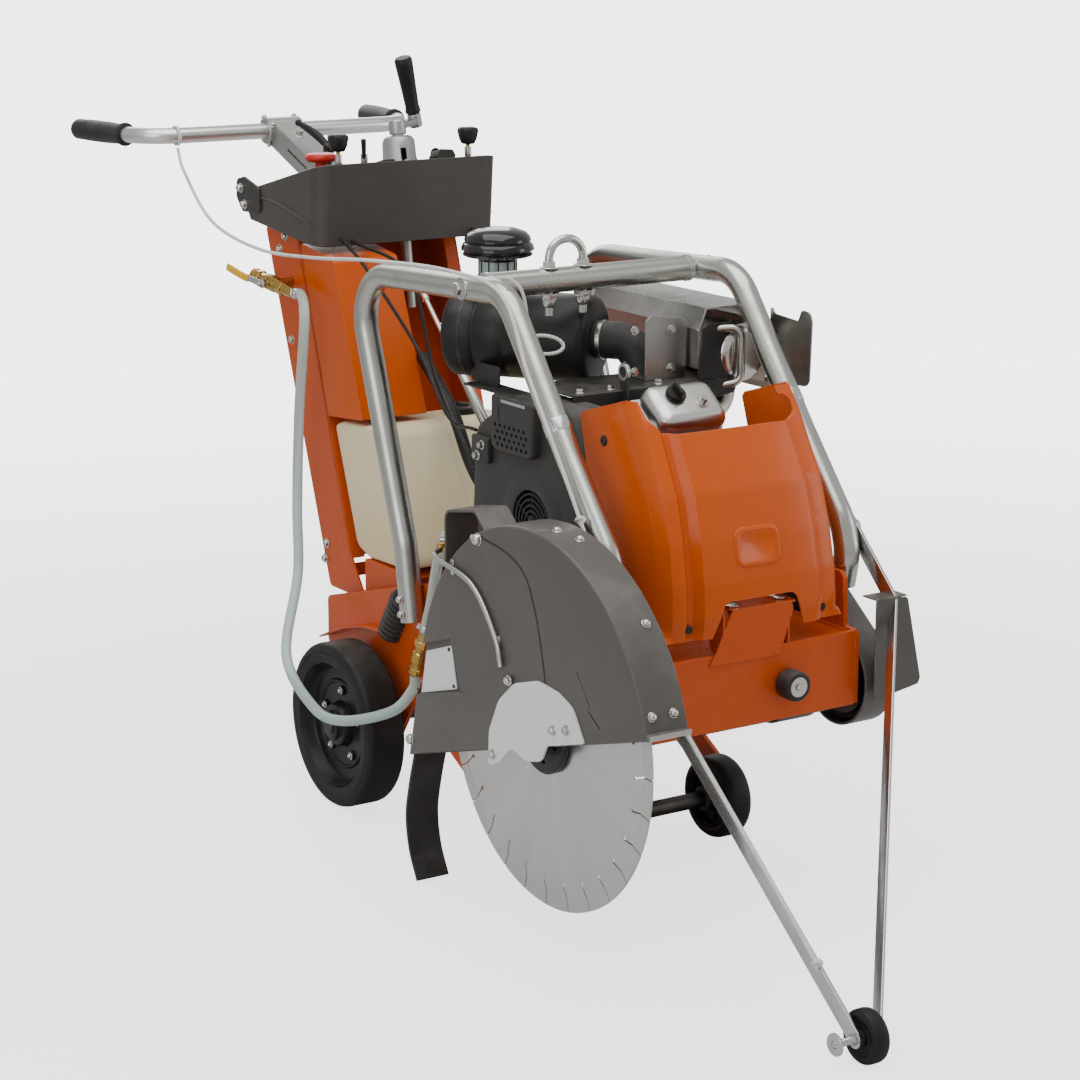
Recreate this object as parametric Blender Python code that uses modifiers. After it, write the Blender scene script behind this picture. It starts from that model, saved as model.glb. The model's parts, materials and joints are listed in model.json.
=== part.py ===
"""Walk-behind concrete saw: a petrol engine on a pitched chassis drives a 500 mm diamond blade.

Frame of the part: +Z up, ground at Z = 0, -Y forwards (pointer end), +Y towards the
operator, -X the blade side.  Positions below are given in metres from the middle of the
rear axle on the ground, and the whole machine is moved by ORIGIN_SHIFT at the end.
"""
import math

import bmesh
import bpy
from mathutils import Vector

# ---------------------------------------------------------------- driving dimensions
GAP = 0.0003                      # clearance between touching pieces
ORIGIN_SHIFT = (0.0242, 0.2051, 0.0)

BLADE_RADIUS = 0.250
BLADE_THICK = 0.0036
BLADE_X = -0.315
SHAFT_YZ = (-0.7045, 0.3154)      # blade shaft
CRANK_YZ = (-0.410, 0.530)        # engine crankshaft

REAR_R, REAR_W = 0.1335, 0.066    # rear wheels
REAR_OUT = 0.274
REAR_YZ = (0.0, REAR_R)
FRONT_R, FRONT_W = 0.0645, 0.044  # front wheels
FRONT_IN = 0.1424
FRONT_YZ = (-0.4515, FRONT_R)
ARM_PIVOT_YZ = (-0.150, 0.225)    # front axle swing arm
POINTER_YZ = (-0.685, 0.533)      # pointer frame pivot on the cage legs
POINTER_TIP_YZ = (-1.243, 0.036)
POINTER_X = -0.186
POINTER_R, POINTER_W = 0.036, 0.026

FRAME_X = 0.184                   # outer face of the chassis side plates
PLATE = 0.008
DECK_Z = 0.395
HOOP_X, TUBE_R = 0.2045, 0.019    # roll cage tube

COLUMN_X = 0.150

GUARD_IN, GUARD_OUT = -0.282, -0.348
GUARD_SKIN = 0.003
GUARD_R = 0.290
GUARD_HINGE_YZ = (-0.579, 0.582)

BAR_YZ = (0.645, 1.018)           # handlebar
BAR_R = 0.014
ARM_SLOPE = math.radians(21.5)
CRANK_X = 0.052                   # depth crank
CRANK_Y = 0.318

for old in list(bpy.data.objects):
    bpy.data.objects.remove(old, do_unlink=True)

parts = bpy.data.collections.new("walk_behind_concrete_saw")
cutters = bpy.data.collections.new("cutters")
bpy.context.scene.collection.children.link(parts)
bpy.context.scene.collection.children.link(cutters)

FINISHES = {                      # colour, roughness, metallic
    "orange_paint": ((0.78, 0.17, 0.02), 0.35, 0.0),
    "dark_paint": ((0.075, 0.07, 0.065), 0.45, 0.1),
    "black_steel": ((0.03, 0.03, 0.03), 0.5, 0.3),
    "zinc": ((0.62, 0.63, 0.62), 0.3, 1.0),
    "aluminium": ((0.7, 0.7, 0.7), 0.4, 0.9),
    "blade_steel": ((0.66, 0.67, 0.68), 0.28, 1.0),
    "rubber": ((0.025, 0.025, 0.025), 0.75, 0.0),
    "black_plastic": ((0.03, 0.03, 0.03), 0.4, 0.0),
    "cream_plastic": ((0.80, 0.71, 0.50), 0.45, 0.0),
    "clear_hose": ((0.72, 0.82, 0.79), 0.25, 0.0),
    "brass": ((0.72, 0.52, 0.20), 0.3, 1.0),
    "yellow_plastic": ((0.9, 0.6, 0.03), 0.45, 0.0),
    "red_plastic": ((0.7, 0.05, 0.03), 0.4, 0.0),
    "grey_cast": ((0.42, 0.42, 0.40), 0.5, 0.6),
    "rope": ((0.8, 0.8, 0.78), 0.8, 0.0),
    "white_plate": ((0.85, 0.85, 0.84), 0.4, 0.2),
}


# ---------------------------------------------------------------- helpers
def finish(obj, kind):
    """Give the object a material of its own."""
    colour, roughness, metallic = FINISHES[kind]
    material = bpy.data.materials.new(obj.name + "_" + kind)
    material.use_nodes = True
    shader = material.node_tree.nodes["Principled BSDF"]
    shader.inputs["Base Color"].default_value = (*colour, 1.0)
    shader.inputs["Roughness"].default_value = roughness
    shader.inputs["Metallic"].default_value = metallic
    obj.data.materials.clear()
    obj.data.materials.append(material)


def empty(name, place, parent=None):
    """An empty on a joint's axis; the pieces that turn with it are its children."""
    axis = bpy.data.objects.new(name, None)
    axis.location = place
    parts.objects.link(axis)
    attach(axis, parent)
    return axis


def attach(obj, parent):
    """Parent to an empty and keep the place in the world."""
    if parent is None:
        return
    bpy.context.view_layer.update()
    obj.parent = parent
    obj.matrix_parent_inverse = parent.matrix_world.inverted()


def new_object(name, mesh, kind, parent):
    obj = bpy.data.objects.new(name, mesh)
    parts.objects.link(obj)
    if kind:
        finish(obj, kind)
    attach(obj, parent)
    return obj


def box(name, low, high, kind=None, parent=None, turn=(0, 0, 0)):
    """Box between two corners; turn is a rotation about its middle."""
    low, high = Vector(low), Vector(high)
    mesh = bpy.data.meshes.new(name)
    shape = bmesh.new()
    bmesh.ops.create_cube(shape, size=1.0)
    bmesh.ops.scale(shape, vec=high - low, verts=shape.verts)
    shape.to_mesh(mesh)
    shape.free()
    obj = new_object(name, mesh, kind, None)
    obj.location = (low + high) / 2
    obj.rotation_euler = turn
    attach(obj, parent)
    return obj


AXES = {"X": (0, math.pi / 2, 0), "Y": (-math.pi / 2, 0, 0), "Z": (0, 0, 0)}


def rod(name, start, end, radius, kind=None, parent=None, sides=24, end_radius=None):
    """Round bar (or cone) between two points."""
    start, end = Vector(start), Vector(end)
    mesh = bpy.data.meshes.new(name)
    shape = bmesh.new()
    tip = radius if end_radius is None else end_radius
    bmesh.ops.create_cone(shape, cap_ends=True, segments=sides, radius1=radius, radius2=tip,
                          depth=(end - start).length)
    shape.to_mesh(mesh)
    shape.free()
    smooth_mesh(mesh)
    obj = new_object(name, mesh, kind, None)
    obj.location = (start + end) / 2
    obj.rotation_euler = (end - start).to_track_quat("Z", "Y").to_euler()
    attach(obj, parent)
    return obj


def smooth_mesh(mesh, angle=35.0):
    mesh.shade_smooth()
    mesh.set_sharp_from_angle(angle=math.radians(angle))


def x_rod(name, yz, x_from, x_to, radius, kind=None, parent=None, sides=24):
    """Round bar along X."""
    return rod(name, (x_from, *yz), (x_to, *yz), radius, kind, parent, sides)


def turned(name, profile, place, axis="X", kind=None, parent=None, steps=32, closed=False):
    """Turned piece: (radius, along) points run down the outer side from the +axis end."""
    mesh = bpy.data.meshes.new(name)
    points = [(radius, 0.0, along) for radius, along in profile]
    links = [(i, i + 1) for i in range(len(points) - 1)]
    if closed:
        links.append((len(points) - 1, 0))
    mesh.from_pydata(points, links, [])
    obj = new_object(name, mesh, kind, None)
    obj.location = place
    obj.rotation_euler = AXES[axis]
    attach(obj, parent)
    screw = obj.modifiers.new("turned", "SCREW")
    screw.steps = steps
    screw.render_steps = steps
    screw.use_merge_vertices = True
    screw.merge_threshold = 0.00001
    screw.use_smooth_shade = False
    return obj


def prism(name, outline, x_from, x_to, kind=None, parent=None, holes=()):
    """Flat outline in (Y, Z), given a thickness along X; holes are inner outlines."""
    curve = bpy.data.curves.new(name, "CURVE")
    curve.dimensions = "2D"
    curve.fill_mode = "BOTH"
    curve.extrude = abs(x_to - x_from) / 2
    for ring in (outline, *holes):
        spline = curve.splines.new("POLY")
        spline.points.add(len(ring) - 1)
        for point, (y, z) in zip(spline.points, ring):
            point.co = (y, z, 0.0, 1.0)
        spline.use_cyclic_u = True
    flat = bpy.data.objects.new(name + "_outline", curve)
    parts.objects.link(flat)
    flat.rotation_euler = (math.pi / 2, 0, math.pi / 2)
    flat.location = ((x_from + x_to) / 2, 0, 0)
    return as_mesh(flat, name, kind, parent)


def as_mesh(curve_object, name, kind, parent):
    """Turn a curve into a closed mesh, so that it can be cut and joined."""
    bpy.context.view_layer.update()
    graph = bpy.context.evaluated_depsgraph_get()
    mesh = bpy.data.meshes.new_from_object(curve_object.evaluated_get(graph))
    place = curve_object.matrix_world.copy()
    bpy.data.objects.remove(curve_object, do_unlink=True)
    shape = bmesh.new()
    shape.from_mesh(mesh)
    bmesh.ops.remove_doubles(shape, verts=shape.verts, dist=0.00001)
    shape.to_mesh(mesh)
    shape.free()
    mesh.name = name
    obj = new_object(name, mesh, kind, None)
    obj.matrix_world = place
    attach(obj, parent)
    return obj


def rounded(corners, radius, steps=5):
    """Path through the corners with each inner corner turned on an arc."""
    corners = [Vector(corner) for corner in corners]
    path = [corners[0]]
    for before, corner, after in zip(corners, corners[1:], corners[2:]):
        one, two = (before - corner).normalized(), (after - corner).normalized()
        half = one.angle(two) / 2
        room = min((before - corner).length, (after - corner).length) * 0.49
        back = min(radius / math.tan(half), room)
        arc = back * math.tan(half)
        centre = corner + (one + two).normalized() * (arc / math.sin(half))
        first, last = corner + one * back - centre, corner + two * back - centre
        for step in range(steps + 1):
            way = first.slerp(last, step / steps)
            path.append(centre + way.normalized() * arc)
    path.append(corners[-1])
    return path


def smooth_path(knots, per_span=3):
    """Catmull-Rom curve through the knots, for hoses and ropes."""
    knots = [Vector(knot) for knot in knots]
    ends = [knots[0] * 2 - knots[1], *knots, knots[-1] * 2 - knots[-2]]
    path = []
    for a, b, c, d in zip(ends, ends[1:], ends[2:], ends[3:]):
        for step in range(per_span):
            t = step / per_span
            path.append(0.5 * (2 * b + (c - a) * t + (2 * a - 5 * b + 4 * c - d) * t * t
                               + (3 * b - a - 3 * c + d) * t ** 3))
    path.append(knots[-1])
    return path


def tube(name, path, radius, kind=None, parent=None, resolution=3):
    """Round tube or wire along a path, closed at its ends."""
    curve = bpy.data.curves.new(name, "CURVE")
    curve.dimensions = "3D"
    curve.bevel_depth = radius
    curve.bevel_resolution = resolution
    curve.use_fill_caps = True
    spline = curve.splines.new("POLY")
    spline.points.add(len(path) - 1)
    for point, place in zip(spline.points, path):
        point.co = (*place, 1.0)
    line = bpy.data.objects.new(name + "_line", curve)
    parts.objects.link(line)
    return as_mesh(line, name, kind, parent)


def tool(obj):
    """Make the object a cutter or a joining shape: hidden, and drawn as wire."""
    if obj.name in parts.objects:
        parts.objects.unlink(obj)
    cutters.objects.link(obj)
    obj.hide_render = True
    obj.display_type = "WIRE"


def boolean(obj, other, operation):
    step = obj.modifiers.new(operation.lower(), "BOOLEAN")
    step.operation = operation
    step.object = other
    step.solver = "EXACT"
    tool(other)
    attach(other, root)


def unite(obj, *others):
    for other in others:
        boolean(obj, other, "UNION")


def cut(obj, *others):
    for other in others:
        boolean(obj, other, "DIFFERENCE")


def arc_points(centre, radius, first, last, count):
    """Points on an arc in (Y, Z), angles in degrees from +Y towards +Z."""
    points = []
    for i in range(count):
        angle = math.radians(first + (last - first) * i / (count - 1))
        points.append((centre[0] + radius * math.cos(angle), centre[1] + radius * math.sin(angle)))
    return points


def wheel(name, yz, x_in, x_out, radius, bore, parent):
    """Solid rubber tyre on its rim and hub, bored for the axle."""
    half = abs(x_out - x_in) / 2
    profile = [(bore, half), (radius - 0.008, half), (radius, half * 0.75), (radius, -half * 0.75),
               (radius - 0.008, -half), (bore, -half)]
    return turned(name, profile, ((x_in + x_out) / 2, *yz), "X", "rubber", parent, 36, True)


root = empty("chassis", (0, 0, 0))


# ---------------------------------------------------------------- chassis
def make_main_frame():
    side = [(-0.761, 0.289), (-0.761, 0.400), (-0.735, 0.400), (-0.730, 0.480), (-0.668, 0.480),
            (-0.655, DECK_Z), (-0.180, DECK_Z), (0.165, 0.300), (0.165, 0.225),
            (0.050, 0.095), (-0.050, 0.095), (-0.110, 0.180), (-0.360, 0.220), (-0.415, 0.306),
            (-0.570, 0.306), (-0.610, 0.289)]
    frame = prism("main_frame", side, -FRAME_X, -FRAME_X + PLATE, "orange_paint", root)
    far = prism("frame_far_side", side, FRAME_X - PLATE, FRAME_X)
    inner = FRAME_X - PLATE / 2
    deck = box("frame_deck", (-inner, -0.759, DECK_Z - 0.006), (inner, -0.178, DECK_Z))
    front = box("frame_front", (-inner, -0.761, 0.289), (inner, -0.753, 0.3999))
    tail = box("frame_tail", (-inner, 0.155, 0.228), (inner, 0.163, 0.300))
    floor = box("frame_cross_member", (-inner, -0.060, 0.185), (inner, 0.060, 0.193))
    unite(frame, far, deck, front, tail, floor)
    bearing_hole = x_rod("frame_shaft_hole", SHAFT_YZ, -0.20, 0.20, 0.0460 + GAP, sides=32)
    axle_hole = x_rod("frame_axle_hole", REAR_YZ, -0.20, 0.20, 0.0125 + GAP)
    pivot_hole = x_rod("frame_pivot_hole", ARM_PIVOT_YZ, -0.20, 0.20, 0.0125 + GAP)
    cut(frame, bearing_hole, axle_hole, pivot_hole)


def make_rear_axle():
    x_rod("rear_axle", REAR_YZ, -REAR_OUT - 0.002, REAR_OUT + 0.002, 0.0125, "black_steel", root)


def make_column():
    """Two leaning side plates welded to a back plate; its foot stands in the chassis."""
    side = [(0.426, 0.888), (0.305, 0.869), (0.142, 0.360), (0.105, 0.310), (0.105, 0.205),
            (0.1547, 0.205), (0.1547, 0.3005), (0.2180, 0.3005)]
    column = prism("column", side, -COLUMN_X, -COLUMN_X + 0.005, "orange_paint", root)
    far = prism("column_far_side", side, COLUMN_X - 0.005, COLUMN_X)
    inner = COLUMN_X - 0.003
    length = 0.545
    back = box("column_back", (-inner, -0.0025, -length / 2), (inner, 0.0025, length / 2))
    back.location = (0, 0.318, 0.600)
    back.rotation_euler = (-(math.pi / 2 - math.atan2(0.517, 0.170)), 0, 0)
    tie = box("column_tie", (-inner, 0.148, 0.330), (inner, 0.153, 0.352))
    unite(column, far, back, tie)


def make_column_cover():
    """Cover over the near half of the column, open at the back."""
    side = [(0.300, 0.866), (0.190, 0.850), (0.098, 0.600), (0.213, 0.590)]
    inside = [(0.310, 0.860), (0.196, 0.844), (0.106, 0.606), (0.225, 0.596)]
    x_far = -0.030
    cover = prism("column_cover", side, -COLUMN_X, x_far, "orange_paint", root)
    cut(cover, prism("cover_hollow", inside, -COLUMN_X + 0.004, x_far - 0.004))


def make_fuel_tank():
    outline = [(0.205, 0.577), (0.180, 0.585), (0.070, 0.592), (0.050, 0.580), (-0.055, 0.400),
               (-0.055, 0.385), (0.000, 0.375), (0.095, 0.372), (0.135, 0.385)]
    tank = prism("fuel_tank", outline, -0.144, 0.110, "cream_plastic", root)
    rounding = tank.modifiers.new("moulded_edges", "BEVEL")
    rounding.width = 0.014
    rounding.segments = 2
    rounding.limit_method = "ANGLE"
    rounding.angle_limit = math.radians(50)


def make_cage():
    foot = HOOP_X
    route = [(-0.150, 0.330), (-0.130, 0.450), (0.014, 0.858), (-0.425, 0.877), (-0.590, 0.665),
             (-0.690, 0.545), (-0.704, 0.500), (-0.694, 0.452)]
    for name, x in (("near_cage_hoop", -foot), ("far_cage_hoop", foot)):
        path = rounded([(x, y, z) for y, z in route], 0.075, 4)
        tube(name, path, TUBE_R, "zinc", root, 2)
    reach = foot - TUBE_R - GAP
    x_rod("cage_cross_tube", (-0.330, 0.8735), -reach, reach, TUBE_R, "zinc", root)


def make_lifting_eye():
    """U-bolt over the middle of the cross tube, its legs joined by a bar underneath."""
    x, y, z = -0.040, -0.330, 0.8735
    legs = [(x - 0.030, y, z - 0.045), (x - 0.030, y, z + 0.060), (x + 0.030, y, z + 0.060),
            (x + 0.030, y, z - 0.045)]
    path = rounded(legs, 0.0285, 8)
    eye = tube("lifting_eye", path, 0.0065, "zinc", root, 3)
    strap = box("eye_strap", (x - 0.045, y - 0.014, z - 0.036), (x + 0.045, y + 0.014, z - 0.028))
    unite(eye, strap)
    holes = []
    for side in (-1, 1):
        hole = rod("eye_hole", (x + side * 0.030, y, z - 0.028), (x + side * 0.030, y, z + 0.06),
                   0.0065 + GAP, sides=16)
        holes.append(hole)
    cut(bpy.data.objects["cage_cross_tube"], *holes)


# ---------------------------------------------------------------- engine
def make_engine():
    y, z = CRANK_YZ
    low = (-0.085, y - 0.125, DECK_Z + GAP)
    block = box("engine_block", low, (0.105, y + 0.125, z + 0.060), "black_steel", root)
    for side, name in ((-1, "front_bank"), (1, "rear_bank")):
        centre = Vector((0.010, y + side * 0.100, z + 0.085))
        bank = box(name, centre - Vector((0.075, 0.050, 0.065)), centre + Vector((0.075, 0.050, 0.065)),
                   turn=(-side * math.radians(45), 0, 0))
        unite(block, bank)
    bore = x_rod("crank_bore", CRANK_YZ, -0.20, 0.20, 0.020 + GAP)
    cut(block, bore)
    cover_at = Vector((0.010, y - 0.100, z + 0.085))
    lean = math.radians(45)
    out = Vector((0, -math.sin(lean), math.cos(lean)))
    place = cover_at + out * (0.065 + 0.014)
    unite(block, box("valve_cover", place - Vector((0.062, 0.044, 0.016)),
                     place + Vector((0.062, 0.044, 0.014)), turn=(lean, 0, 0)))


def make_fan_shroud():
    y, z = CRANK_YZ
    outer = [(y - 0.145, 0.400), (y - 0.155, 0.620), (y - 0.090, 0.712), (y + 0.060, 0.712),
             (y + 0.165, 0.650), (y + 0.175, 0.520), (y + 0.150, 0.400)]
    shroud = prism("fan_shroud", outer, -0.150, -0.0855, "black_plastic", root)
    chamber = x_rod("fan_chamber", CRANK_YZ, -0.146, -0.05, 0.112, sides=36)
    grille = x_rod("grille_opening", CRANK_YZ, -0.20, -0.15, 0.050)
    cut(shroud, chamber, grille)


def make_air_cleaner():
    start = Vector((-0.100, -0.109, 0.772))
    way = Vector((0.136, -0.190, 0.0)).normalized()
    end = start + way * 0.234
    rod("air_cleaner", start, end, 0.068, "black_plastic", root, 28)
    neck_at = start + way * 0.072
    x, y = neck_at.x, neck_at.y
    top = 0.935
    profile = [(0.0, top), (0.030, top), (0.052, top - 0.012), (0.056, top - 0.032),
               (0.030, top - 0.040), (0.026, top - 0.060), (0.026, 0.845), (0.0, 0.845)]
    turned("precleaner", profile, (x, y, 0), "Z", "black_plastic", root, 28)
    elbow = [end + way * 0.0005, end + way * 0.055, end + way * 0.075 + Vector((0, 0, -0.040)),
             end + way * 0.078 + Vector((0, 0, -0.082))]
    tube("intake_elbow", rounded(elbow, 0.040, 5), 0.029, "rubber", root, 3)


def make_muffler():
    y_front, y_back, x = -0.452, -0.140, 0.204
    muffler = rod("muffler", (x, y_back, 0.757), (x, y_front, 0.757), 0.045, "aluminium", root)
    pipe = rounded([(x, -0.400, 0.745), (x, -0.400, 0.672), (0.112, -0.410, 0.640)], 0.03, 4)
    unite(muffler, tube("exhaust_pipe", pipe, 0.016))
    roof = [(0.130, 0.790), (0.133, 0.790), (0.145, 0.825), (0.235, 0.825), (0.255, 0.800),
            (0.255, 0.705), (0.258, 0.705), (0.258, 0.8015), (0.2365, 0.828), (0.1430, 0.828)]
    guard_front = -0.432
    half = (y_back - guard_front) / 2
    guard = prism("muffler_guard", roof, -half, half, "zinc", None)
    guard.rotation_euler = (math.pi / 2, 0, 0)
    guard.location = (0, (guard_front + y_back) / 2, 0)
    attach(guard, root)


# ---------------------------------------------------------------- covers and drive
def make_front_cover():
    """Moulded engine cover: a leaning front sheet with a wing folded back at each side."""
    top, foot = (-0.650, 0.748), (-0.768, 0.4265)
    sheet_line = [top, foot, (foot[0] + 0.004, foot[1]), (top[0] + 0.004, top[1])]
    cover = prism("front_cover", sheet_line, -0.158, 0.158, "orange_paint", root)
    wing = [(-0.6485, 0.7470), (-0.530, 0.720), (-0.560, 0.600), (-0.570, 0.500), (-0.650, 0.4300),
            (-0.7650, 0.4300)]
    for name, x_from in (("near_wing", -0.158), ("far_wing", 0.154)):
        unite(cover, prism(name, wing, x_from + 0.0005, x_from + 0.0035))
    notch = box("cover_notch", (-0.118, -0.70, 0.704), (0.118, -0.60, 0.80))
    foot_notch = box("cover_foot_notch", (-0.070, -0.80, 0.40), (0.070, -0.70, 0.468))
    cut(cover, notch, foot_notch)


def make_belt_guard():
    """Box over the belt at the far side, open towards the chassis."""
    big, small = CRANK_YZ, SHAFT_YZ

    def outline(grow):
        tilt = math.degrees(math.atan2(big[1] - small[1], big[0] - small[0]))
        r_big, r_small = 0.078 + grow, 0.072 + grow
        far_end = arc_points(big, r_big, tilt - 90, tilt + 90, 9)
        near_end = arc_points(small, r_small, tilt + 90, tilt + 270, 9)
        return far_end + near_end

    guard = prism("belt_guard", outline(0.0), 0.1860, 0.2420, "dark_paint", root)
    cut(guard, prism("belt_guard_hollow", outline(-0.004), 0.1800, 0.2380))


def make_drive():
    """Blade shaft group and engine shaft group, each turning about X."""
    spin = empty("blade_spin_axis", (0, *SHAFT_YZ), root)
    housing = x_rod("blade_shaft_housing", SHAFT_YZ, -0.262, 0.1825, 0.0460, "black_steel", root, 32)
    cut(housing, x_rod("housing_bore", SHAFT_YZ, -0.30, 0.25, 0.0180))
    shaft = x_rod("blade_shaft", SHAFT_YZ, -0.3385, 0.2330, 0.0150, "black_steel", spin)
    flange_x = BLADE_X + BLADE_THICK / 2 + GAP
    unite(shaft, x_rod("inner_flange", SHAFT_YZ, flange_x, flange_x + 0.014, 0.057))
    blade = x_rod("diamond_blade", SHAFT_YZ, BLADE_X - BLADE_THICK / 2, BLADE_X + BLADE_THICK / 2,
                  BLADE_RADIUS, "blade_steel", spin, 80)
    cut(blade, x_rod("blade_bore", SHAFT_YZ, -0.33, -0.30, 0.0150 + GAP))
    out_x = BLADE_X - BLADE_THICK / 2 - GAP
    flange = x_rod("outer_flange", SHAFT_YZ, out_x - 0.012, out_x, 0.057, "dark_paint", spin)
    cut(flange, x_rod("flange_bore", SHAFT_YZ, -0.34, -0.30, 0.0150 + GAP))
    pulley = x_rod("driven_pulley", SHAFT_YZ, 0.195, 0.231, 0.055, "black_steel", spin, 28)
    cut(pulley, x_rod("driven_bore", SHAFT_YZ, 0.18, 0.24, 0.0150 + GAP))

    turn = empty("crankshaft_axis", (0, *CRANK_YZ), root)
    crankshaft = x_rod("crankshaft", CRANK_YZ, -0.140, 0.2330, 0.0150, "black_steel", turn)
    unite(crankshaft, x_rod("drive_pulley", CRANK_YZ, 0.195, 0.231, 0.060, sides=28))
    fan = x_rod("flywheel_fan", CRANK_YZ, -0.135, -0.095, 0.100, "black_steel", turn, 28)
    cut(fan, x_rod("fan_bore", CRANK_YZ, -0.15, -0.08, 0.0150 + GAP))

    tilt = math.degrees(math.atan2(CRANK_YZ[1] - SHAFT_YZ[1], CRANK_YZ[0] - SHAFT_YZ[0]))

    def loop(grow):
        return (arc_points(CRANK_YZ, 0.0604 + grow, tilt - 90, tilt + 90, 11)
                + arc_points(SHAFT_YZ, 0.0554 + grow, tilt + 90, tilt + 270, 11))

    prism("drive_belt", loop(0.009), 0.199, 0.227, "rubber", root, [loop(0.0008)])


# ---------------------------------------------------------------- blade guard
def guard_outline(grow):
    """Whole guard in (Y, Z): round over the blade, with a straight lower edge."""
    radius = GUARD_R + grow
    y, z = SHAFT_YZ
    top = arc_points(SHAFT_YZ, radius, 14, 165, 17)
    return [(-0.380 + grow, 0.205), *top, (y - radius, 0.384), (-0.380 + grow, 0.1975)]


def guard_half(name, front, parent):
    """One half of the guard: outer and inner cheeks with the rim between, open below."""
    shell = prism(name, guard_outline(0.0), GUARD_OUT, GUARD_IN, "dark_paint", parent)
    hollow = prism(name + "_hollow", [(-0.3900, 0.10), *guard_outline(-GUARD_SKIN)[1:-1], (-1.05, 0.10)],
                   GUARD_OUT + GUARD_SKIN, GUARD_IN - GUARD_SKIN)
    seam = GUARD_HINGE_YZ[0] - 0.010
    lean = 0.42
    y_low = seam - lean * 0.45
    near = -0.0006 if front else 0.0006
    keep = [(seam + near + lean * 0.08, 0.66), (y_low + near, 0.13)]
    side = 0.60 if front else -1.20
    other = prism(name + "_other_half", [keep[0], keep[1], (side, 0.05), (side, 0.75)],
                  GUARD_OUT - 0.05, GUARD_IN + 0.05)
    slot = [(SHAFT_YZ[0] - 0.062, 0.10), (SHAFT_YZ[0] + 0.062, 0.10), *arc_points(SHAFT_YZ, 0.062, 0, 180, 9)]
    gate = prism(name + "_shaft_gate", slot, GUARD_OUT - 0.05, GUARD_IN + 0.05)
    cut(shell, hollow, other, gate)
    return shell


def make_guard():
    rear = guard_half("guard_rear_half", False, root)
    loop = rounded([(-0.300, -0.478, 0.520), (-0.300, -0.478, 0.600), (-0.300, -0.560, 0.615),
                    (-0.300, -0.560, 0.560)], 0.018, 4)
    unite(rear, tube("guard_handle", loop, 0.008))
    hinge = empty("guard_hinge_axis", (0, *GUARD_HINGE_YZ), root)
    guard_half("guard_front_half", True, hinge)
    y, z = SHAFT_YZ
    plate = [(y - 0.080, z - 0.030), (y - 0.095, z + 0.030), (y - 0.070, z + 0.085), (y + 0.030, z + 0.100),
             (y + 0.085, z + 0.070), (y + 0.085, z - 0.055), (y + 0.040, z - 0.060), (y + 0.030, z - 0.020),
             (y - 0.030, z - 0.020), (y - 0.040, z - 0.050)]
    prism("hub_cover_plate", plate, GUARD_OUT - 0.004, GUARD_OUT - GAP, "white_plate", root)
    arm = [(y + 0.105, z + 0.130), (y + 0.250, z + 0.060), (y + 0.250, z), (y + 0.105, z + 0.070)]
    unite(rear, prism("guard_bracket", arm, GUARD_IN - 0.001, -HOOP_X - TUBE_R - 0.002))


def make_flap():
    curve = [(-0.392, 0.196), (-0.372, 0.150), (-0.362, 0.100), (-0.372, 0.050), (-0.395, 0.006)]
    back = [(y + 0.006, z) for y, z in curve]
    prism("splash_flap", curve + back[::-1], GUARD_OUT + 0.006, GUARD_IN - 0.006, "rubber", root)


# ---------------------------------------------------------------- wheels and front axle
def make_wheels():
    for name, side in (("near_rear_wheel", -1), ("far_rear_wheel", 1)):
        axis = empty(name + "_axis", (0, *REAR_YZ), root)
        wheel(name, REAR_YZ, side * (REAR_OUT - REAR_W), side * REAR_OUT, REAR_R, 0.0125 + GAP, axis)
    swing = empty("axle_swing_axis", (0, *ARM_PIVOT_YZ), root)
    py, pz = ARM_PIVOT_YZ
    fy, fz = FRONT_YZ
    outline = [(py + 0.028, pz + 0.010), (py, pz + 0.030), (py - 0.030, pz + 0.022),
               (fy - 0.018, fz + 0.022), (fy - 0.020, fz - 0.018), (fy + 0.012, fz - 0.022), (py + 0.022, pz - 0.024)]
    near = -FRAME_X - 0.0045
    arm = prism("front_axle_arm", outline, near - 0.008, near, "orange_paint", swing)
    far = prism("far_arm", outline, -near, -near + 0.008)
    pivot = x_rod("arm_pivot_shaft", ARM_PIVOT_YZ, near - 0.012, -near + 0.012, 0.0125)
    axle = x_rod("front_axle_shaft", FRONT_YZ, near - 0.014, -near + 0.014, 0.0125)
    unite(arm, far, pivot, axle)
    for name, side in (("near_front_wheel", -1), ("far_front_wheel", 1)):
        axis = empty(name + "_axis", (0, *FRONT_YZ), swing)
        wheel(name, FRONT_YZ, side * FRONT_IN, side * (FRONT_IN + FRONT_W), FRONT_R, 0.0125 + GAP, axis)


# ---------------------------------------------------------------- console and controls
def make_console():
    """Instrument housing: a skirt with a panel that slopes down to the operator."""
    shell = [(0.205, 1.002), (0.216, 0.867), (0.450, 0.890), (0.480, 0.935)]
    inside = [(0.2095, 0.990), (0.2205, 0.850), (0.460, 0.850), (0.474, 0.925)]
    console = prism("console", shell, -0.165, 0.180, "dark_paint", root)
    cut(console, prism("console_hollow", inside, -0.161, 0.176))
    mouth = box("arm_mouth", (-0.036, 0.388, 0.880), (0.036, 0.520, 0.990))
    cut(console, mouth)


def panel_z(y):
    """Height of the console panel's upper face at y."""
    return 1.002 + (0.935 - 1.002) * (y - 0.205) / (0.480 - 0.205)


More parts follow.
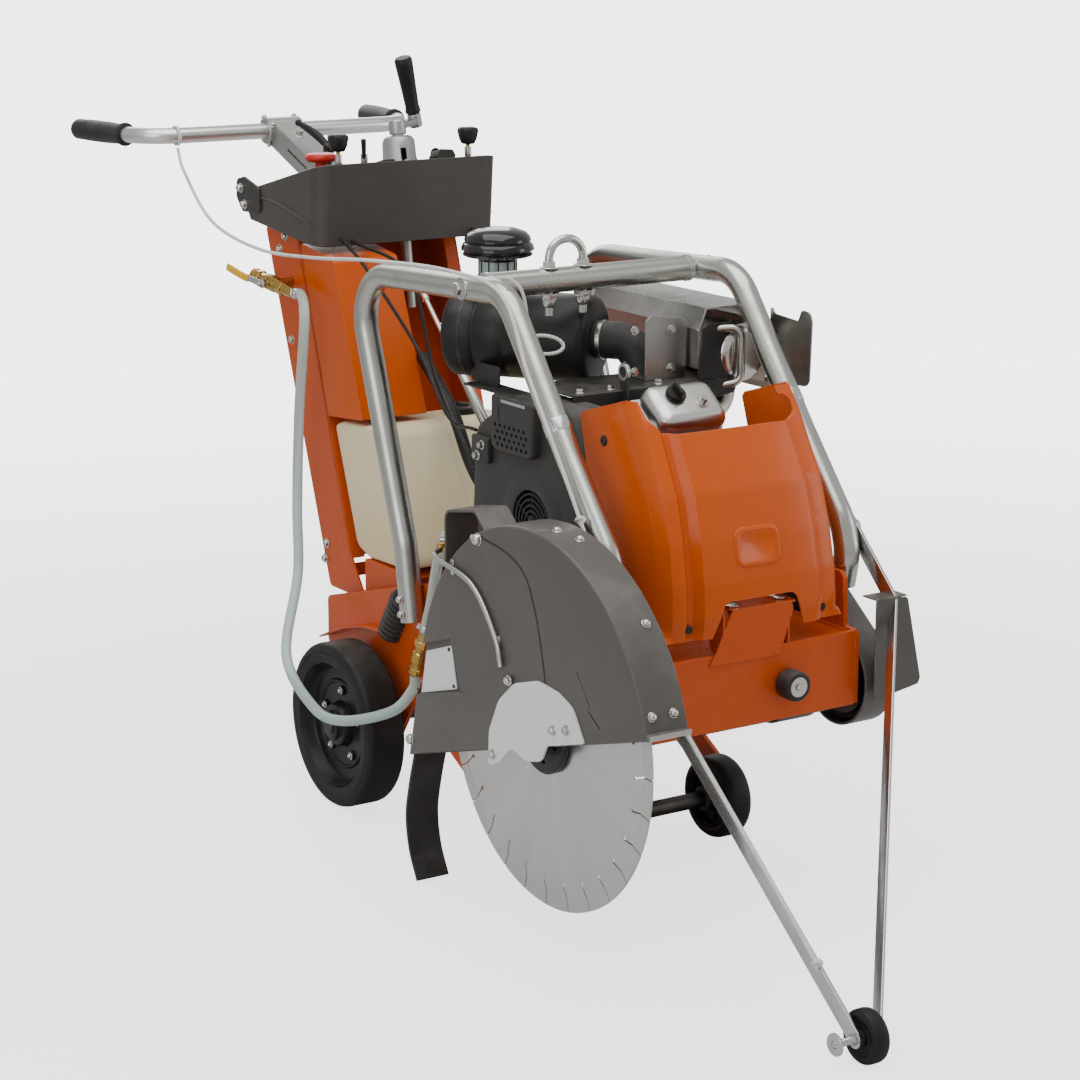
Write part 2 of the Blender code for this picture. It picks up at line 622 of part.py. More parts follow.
def make_handlebar():
    slide = empty("handlebar_slide", (0, *BAR_YZ), root)
    y, z = BAR_YZ
    end = [(-0.292, 0.861, z), (-0.258, y, z), (0.258, y, z), (0.292, 0.861, z)]
    bar = tube("handlebar", rounded(end, 0.075, 5), BAR_R, "zinc", slide, 3)
    for name, side in (("near_grip", -1), ("far_grip", 1)):
        inner = Vector((side * 0.2685, 0.712, z))
        outer = Vector((side * 0.2927, 0.866, z))
        grip = rod(name, inner, outer, 0.0185, "rubber", slide, 20)
        start = inner - (outer - inner) * 0.1
        cut(grip, rod(name + "_bore", start, inner + (outer - inner) * 0.9732, BAR_R + 0.0006, sides=20))
    way = Vector((0, math.cos(ARM_SLOPE), math.sin(ARM_SLOPE)))
    length = 0.270
    middle = Vector((0, y, z)) - way * (length / 2)
    arm = box("handlebar_arm", (-0.026, -length / 2, -0.021), (0.026, length / 2, 0.021), "grey_cast", slide)
    arm.location = middle
    arm.rotation_euler = (ARM_SLOPE, 0, 0)
    clamp = x_rod("arm_clamp", BAR_YZ, -0.034, 0.034, 0.023)
    unite(arm, clamp)
    cut(arm, x_rod("clamp_bore", BAR_YZ, -0.10, 0.10, BAR_R + GAP))
    hub_at = Vector((0, 0.488, 0)) + Vector((0, 0, z - (y - 0.488) * math.tan(ARM_SLOPE)))
    normal = Vector((0, -math.sin(ARM_SLOPE), math.cos(ARM_SLOPE)))
    foot = hub_at + normal * (0.021 + GAP)
    lock = empty("clamp_lever_axis", foot, slide)
    lever = rod("clamp_lever", foot, foot + normal * 0.032, 0.009, "black_plastic", lock, 16)
    tip = foot + normal * 0.044 + Vector((-0.020, 0.078, 0.020))
    unite(lever, rod("lever_bar", foot + normal * 0.026, tip, 0.0065, sides=12, end_radius=0.0045))


def make_crank():
    """Depth crank on its threaded spindle, in a cup-shaped housing."""
    tilt = math.radians(12)
    up = Vector((0, math.sin(tilt) * 0.6, math.cos(tilt))).normalized()
    base = Vector((CRANK_X, CRANK_Y, panel_z(CRANK_Y) + 0.006))
    cup = rod("crank_housing", base, base + up * 0.050, 0.031, "grey_cast", root, 28)
    cut(cup, rod("cup_bore", base - up * 0.05, base + up * 0.08, 0.010 + GAP))
    turn = empty("depth_crank_axis", base, root)
    cut(bpy.data.objects["console"], rod("crank_hole", base - up * 0.25, base + up * 0.10, 0.012))
    spindle = rod("depth_crank", base - up * 0.240, base + up * 0.074, 0.010, "grey_cast", turn, 20)
    top = base + up * 0.066
    reach = Vector((0.052, 0.030, 0.004))
    arm_end = top + reach
    arm = rod("crank_arm", top - reach * 0.22, arm_end, 0.0105, sides=12)
    unite(spindle, arm)
    grip_axis = empty("crank_grip_axis", arm_end, turn)
    lean = Vector((-0.030, -0.012, 0.110)).normalized()
    foot = arm_end + lean * 0.0150
    rod("crank_grip", foot, foot + lean * 0.098, 0.0125, "black_plastic", grip_axis, 20, 0.0155)


def knob(name, x, y, radius, rise, kind):
    """Push-pull knob on a stem that stands on the panel."""
    z = panel_z(y) + GAP
    axis = empty(name + "_axis", (x, y, z), root)
    profile = [(0.0, rise), (radius * 0.85, rise), (radius, rise * 0.92), (radius * 0.72, rise * 0.50),
               (0.0055, rise * 0.48), (0.0055, 0.0035), (0.0, 0.0035)]
    turned(name, profile, (x, y, z), "Z", kind, axis, 20)


def make_controls():
    knob("throttle_knob", -0.112, 0.235, 0.016, 0.052, "black_plastic")
    knob("choke_knob", 0.135, 0.235, 0.016, 0.052, "black_plastic")
    z = panel_z(0.285)
    axis = empty("stop_button_axis", (-0.117, 0.285, z), root)
    profile = [(0.0, 0.030), (0.022, 0.030), (0.026, 0.024), (0.022, 0.016), (0.010, 0.0145),
               (0.010, 0.0080), (0.0, 0.0080)]
    turned("stop_button", profile, (-0.117, 0.285, z + GAP), "Z", "red_plastic", axis, 24)
    z = panel_z(0.250)
    lever_axis = empty("start_lever_axis", (-0.055, 0.250, z), root)
    rod("start_lever", (-0.055, 0.250, z + 0.0035), (-0.060, 0.243, z + 0.045), 0.0045, "black_plastic",
        lever_axis, 12)


# ---------------------------------------------------------------- water and ropes
def make_water():
    """Ball valve on the column, hoses to the guard, and the steel pipe along it."""
    x = -0.190
    way = Vector((0.010, -0.150, -0.020)).normalized()
    head = Vector((x, 0.392, 0.806))
    valve = rod("water_valve", head, head + way * 0.125, 0.0135, "brass", root, 20)
    boss = rod("valve_foot", head + way * 0.060, head + way * 0.060 + Vector((0.0350, 0, 0.0)), 0.007, sides=12)
    unite(valve, boss)
    stem = head + way * 0.060
    lever_axis = empty("valve_lever_axis", stem, root)
    lever = rod("valve_lever", stem + Vector((-0.0142, 0, 0)), stem + Vector((-0.030, 0, 0)), 0.006,
                "yellow_plastic", lever_axis, 12)
    blade_start = stem + Vector((-0.026, 0.0, 0.0))
    blade_end = stem + Vector((-0.034, 0.100, 0.018))
    unite(lever, rod("lever_strip", blade_start, blade_end, 0.0058, sides=8))
    end = head + way * 0.1275
    low, high = Vector((-0.238, -0.215, 0.2655)), Vector((-0.233, -0.235, 0.335))
    rise = (high - low).normalized()
    route = [end, end + way * 0.025, (-0.196, 0.205, 0.745), (-0.198, 0.225, 0.600), (-0.200, 0.235, 0.440),
             (-0.212, 0.215, 0.330), (-0.286, 0.120, 0.225), (-0.300, 0.010, 0.170), (-0.300, -0.085, 0.168),
             (-0.262, -0.178, 0.200), low - rise * 0.028, low - rise * 0.0012]
    tube("supply_hose", smooth_path(route, 3), 0.0085, "clear_hose", root, 2)
    rod("hose_coupling", low, high, 0.0125, "brass", root, 18)
    route = [high + rise * 0.0012, high + rise * 0.025, (-0.233, -0.258, 0.395), (-0.240, -0.285, 0.450), (-0.262, -0.345, 0.508),
             (-0.290, -0.395, 0.525), (-0.318, -0.432, 0.523)]
    tube("guard_hose", smooth_path(route, 3), 0.0085, "clear_hose", root, 2)
    face = GUARD_OUT - 0.0068
    pipe = rounded([(-0.318, -0.4325, 0.523), (-0.330, -0.446, 0.522), (face, -0.470, 0.520),
                    (face, -0.570, 0.500), (face, -0.630, 0.440), (face, -0.645, 0.400)], 0.02, 3)
    tube("guard_water_pipe", pipe, 0.0045, "zinc", root, 2)


def make_ropes():
    """Lifting rope of the pointer: handlebar, along the cage, down to the pointer."""
    upper = [(-0.205, 0.640, 0.996), (-0.213, 0.600, 0.960), (-0.222, 0.480, 0.888), (-0.228, 0.300, 0.862),
             (-0.229, 0.120, 0.868), (-0.229, -0.080, 0.886), (-0.2285, -0.300, 0.897), (-0.2285, -0.450, 0.880),
             (-0.2355, -0.530, 0.780), (-0.2365, -0.620, 0.660), (-0.2365, -0.690, 0.560)]
    tube("rope_upper", smooth_path(upper, 3), 0.003, "rope", root, 2)
    lower = [(-0.2437, -0.6918, 0.5575), (-0.2437, -0.840, 0.430), (-0.237, -0.980, 0.310),
             (-0.2210, -1.100, 0.190), (-0.2130, -1.175, 0.115)]
    tube("rope_lower", smooth_path(lower, 3), 0.003, "rope", bpy.data.objects["pointer_hinge_axis"], 2)


# ---------------------------------------------------------------- pointer and bumper
def make_pointer():
    hinge = empty("pointer_hinge_axis", (0, *POINTER_YZ), root)
    py, pz = POINTER_YZ
    ty, tz = POINTER_TIP_YZ
    inner, outer = HOOP_X + TUBE_R + 0.0010, HOOP_X + TUBE_R + 0.0060

    def flat_bar(name, points, kind=None, parent=None):
        """Flat bar on edge: a strip of rectangular section along the points."""
        path = [Vector(point) for point in points]
        mesh = bpy.data.meshes.new(name)
        shape = bmesh.new()
        rings = []
        for i, place in enumerate(path):
            before, after = path[max(i - 1, 0)], path[min(i + 1, len(path) - 1)]
            way = (after - before).normalized()
            across = way.cross(Vector((1, 0, 0))).normalized() * 0.0125
            thick = Vector((0.0025, 0, 0))
            rings.append([shape.verts.new(place + u * across + v * thick)
                          for u, v in ((-1, -1), (1, -1), (1, 1), (-1, 1))])
        for one, two in zip(rings, rings[1:]):
            for k in range(4):
                shape.faces.new((one[k], one[(k + 1) % 4], two[(k + 1) % 4], two[k]))
        shape.faces.new(rings[0][::-1])
        shape.faces.new(rings[-1])
        bmesh.ops.recalc_face_normals(shape, faces=shape.faces)
        shape.to_mesh(mesh)
        shape.free()
        return new_object(name, mesh, kind, parent)

    middle = (inner + outer) / 2
    tip = Vector((POINTER_X + POINTER_W / 2 + 0.0045, ty, tz))
    near_tip = Vector((POINTER_X - POINTER_W / 2 - 0.0045, ty, tz))
    bend_y, bend_z = -0.782, 0.439
    near = flat_bar("pointer_frame", [(-middle, py + 0.010, pz + 0.010), (-middle, bend_y, bend_z), near_tip],
                    "zinc", hinge)
    far = flat_bar("pointer_far_bar", [(middle, py + 0.010, pz + 0.010), (middle, bend_y, bend_z), tip])
    bolt = x_rod("pointer_axle", POINTER_TIP_YZ, -0.238, POINTER_X + POINTER_W / 2 + 0.010, 0.0050, sides=16)
    washer = x_rod("pointer_washer", POINTER_TIP_YZ, -0.238, -0.234, 0.0150, sides=20)
    unite(near, far, bolt, washer)
    spin = empty("pointer_wheel_axis", (0, ty, tz), hinge)
    half = POINTER_W / 2
    profile = [(0.0050 + GAP, half), (0.012, half), (0.012, half * 0.6), (0.026, half * 0.6), (0.027, half * 0.9),
               (POINTER_R, half * 0.8), (POINTER_R, -half * 0.8), (0.027, -half * 0.9), (0.026, -half * 0.6),
               (0.012, -half * 0.6), (0.012, -half), (0.0050 + GAP, -half)]
    turned("pointer_wheel", profile, (POINTER_X, ty, tz), "X", "rubber", spin, 28, True)


def make_small_pieces():
    """Rubber bumper on the front beam, and the lift strut beside the tank."""
    turned("bumper", [(0.0, 0.031), (0.016, 0.031), (0.022, 0.027), (0.022, 0.003), (0.018, GAP), (0.0, GAP)],
           (0.052, -0.761, 0.342), "Y", "rubber", root, 24).rotation_euler = (math.pi / 2, 0, 0)
    rod("lift_strut", (-0.010, 0.150, 0.800), (0.000, -0.080, 0.560), 0.0085, "zinc", root, 16)


make_main_frame()
make_rear_axle()
make_column()
make_column_cover()
make_fuel_tank()
make_cage()
make_lifting_eye()
make_engine()
make_fan_shroud()
make_air_cleaner()
make_muffler()
make_front_cover()
make_belt_guard()
make_drive()
make_guard()
make_flap()
make_wheels()
make_console()
make_handlebar()
make_crank()
make_controls()
make_water()
make_pointer()
make_ropes()
make_small_pieces()

root.location = ORIGIN_SHIFT
bpy.context.view_layer.update()
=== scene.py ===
# Looks of the walk-behind concrete saw. Everything is modelled from the middle of the rear axle:
# -y is forwards, -x is the blade side, z is up from the ground, all in metres.
import json
import math
import random
from math import atan2, cos, exp, pi, radians, sin, sqrt, tan

import bmesh
import bpy
from mathutils import Matrix, Vector

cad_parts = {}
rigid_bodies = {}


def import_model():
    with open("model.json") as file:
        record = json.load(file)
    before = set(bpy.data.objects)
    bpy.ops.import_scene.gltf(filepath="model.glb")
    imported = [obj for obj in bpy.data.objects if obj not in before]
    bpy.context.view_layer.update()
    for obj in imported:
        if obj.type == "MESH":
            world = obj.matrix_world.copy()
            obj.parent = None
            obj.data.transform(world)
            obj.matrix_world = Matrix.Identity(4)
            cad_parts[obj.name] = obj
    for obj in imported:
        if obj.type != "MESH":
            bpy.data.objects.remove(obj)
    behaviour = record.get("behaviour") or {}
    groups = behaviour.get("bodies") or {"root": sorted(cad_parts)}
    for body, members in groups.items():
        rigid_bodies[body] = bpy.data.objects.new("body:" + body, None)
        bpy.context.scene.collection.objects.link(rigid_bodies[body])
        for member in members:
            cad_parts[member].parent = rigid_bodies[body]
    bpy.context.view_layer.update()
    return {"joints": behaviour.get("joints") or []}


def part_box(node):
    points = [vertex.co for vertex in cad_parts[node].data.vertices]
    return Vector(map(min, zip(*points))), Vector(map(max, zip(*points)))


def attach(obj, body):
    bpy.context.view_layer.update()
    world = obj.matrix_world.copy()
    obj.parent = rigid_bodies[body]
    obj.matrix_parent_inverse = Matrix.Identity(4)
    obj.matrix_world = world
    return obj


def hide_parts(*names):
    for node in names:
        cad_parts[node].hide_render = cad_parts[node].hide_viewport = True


for old in list(bpy.data.objects):
    bpy.data.objects.remove(old, do_unlink=True)

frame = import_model()
axleLow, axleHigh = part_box("rear_axle")
machine = Vector(((axleLow.x + axleHigh.x) / 2, (axleLow.y + axleHigh.y) / 2, 0))
looks = bpy.data.collections.new("concrete_saw_looks")
bpy.context.scene.collection.children.link(looks)


def centreOf(node):
    low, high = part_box(node)
    return (low + high) / 2 - machine


shaft = centreOf("diamond_blade")  # blade centre
frontHub = centreOf("near_front_wheel")


# camera and studio
def aimed(name, data, place, target):
    holder = bpy.data.objects.new(name, data)
    looks.objects.link(holder)
    holder.location = place
    holder.rotation_euler = (target - place).to_track_quat("-Z", "Y").to_euler()
    return holder


studio = {
    "cameraPlace": Vector((-2.2955, -3.756, 1.4595)),
    "cameraPitch": -13.5,
    "cameraTurn": -32.82,
    "lens": 92.63,
    "floorGrey": 0.55,
    "worldGrey": 0.95,
    "worldStrength": 0.62,
    "backdropStrength": 4.2,
    "floorGlow": (2.0, 3.9),
}


def makeCamera():
    data = bpy.data.cameras.new("camera")
    data.lens = studio["lens"]
    data.sensor_width = 36
    camera = bpy.data.objects.new("camera", data)
    looks.objects.link(camera)
    camera.location = machine + studio["cameraPlace"]
    camera.rotation_euler = (radians(90 + studio["cameraPitch"]), 0, radians(studio["cameraTurn"]))
    bpy.context.scene.camera = camera


def softLight(name, place, target, size, power, colour=(1, 1, 1)):
    data = bpy.data.lights.new(name, "AREA")
    data.shape = "RECTANGLE"
    data.size, data.size_y = size
    data.energy = power
    data.color = colour
    return aimed(name, data, machine + Vector(place), machine + Vector(target))


def makeStudio():
    softLight("overheadSoftbox", (-0.4, -0.6, 3.4), (0, -0.3, 0.4), (3.2, 3.2), 84)
    softLight("leftSoftbox", (-3.4, -2.0, 1.7), (0, -0.3, 0.5), (2.2, 2.4), 32)
    softLight("rightSoftbox", (3.2, -2.6, 1.5), (0, -0.3, 0.5), (1.4, 2.4), 26)
    softLight("backSoftbox", (1.0, 3.2, 2.2), (0, 0, 0.7), (2.4, 1.6), 34)
    world = bpy.data.worlds.new("paleStudio")
    bpy.context.scene.world = world
    world.use_nodes = True
    sky = world.node_tree.nodes["Background"]
    put(sky, "Color", (*[studio["worldGrey"]] * 3, 1))
    put(sky, "Strength", studio["worldStrength"])
    # the white backdrop is only seen, it does not light the machine
    backdrop = node(world.node_tree, "Background")
    put(backdrop, "Color", (1, 1, 1, 1))
    put(backdrop, "Strength", studio["backdropStrength"])
    seen = node(world.node_tree, "LightPath").outputs["Is Camera Ray"]
    both = node(world.node_tree, "MixShader")
    world.node_tree.links.new(seen, both.inputs[0])
    world.node_tree.links.new(sky.outputs[0], both.inputs[1])
    world.node_tree.links.new(backdrop.outputs[0], both.inputs[2])
    world.node_tree.links.new(both.outputs[0], world.node_tree.nodes["World Output"].inputs["Surface"])
    floorMesh = bpy.data.meshes.new("floor")
    shape = bmesh.new()
    bmesh.ops.create_grid(shape, x_segments=1, y_segments=1, size=14)
    shape.to_mesh(floorMesh)
    shape.free()
    floor = bpy.data.objects.new("floor", floorMesh)
    looks.objects.link(floor)
    material = bpy.data.materials.new("paleFloor")
    material.use_nodes = True
    shader = material.node_tree.nodes["Principled BSDF"]
    put(shader, "Base Color", (*[studio["floorGrey"]] * 3, 1))
    put(shader, "Roughness", 0.6)
    put(shader, "Emission Color", (1, 1, 1, 1))
    tree = material.node_tree
    away = node(tree, "VectorMath", operation="LENGTH")
    tree.links.new(node(tree, "TexCoord").outputs["Object"], away.inputs[0])
    glow = node(tree, "MapRange")
    glow.interpolation_type = "SMOOTHSTEP"
    put(glow, "From Min", 0.7)
    put(glow, "From Max", 4.5)
    glow.inputs["To Min"].default_value, glow.inputs["To Max"].default_value = studio["floorGlow"]
    tree.links.new(away.outputs["Value"], glow.inputs["Value"])
    seen = node(tree, "LightPath").outputs["Is Camera Ray"]
    tree.links.new(times(tree, glow.outputs["Result"], seen), shader.inputs["Emission Strength"])
    floorMesh.materials.append(material)


# shared shader groups
def put(made, slot, value):
    made.inputs[slot].default_value = value


def newGroup(name, inputs, outputs):
    group = bpy.data.node_groups.new(name, "ShaderNodeTree")
    for label, kind, value in inputs:
        socket = group.interface.new_socket(label, in_out="INPUT", socket_type=kind)
        if value is not None:
            socket.default_value = value
    for label, kind in outputs:
        group.interface.new_socket(label, in_out="OUTPUT", socket_type=kind)
    start = group.nodes.new("NodeGroupInput")
    end = group.nodes.new("NodeGroupOutput")
    return group, start, end


def node(tree, kind, **settings):
    made = tree.nodes.new("ShaderNode" + kind)
    for key, value in settings.items():
        setattr(made, key, value)
    return made


def maths(tree, operation, one, two=0.5, clamp=False):
    made = node(tree, "Math", operation=operation, use_clamp=clamp)
    for slot, value in zip(made.inputs, (one, two)):
        if isinstance(value, (int, float)):
            slot.default_value = value
        else:
            tree.links.new(value, slot)
    return made.outputs[0]


def times(tree, one, two, clamp=False):
    return maths(tree, "MULTIPLY", one, two, clamp)


def plus(tree, one, two, clamp=False):
    return maths(tree, "ADD", one, two, clamp)


def noise(tree, vector, scale, detail=3.0, rough=0.55):
    made = node(tree, "TexNoise")
    put(made, "Detail", detail)
    put(made, "Roughness", rough)
    tree.links.new(vector, made.inputs["Vector"])
    if isinstance(scale, (int, float)):
        put(made, "Scale", scale)
    else:
        tree.links.new(scale, made.inputs["Scale"])
    return made.outputs["Fac"]


def ramp(tree, value, low, high):
    made = node(tree, "MapRange", interpolation_type="SMOOTHSTEP")
    tree.links.new(value, made.inputs["Value"])
    for slot, amount in (("From Min", low), ("From Max", high)):
        if isinstance(amount, (int, float)):
            put(made, slot, amount)
        else:
            tree.links.new(amount, made.inputs[slot])
    return made.outputs["Result"]


def blendColour(tree, mask, one, two, mode="MIX"):
    made = node(tree, "Mix", data_type="RGBA", blend_type=mode)
    for slot, value in ((0, mask), (6, one), (7, two)):
        if isinstance(value, (int, float)):
            put(made, slot, value)
        elif isinstance(value, tuple):
            put(made, slot, (*value, 1))
        else:
            tree.links.new(value, made.inputs[slot])
    return made.outputs[2]


def makeHandledGroup():
    # faint finger marks, rub marks and cloudy patches of a machine that has been wiped down
    group, start, end = newGroup("handledSurface", [("Vector", "NodeSocketVector", None),
        ("Patch Scale", "NodeSocketFloat", 6.0), ("Scratch Scale", "NodeSocketFloat", 60.0)],
        [("Cloud", "NodeSocketFloat"), ("Scratches", "NodeSocketFloat")])
    cloud = noise(group, start.outputs["Vector"], start.outputs["Patch Scale"], 4.0)
    stretch = node(group, "Mapping")
    put(stretch, "Scale", (1.0, 0.08, 0.9))
    put(stretch, "Rotation", (0.5, 0.2, 0.7))
    group.links.new(start.outputs["Vector"], stretch.inputs["Vector"])
    lines = noise(group, stretch.outputs[0], start.outputs["Scratch Scale"], 2.0)
    group.links.new(cloud, end.inputs["Cloud"])
    group.links.new(ramp(group, lines, 0.66, 0.72), end.inputs["Scratches"])
    return group


def makeEdgeWearGroup():
    # bright rubbed edges, broken up so that they don't run evenly
    group, start, end = newGroup("rubbedEdges", [("Vector", "NodeSocketVector", None),
        ("Width", "NodeSocketFloat", 0.1), ("Amount", "NodeSocketFloat", 0.5)],
        [("Mask", "NodeSocketFloat")])
    geometry = node(group, "NewGeometry")
    rounded = node(group, "Bevel", samples=4)
    put(rounded, "Radius", 0.0016)
    turn = node(group, "VectorMath", operation="DOT_PRODUCT")
    group.links.new(geometry.outputs["Normal"], turn.inputs[0])
    group.links.new(rounded.outputs["Normal"], turn.inputs[1])
    edge = maths(group, "SUBTRACT", 1.0, turn.outputs["Value"])
    edge = ramp(group, edge, 0.01, start.outputs["Width"])
    chips = ramp(group, noise(group, start.outputs["Vector"], 55.0, 5.0, 0.7), 0.46, 0.6)
    mask = times(group, edge, chips)
    mask = times(group, mask, start.outputs["Amount"], clamp=True)
    group.links.new(mask, end.inputs["Mask"])
    return group


def makeDustGroup():
    # pale stone dust that lies on faces that look up
    group, start, end = newGroup("stoneDust", [("Vector", "NodeSocketVector", None),
        ("Amount", "NodeSocketFloat", 0.3)], [("Mask", "NodeSocketFloat")])
    geometry = node(group, "NewGeometry")
    parts = node(group, "SeparateXYZ")
    group.links.new(geometry.outputs["Normal"], parts.inputs[0])
    flatness = ramp(group, parts.outputs["Z"], 0.2, 1.0)
    patch = ramp(group, noise(group, start.outputs["Vector"], 9.0, 6.0, 0.65), 0.4, 0.78)
    mask = times(group, plus(group, flatness, 0.25), patch)
    mask = times(group, mask, start.outputs["Amount"], clamp=True)
    group.links.new(mask, end.inputs["Mask"])
    return group


def makeGrainGroup():
    # height of a moulded, powder-coated or cast skin
    group, start, end = newGroup("skinGrain", [("Vector", "NodeSocketVector", None),
        ("Grain Size", "NodeSocketFloat", 0.001), ("Wave", "NodeSocketFloat", 0.3)],
        [("Height", "NodeSocketFloat")])
    pitch = maths(group, "DIVIDE", 1.0, start.outputs["Grain Size"])
    fine = noise(group, start.outputs["Vector"], pitch, 2.0)
    slow = noise(group, start.outputs["Vector"], 38.0, 1.0)
    height = plus(group, fine, times(group, slow, start.outputs["Wave"]))
    group.links.new(height, end.inputs["Height"])
    return group


def makeBrushedGroup():
    # fine lines left by drawing or grinding, long in the direction where Stretch is small
    group, start, end = newGroup("drawnLines", [("Vector", "NodeSocketVector", None),
        ("Stretch", "NodeSocketVector", None), ("Line Scale", "NodeSocketFloat", 300.0)],
        [("Lines", "NodeSocketFloat"), ("Stains", "NodeSocketFloat")])
    lengthen = node(group, "VectorMath", operation="MULTIPLY")
    group.links.new(start.outputs["Vector"], lengthen.inputs[0])
    group.links.new(start.outputs["Stretch"], lengthen.inputs[1])
    lines = noise(group, lengthen.outputs[0], start.outputs["Line Scale"], 3.0, 0.6)
    stains = noise(group, start.outputs["Vector"], 14.0, 5.0, 0.62)
    group.links.new(lines, end.inputs["Lines"])
    group.links.new(ramp(group, stains, 0.35, 0.75), end.inputs["Stains"])
    return group


handledGroup = makeHandledGroup()
edgeGroup = makeEdgeWearGroup()
dustGroup = makeDustGroup()
grainGroup = makeGrainGroup()
brushedGroup = makeBrushedGroup()


def useGroup(tree, group, vector, **values):
    made = tree.nodes.new("ShaderNodeGroup")
    made.node_tree = group
    tree.links.new(vector, made.inputs["Vector"])
    for key, value in values.items():
        made.inputs[key.replace("_", " ")].default_value = value
    return made


def startMaterial(name, roughness, metallic=0.0, coat=0.0, ior=1.5):
    material = bpy.data.materials.new(name)
    material.use_nodes = True
    tree = material.node_tree
    shader = tree.nodes["Principled BSDF"]
    put(shader, "Roughness", roughness)
    put(shader, "Metallic", metallic)
    put(shader, "Coat Weight", coat)
    put(shader, "Coat Roughness", 0.06)
    put(shader, "IOR", ior)
    put(shader, "Specular IOR Level", 0.28)
    vector = node(tree, "TexCoord").outputs["Object"]
    return material, tree, shader, vector


def addBump(tree, shader, height, depth, strength=1.0):
    bump = node(tree, "Bump")
    put(bump, "Distance", depth)
    put(bump, "Strength", strength)
    tree.links.new(height, bump.inputs["Height"])
    tree.links.new(bump.outputs[0], shader.inputs["Normal"])


# paint, plastic and rubber: colour with clouding, worn edges, dust and a skin grain
skins = {
    "orangePaint": {"colour": (0.6, 0.078, 0.001), "shade": (0.52, 0.062, 0.001), "worn": (0.45, 0.43, 0.4),
        "rough": 0.28, "spread": 0.1, "coat": 0.06, "grain": 0.0035, "depth": 0.00006, "wear": 0.35,
        "dust": 0.03},
    "orangeCover": {"colour": (0.62, 0.09, 0.001), "shade": (0.55, 0.074, 0.001), "worn": (0.85, 0.33, 0.1),
        "rough": 0.28, "spread": 0.08, "coat": 0.06, "grain": 0.0016, "depth": 0.00004, "wear": 0.35,
        "dust": 0.03},
    "greyPaint": {"colour": (0.1, 0.091, 0.08), "shade": (0.084, 0.077, 0.068), "worn": (0.36, 0.35, 0.33),
        "rough": 0.36, "spread": 0.14, "coat": 0.12, "grain": 0.0014, "depth": 0.00005, "wear": 0.55,
        "dust": 0.14},
    "consoleSkin": {"colour": (0.066, 0.058, 0.05), "shade": (0.056, 0.049, 0.042),
        "worn": (0.15, 0.145, 0.14), "rough": 0.34, "spread": 0.12, "coat": 0.1, "grain": 0.0009,
        "depth": 0.00005, "wear": 0.4, "dust": 0.06},
    "blackPlastic": {"colour": (0.018, 0.017, 0.016), "shade": (0.012, 0.012, 0.011),
        "worn": (0.07, 0.07, 0.068), "rough": 0.4, "spread": 0.16, "coat": 0.0, "grain": 0.0008,
        "depth": 0.00006, "wear": 0.4, "dust": 0.1},
    "glossBlack": {"colour": (0.01, 0.01, 0.01), "shade": (0.007, 0.007, 0.007), "worn": (0.05, 0.05, 0.05),
        "rough": 0.12, "spread": 0.08, "coat": 0.5, "grain": 0.003, "depth": 0.00003, "wear": 0.2,
        "dust": 0.05},
    "shroudPlastic": {"colour": (0.05, 0.047, 0.043), "shade": (0.036, 0.034, 0.031),
        "worn": (0.12, 0.115, 0.11), "rough": 0.42, "spread": 0.14, "coat": 0.0, "grain": 0.001,
        "depth": 0.00007, "wear": 0.4, "dust": 0.16},
    "blackSteel": {"colour": (0.03, 0.028, 0.026), "shade": (0.02, 0.019, 0.018),
        "worn": (0.24, 0.23, 0.22), "rough": 0.38, "spread": 0.18, "coat": 0.05, "grain": 0.0015,
        "depth": 0.00006, "wear": 0.7, "dust": 0.16},
    "softRubber": {"colour": (0.028, 0.027, 0.026), "shade": (0.018, 0.017, 0.016),
        "worn": (0.07, 0.068, 0.065), "rough": 0.48, "spread": 0.14, "coat": 0.0, "grain": 0.0012,
        "depth": 0.00008, "wear": 0.5, "dust": 0.2},
    "tyreRubber": {"colour": (0.012, 0.0115, 0.011), "shade": (0.008, 0.008, 0.0075),
        "worn": (0.04, 0.038, 0.036), "rough": 0.5, "spread": 0.14, "coat": 0.0, "grain": 0.0018,
        "depth": 0.00016, "wear": 0.6, "dust": 0.08},
    "wheelRim": {"colour": (0.01, 0.0098, 0.0095), "shade": (0.007, 0.007, 0.0068),
        "worn": (0.045, 0.043, 0.041), "rough": 0.32, "spread": 0.12, "coat": 0.0, "grain": 0.0012,
        "depth": 0.00008, "wear": 0.5, "dust": 0.07},
    "whitePlate": {"colour": (0.83, 0.84, 0.84), "shade": (0.74, 0.75, 0.75), "worn": (0.42, 0.42, 0.42),
        "rough": 0.34, "spread": 0.12, "coat": 0.1, "grain": 0.002, "depth": 0.00003, "wear": 0.5,
        "dust": 0.05},
    "yellowSleeve": {"colour": (0.86, 0.5, 0.012), "shade": (0.74, 0.4, 0.008), "worn": (0.95, 0.72, 0.25),
        "rough": 0.32, "spread": 0.1, "coat": 0.1, "grain": 0.001, "depth": 0.00004, "wear": 0.3,
        "dust": 0.05},
    "redButton": {"colour": (0.62, 0.022, 0.012), "shade": (0.5, 0.016, 0.01), "worn": (0.75, 0.2, 0.14),
        "rough": 0.3, "spread": 0.1, "coat": 0.15, "grain": 0.0012, "depth": 0.00003, "wear": 0.4,
        "dust": 0.04},
    "blackCable": {"colour": (0.014, 0.014, 0.014), "shade": (0.01, 0.01, 0.01), "worn": (0.05, 0.05, 0.05),
        "rough": 0.42, "spread": 0.12, "coat": 0.0, "grain": 0.0008, "depth": 0.00005, "wear": 0.2,
        "dust": 0.12},
}


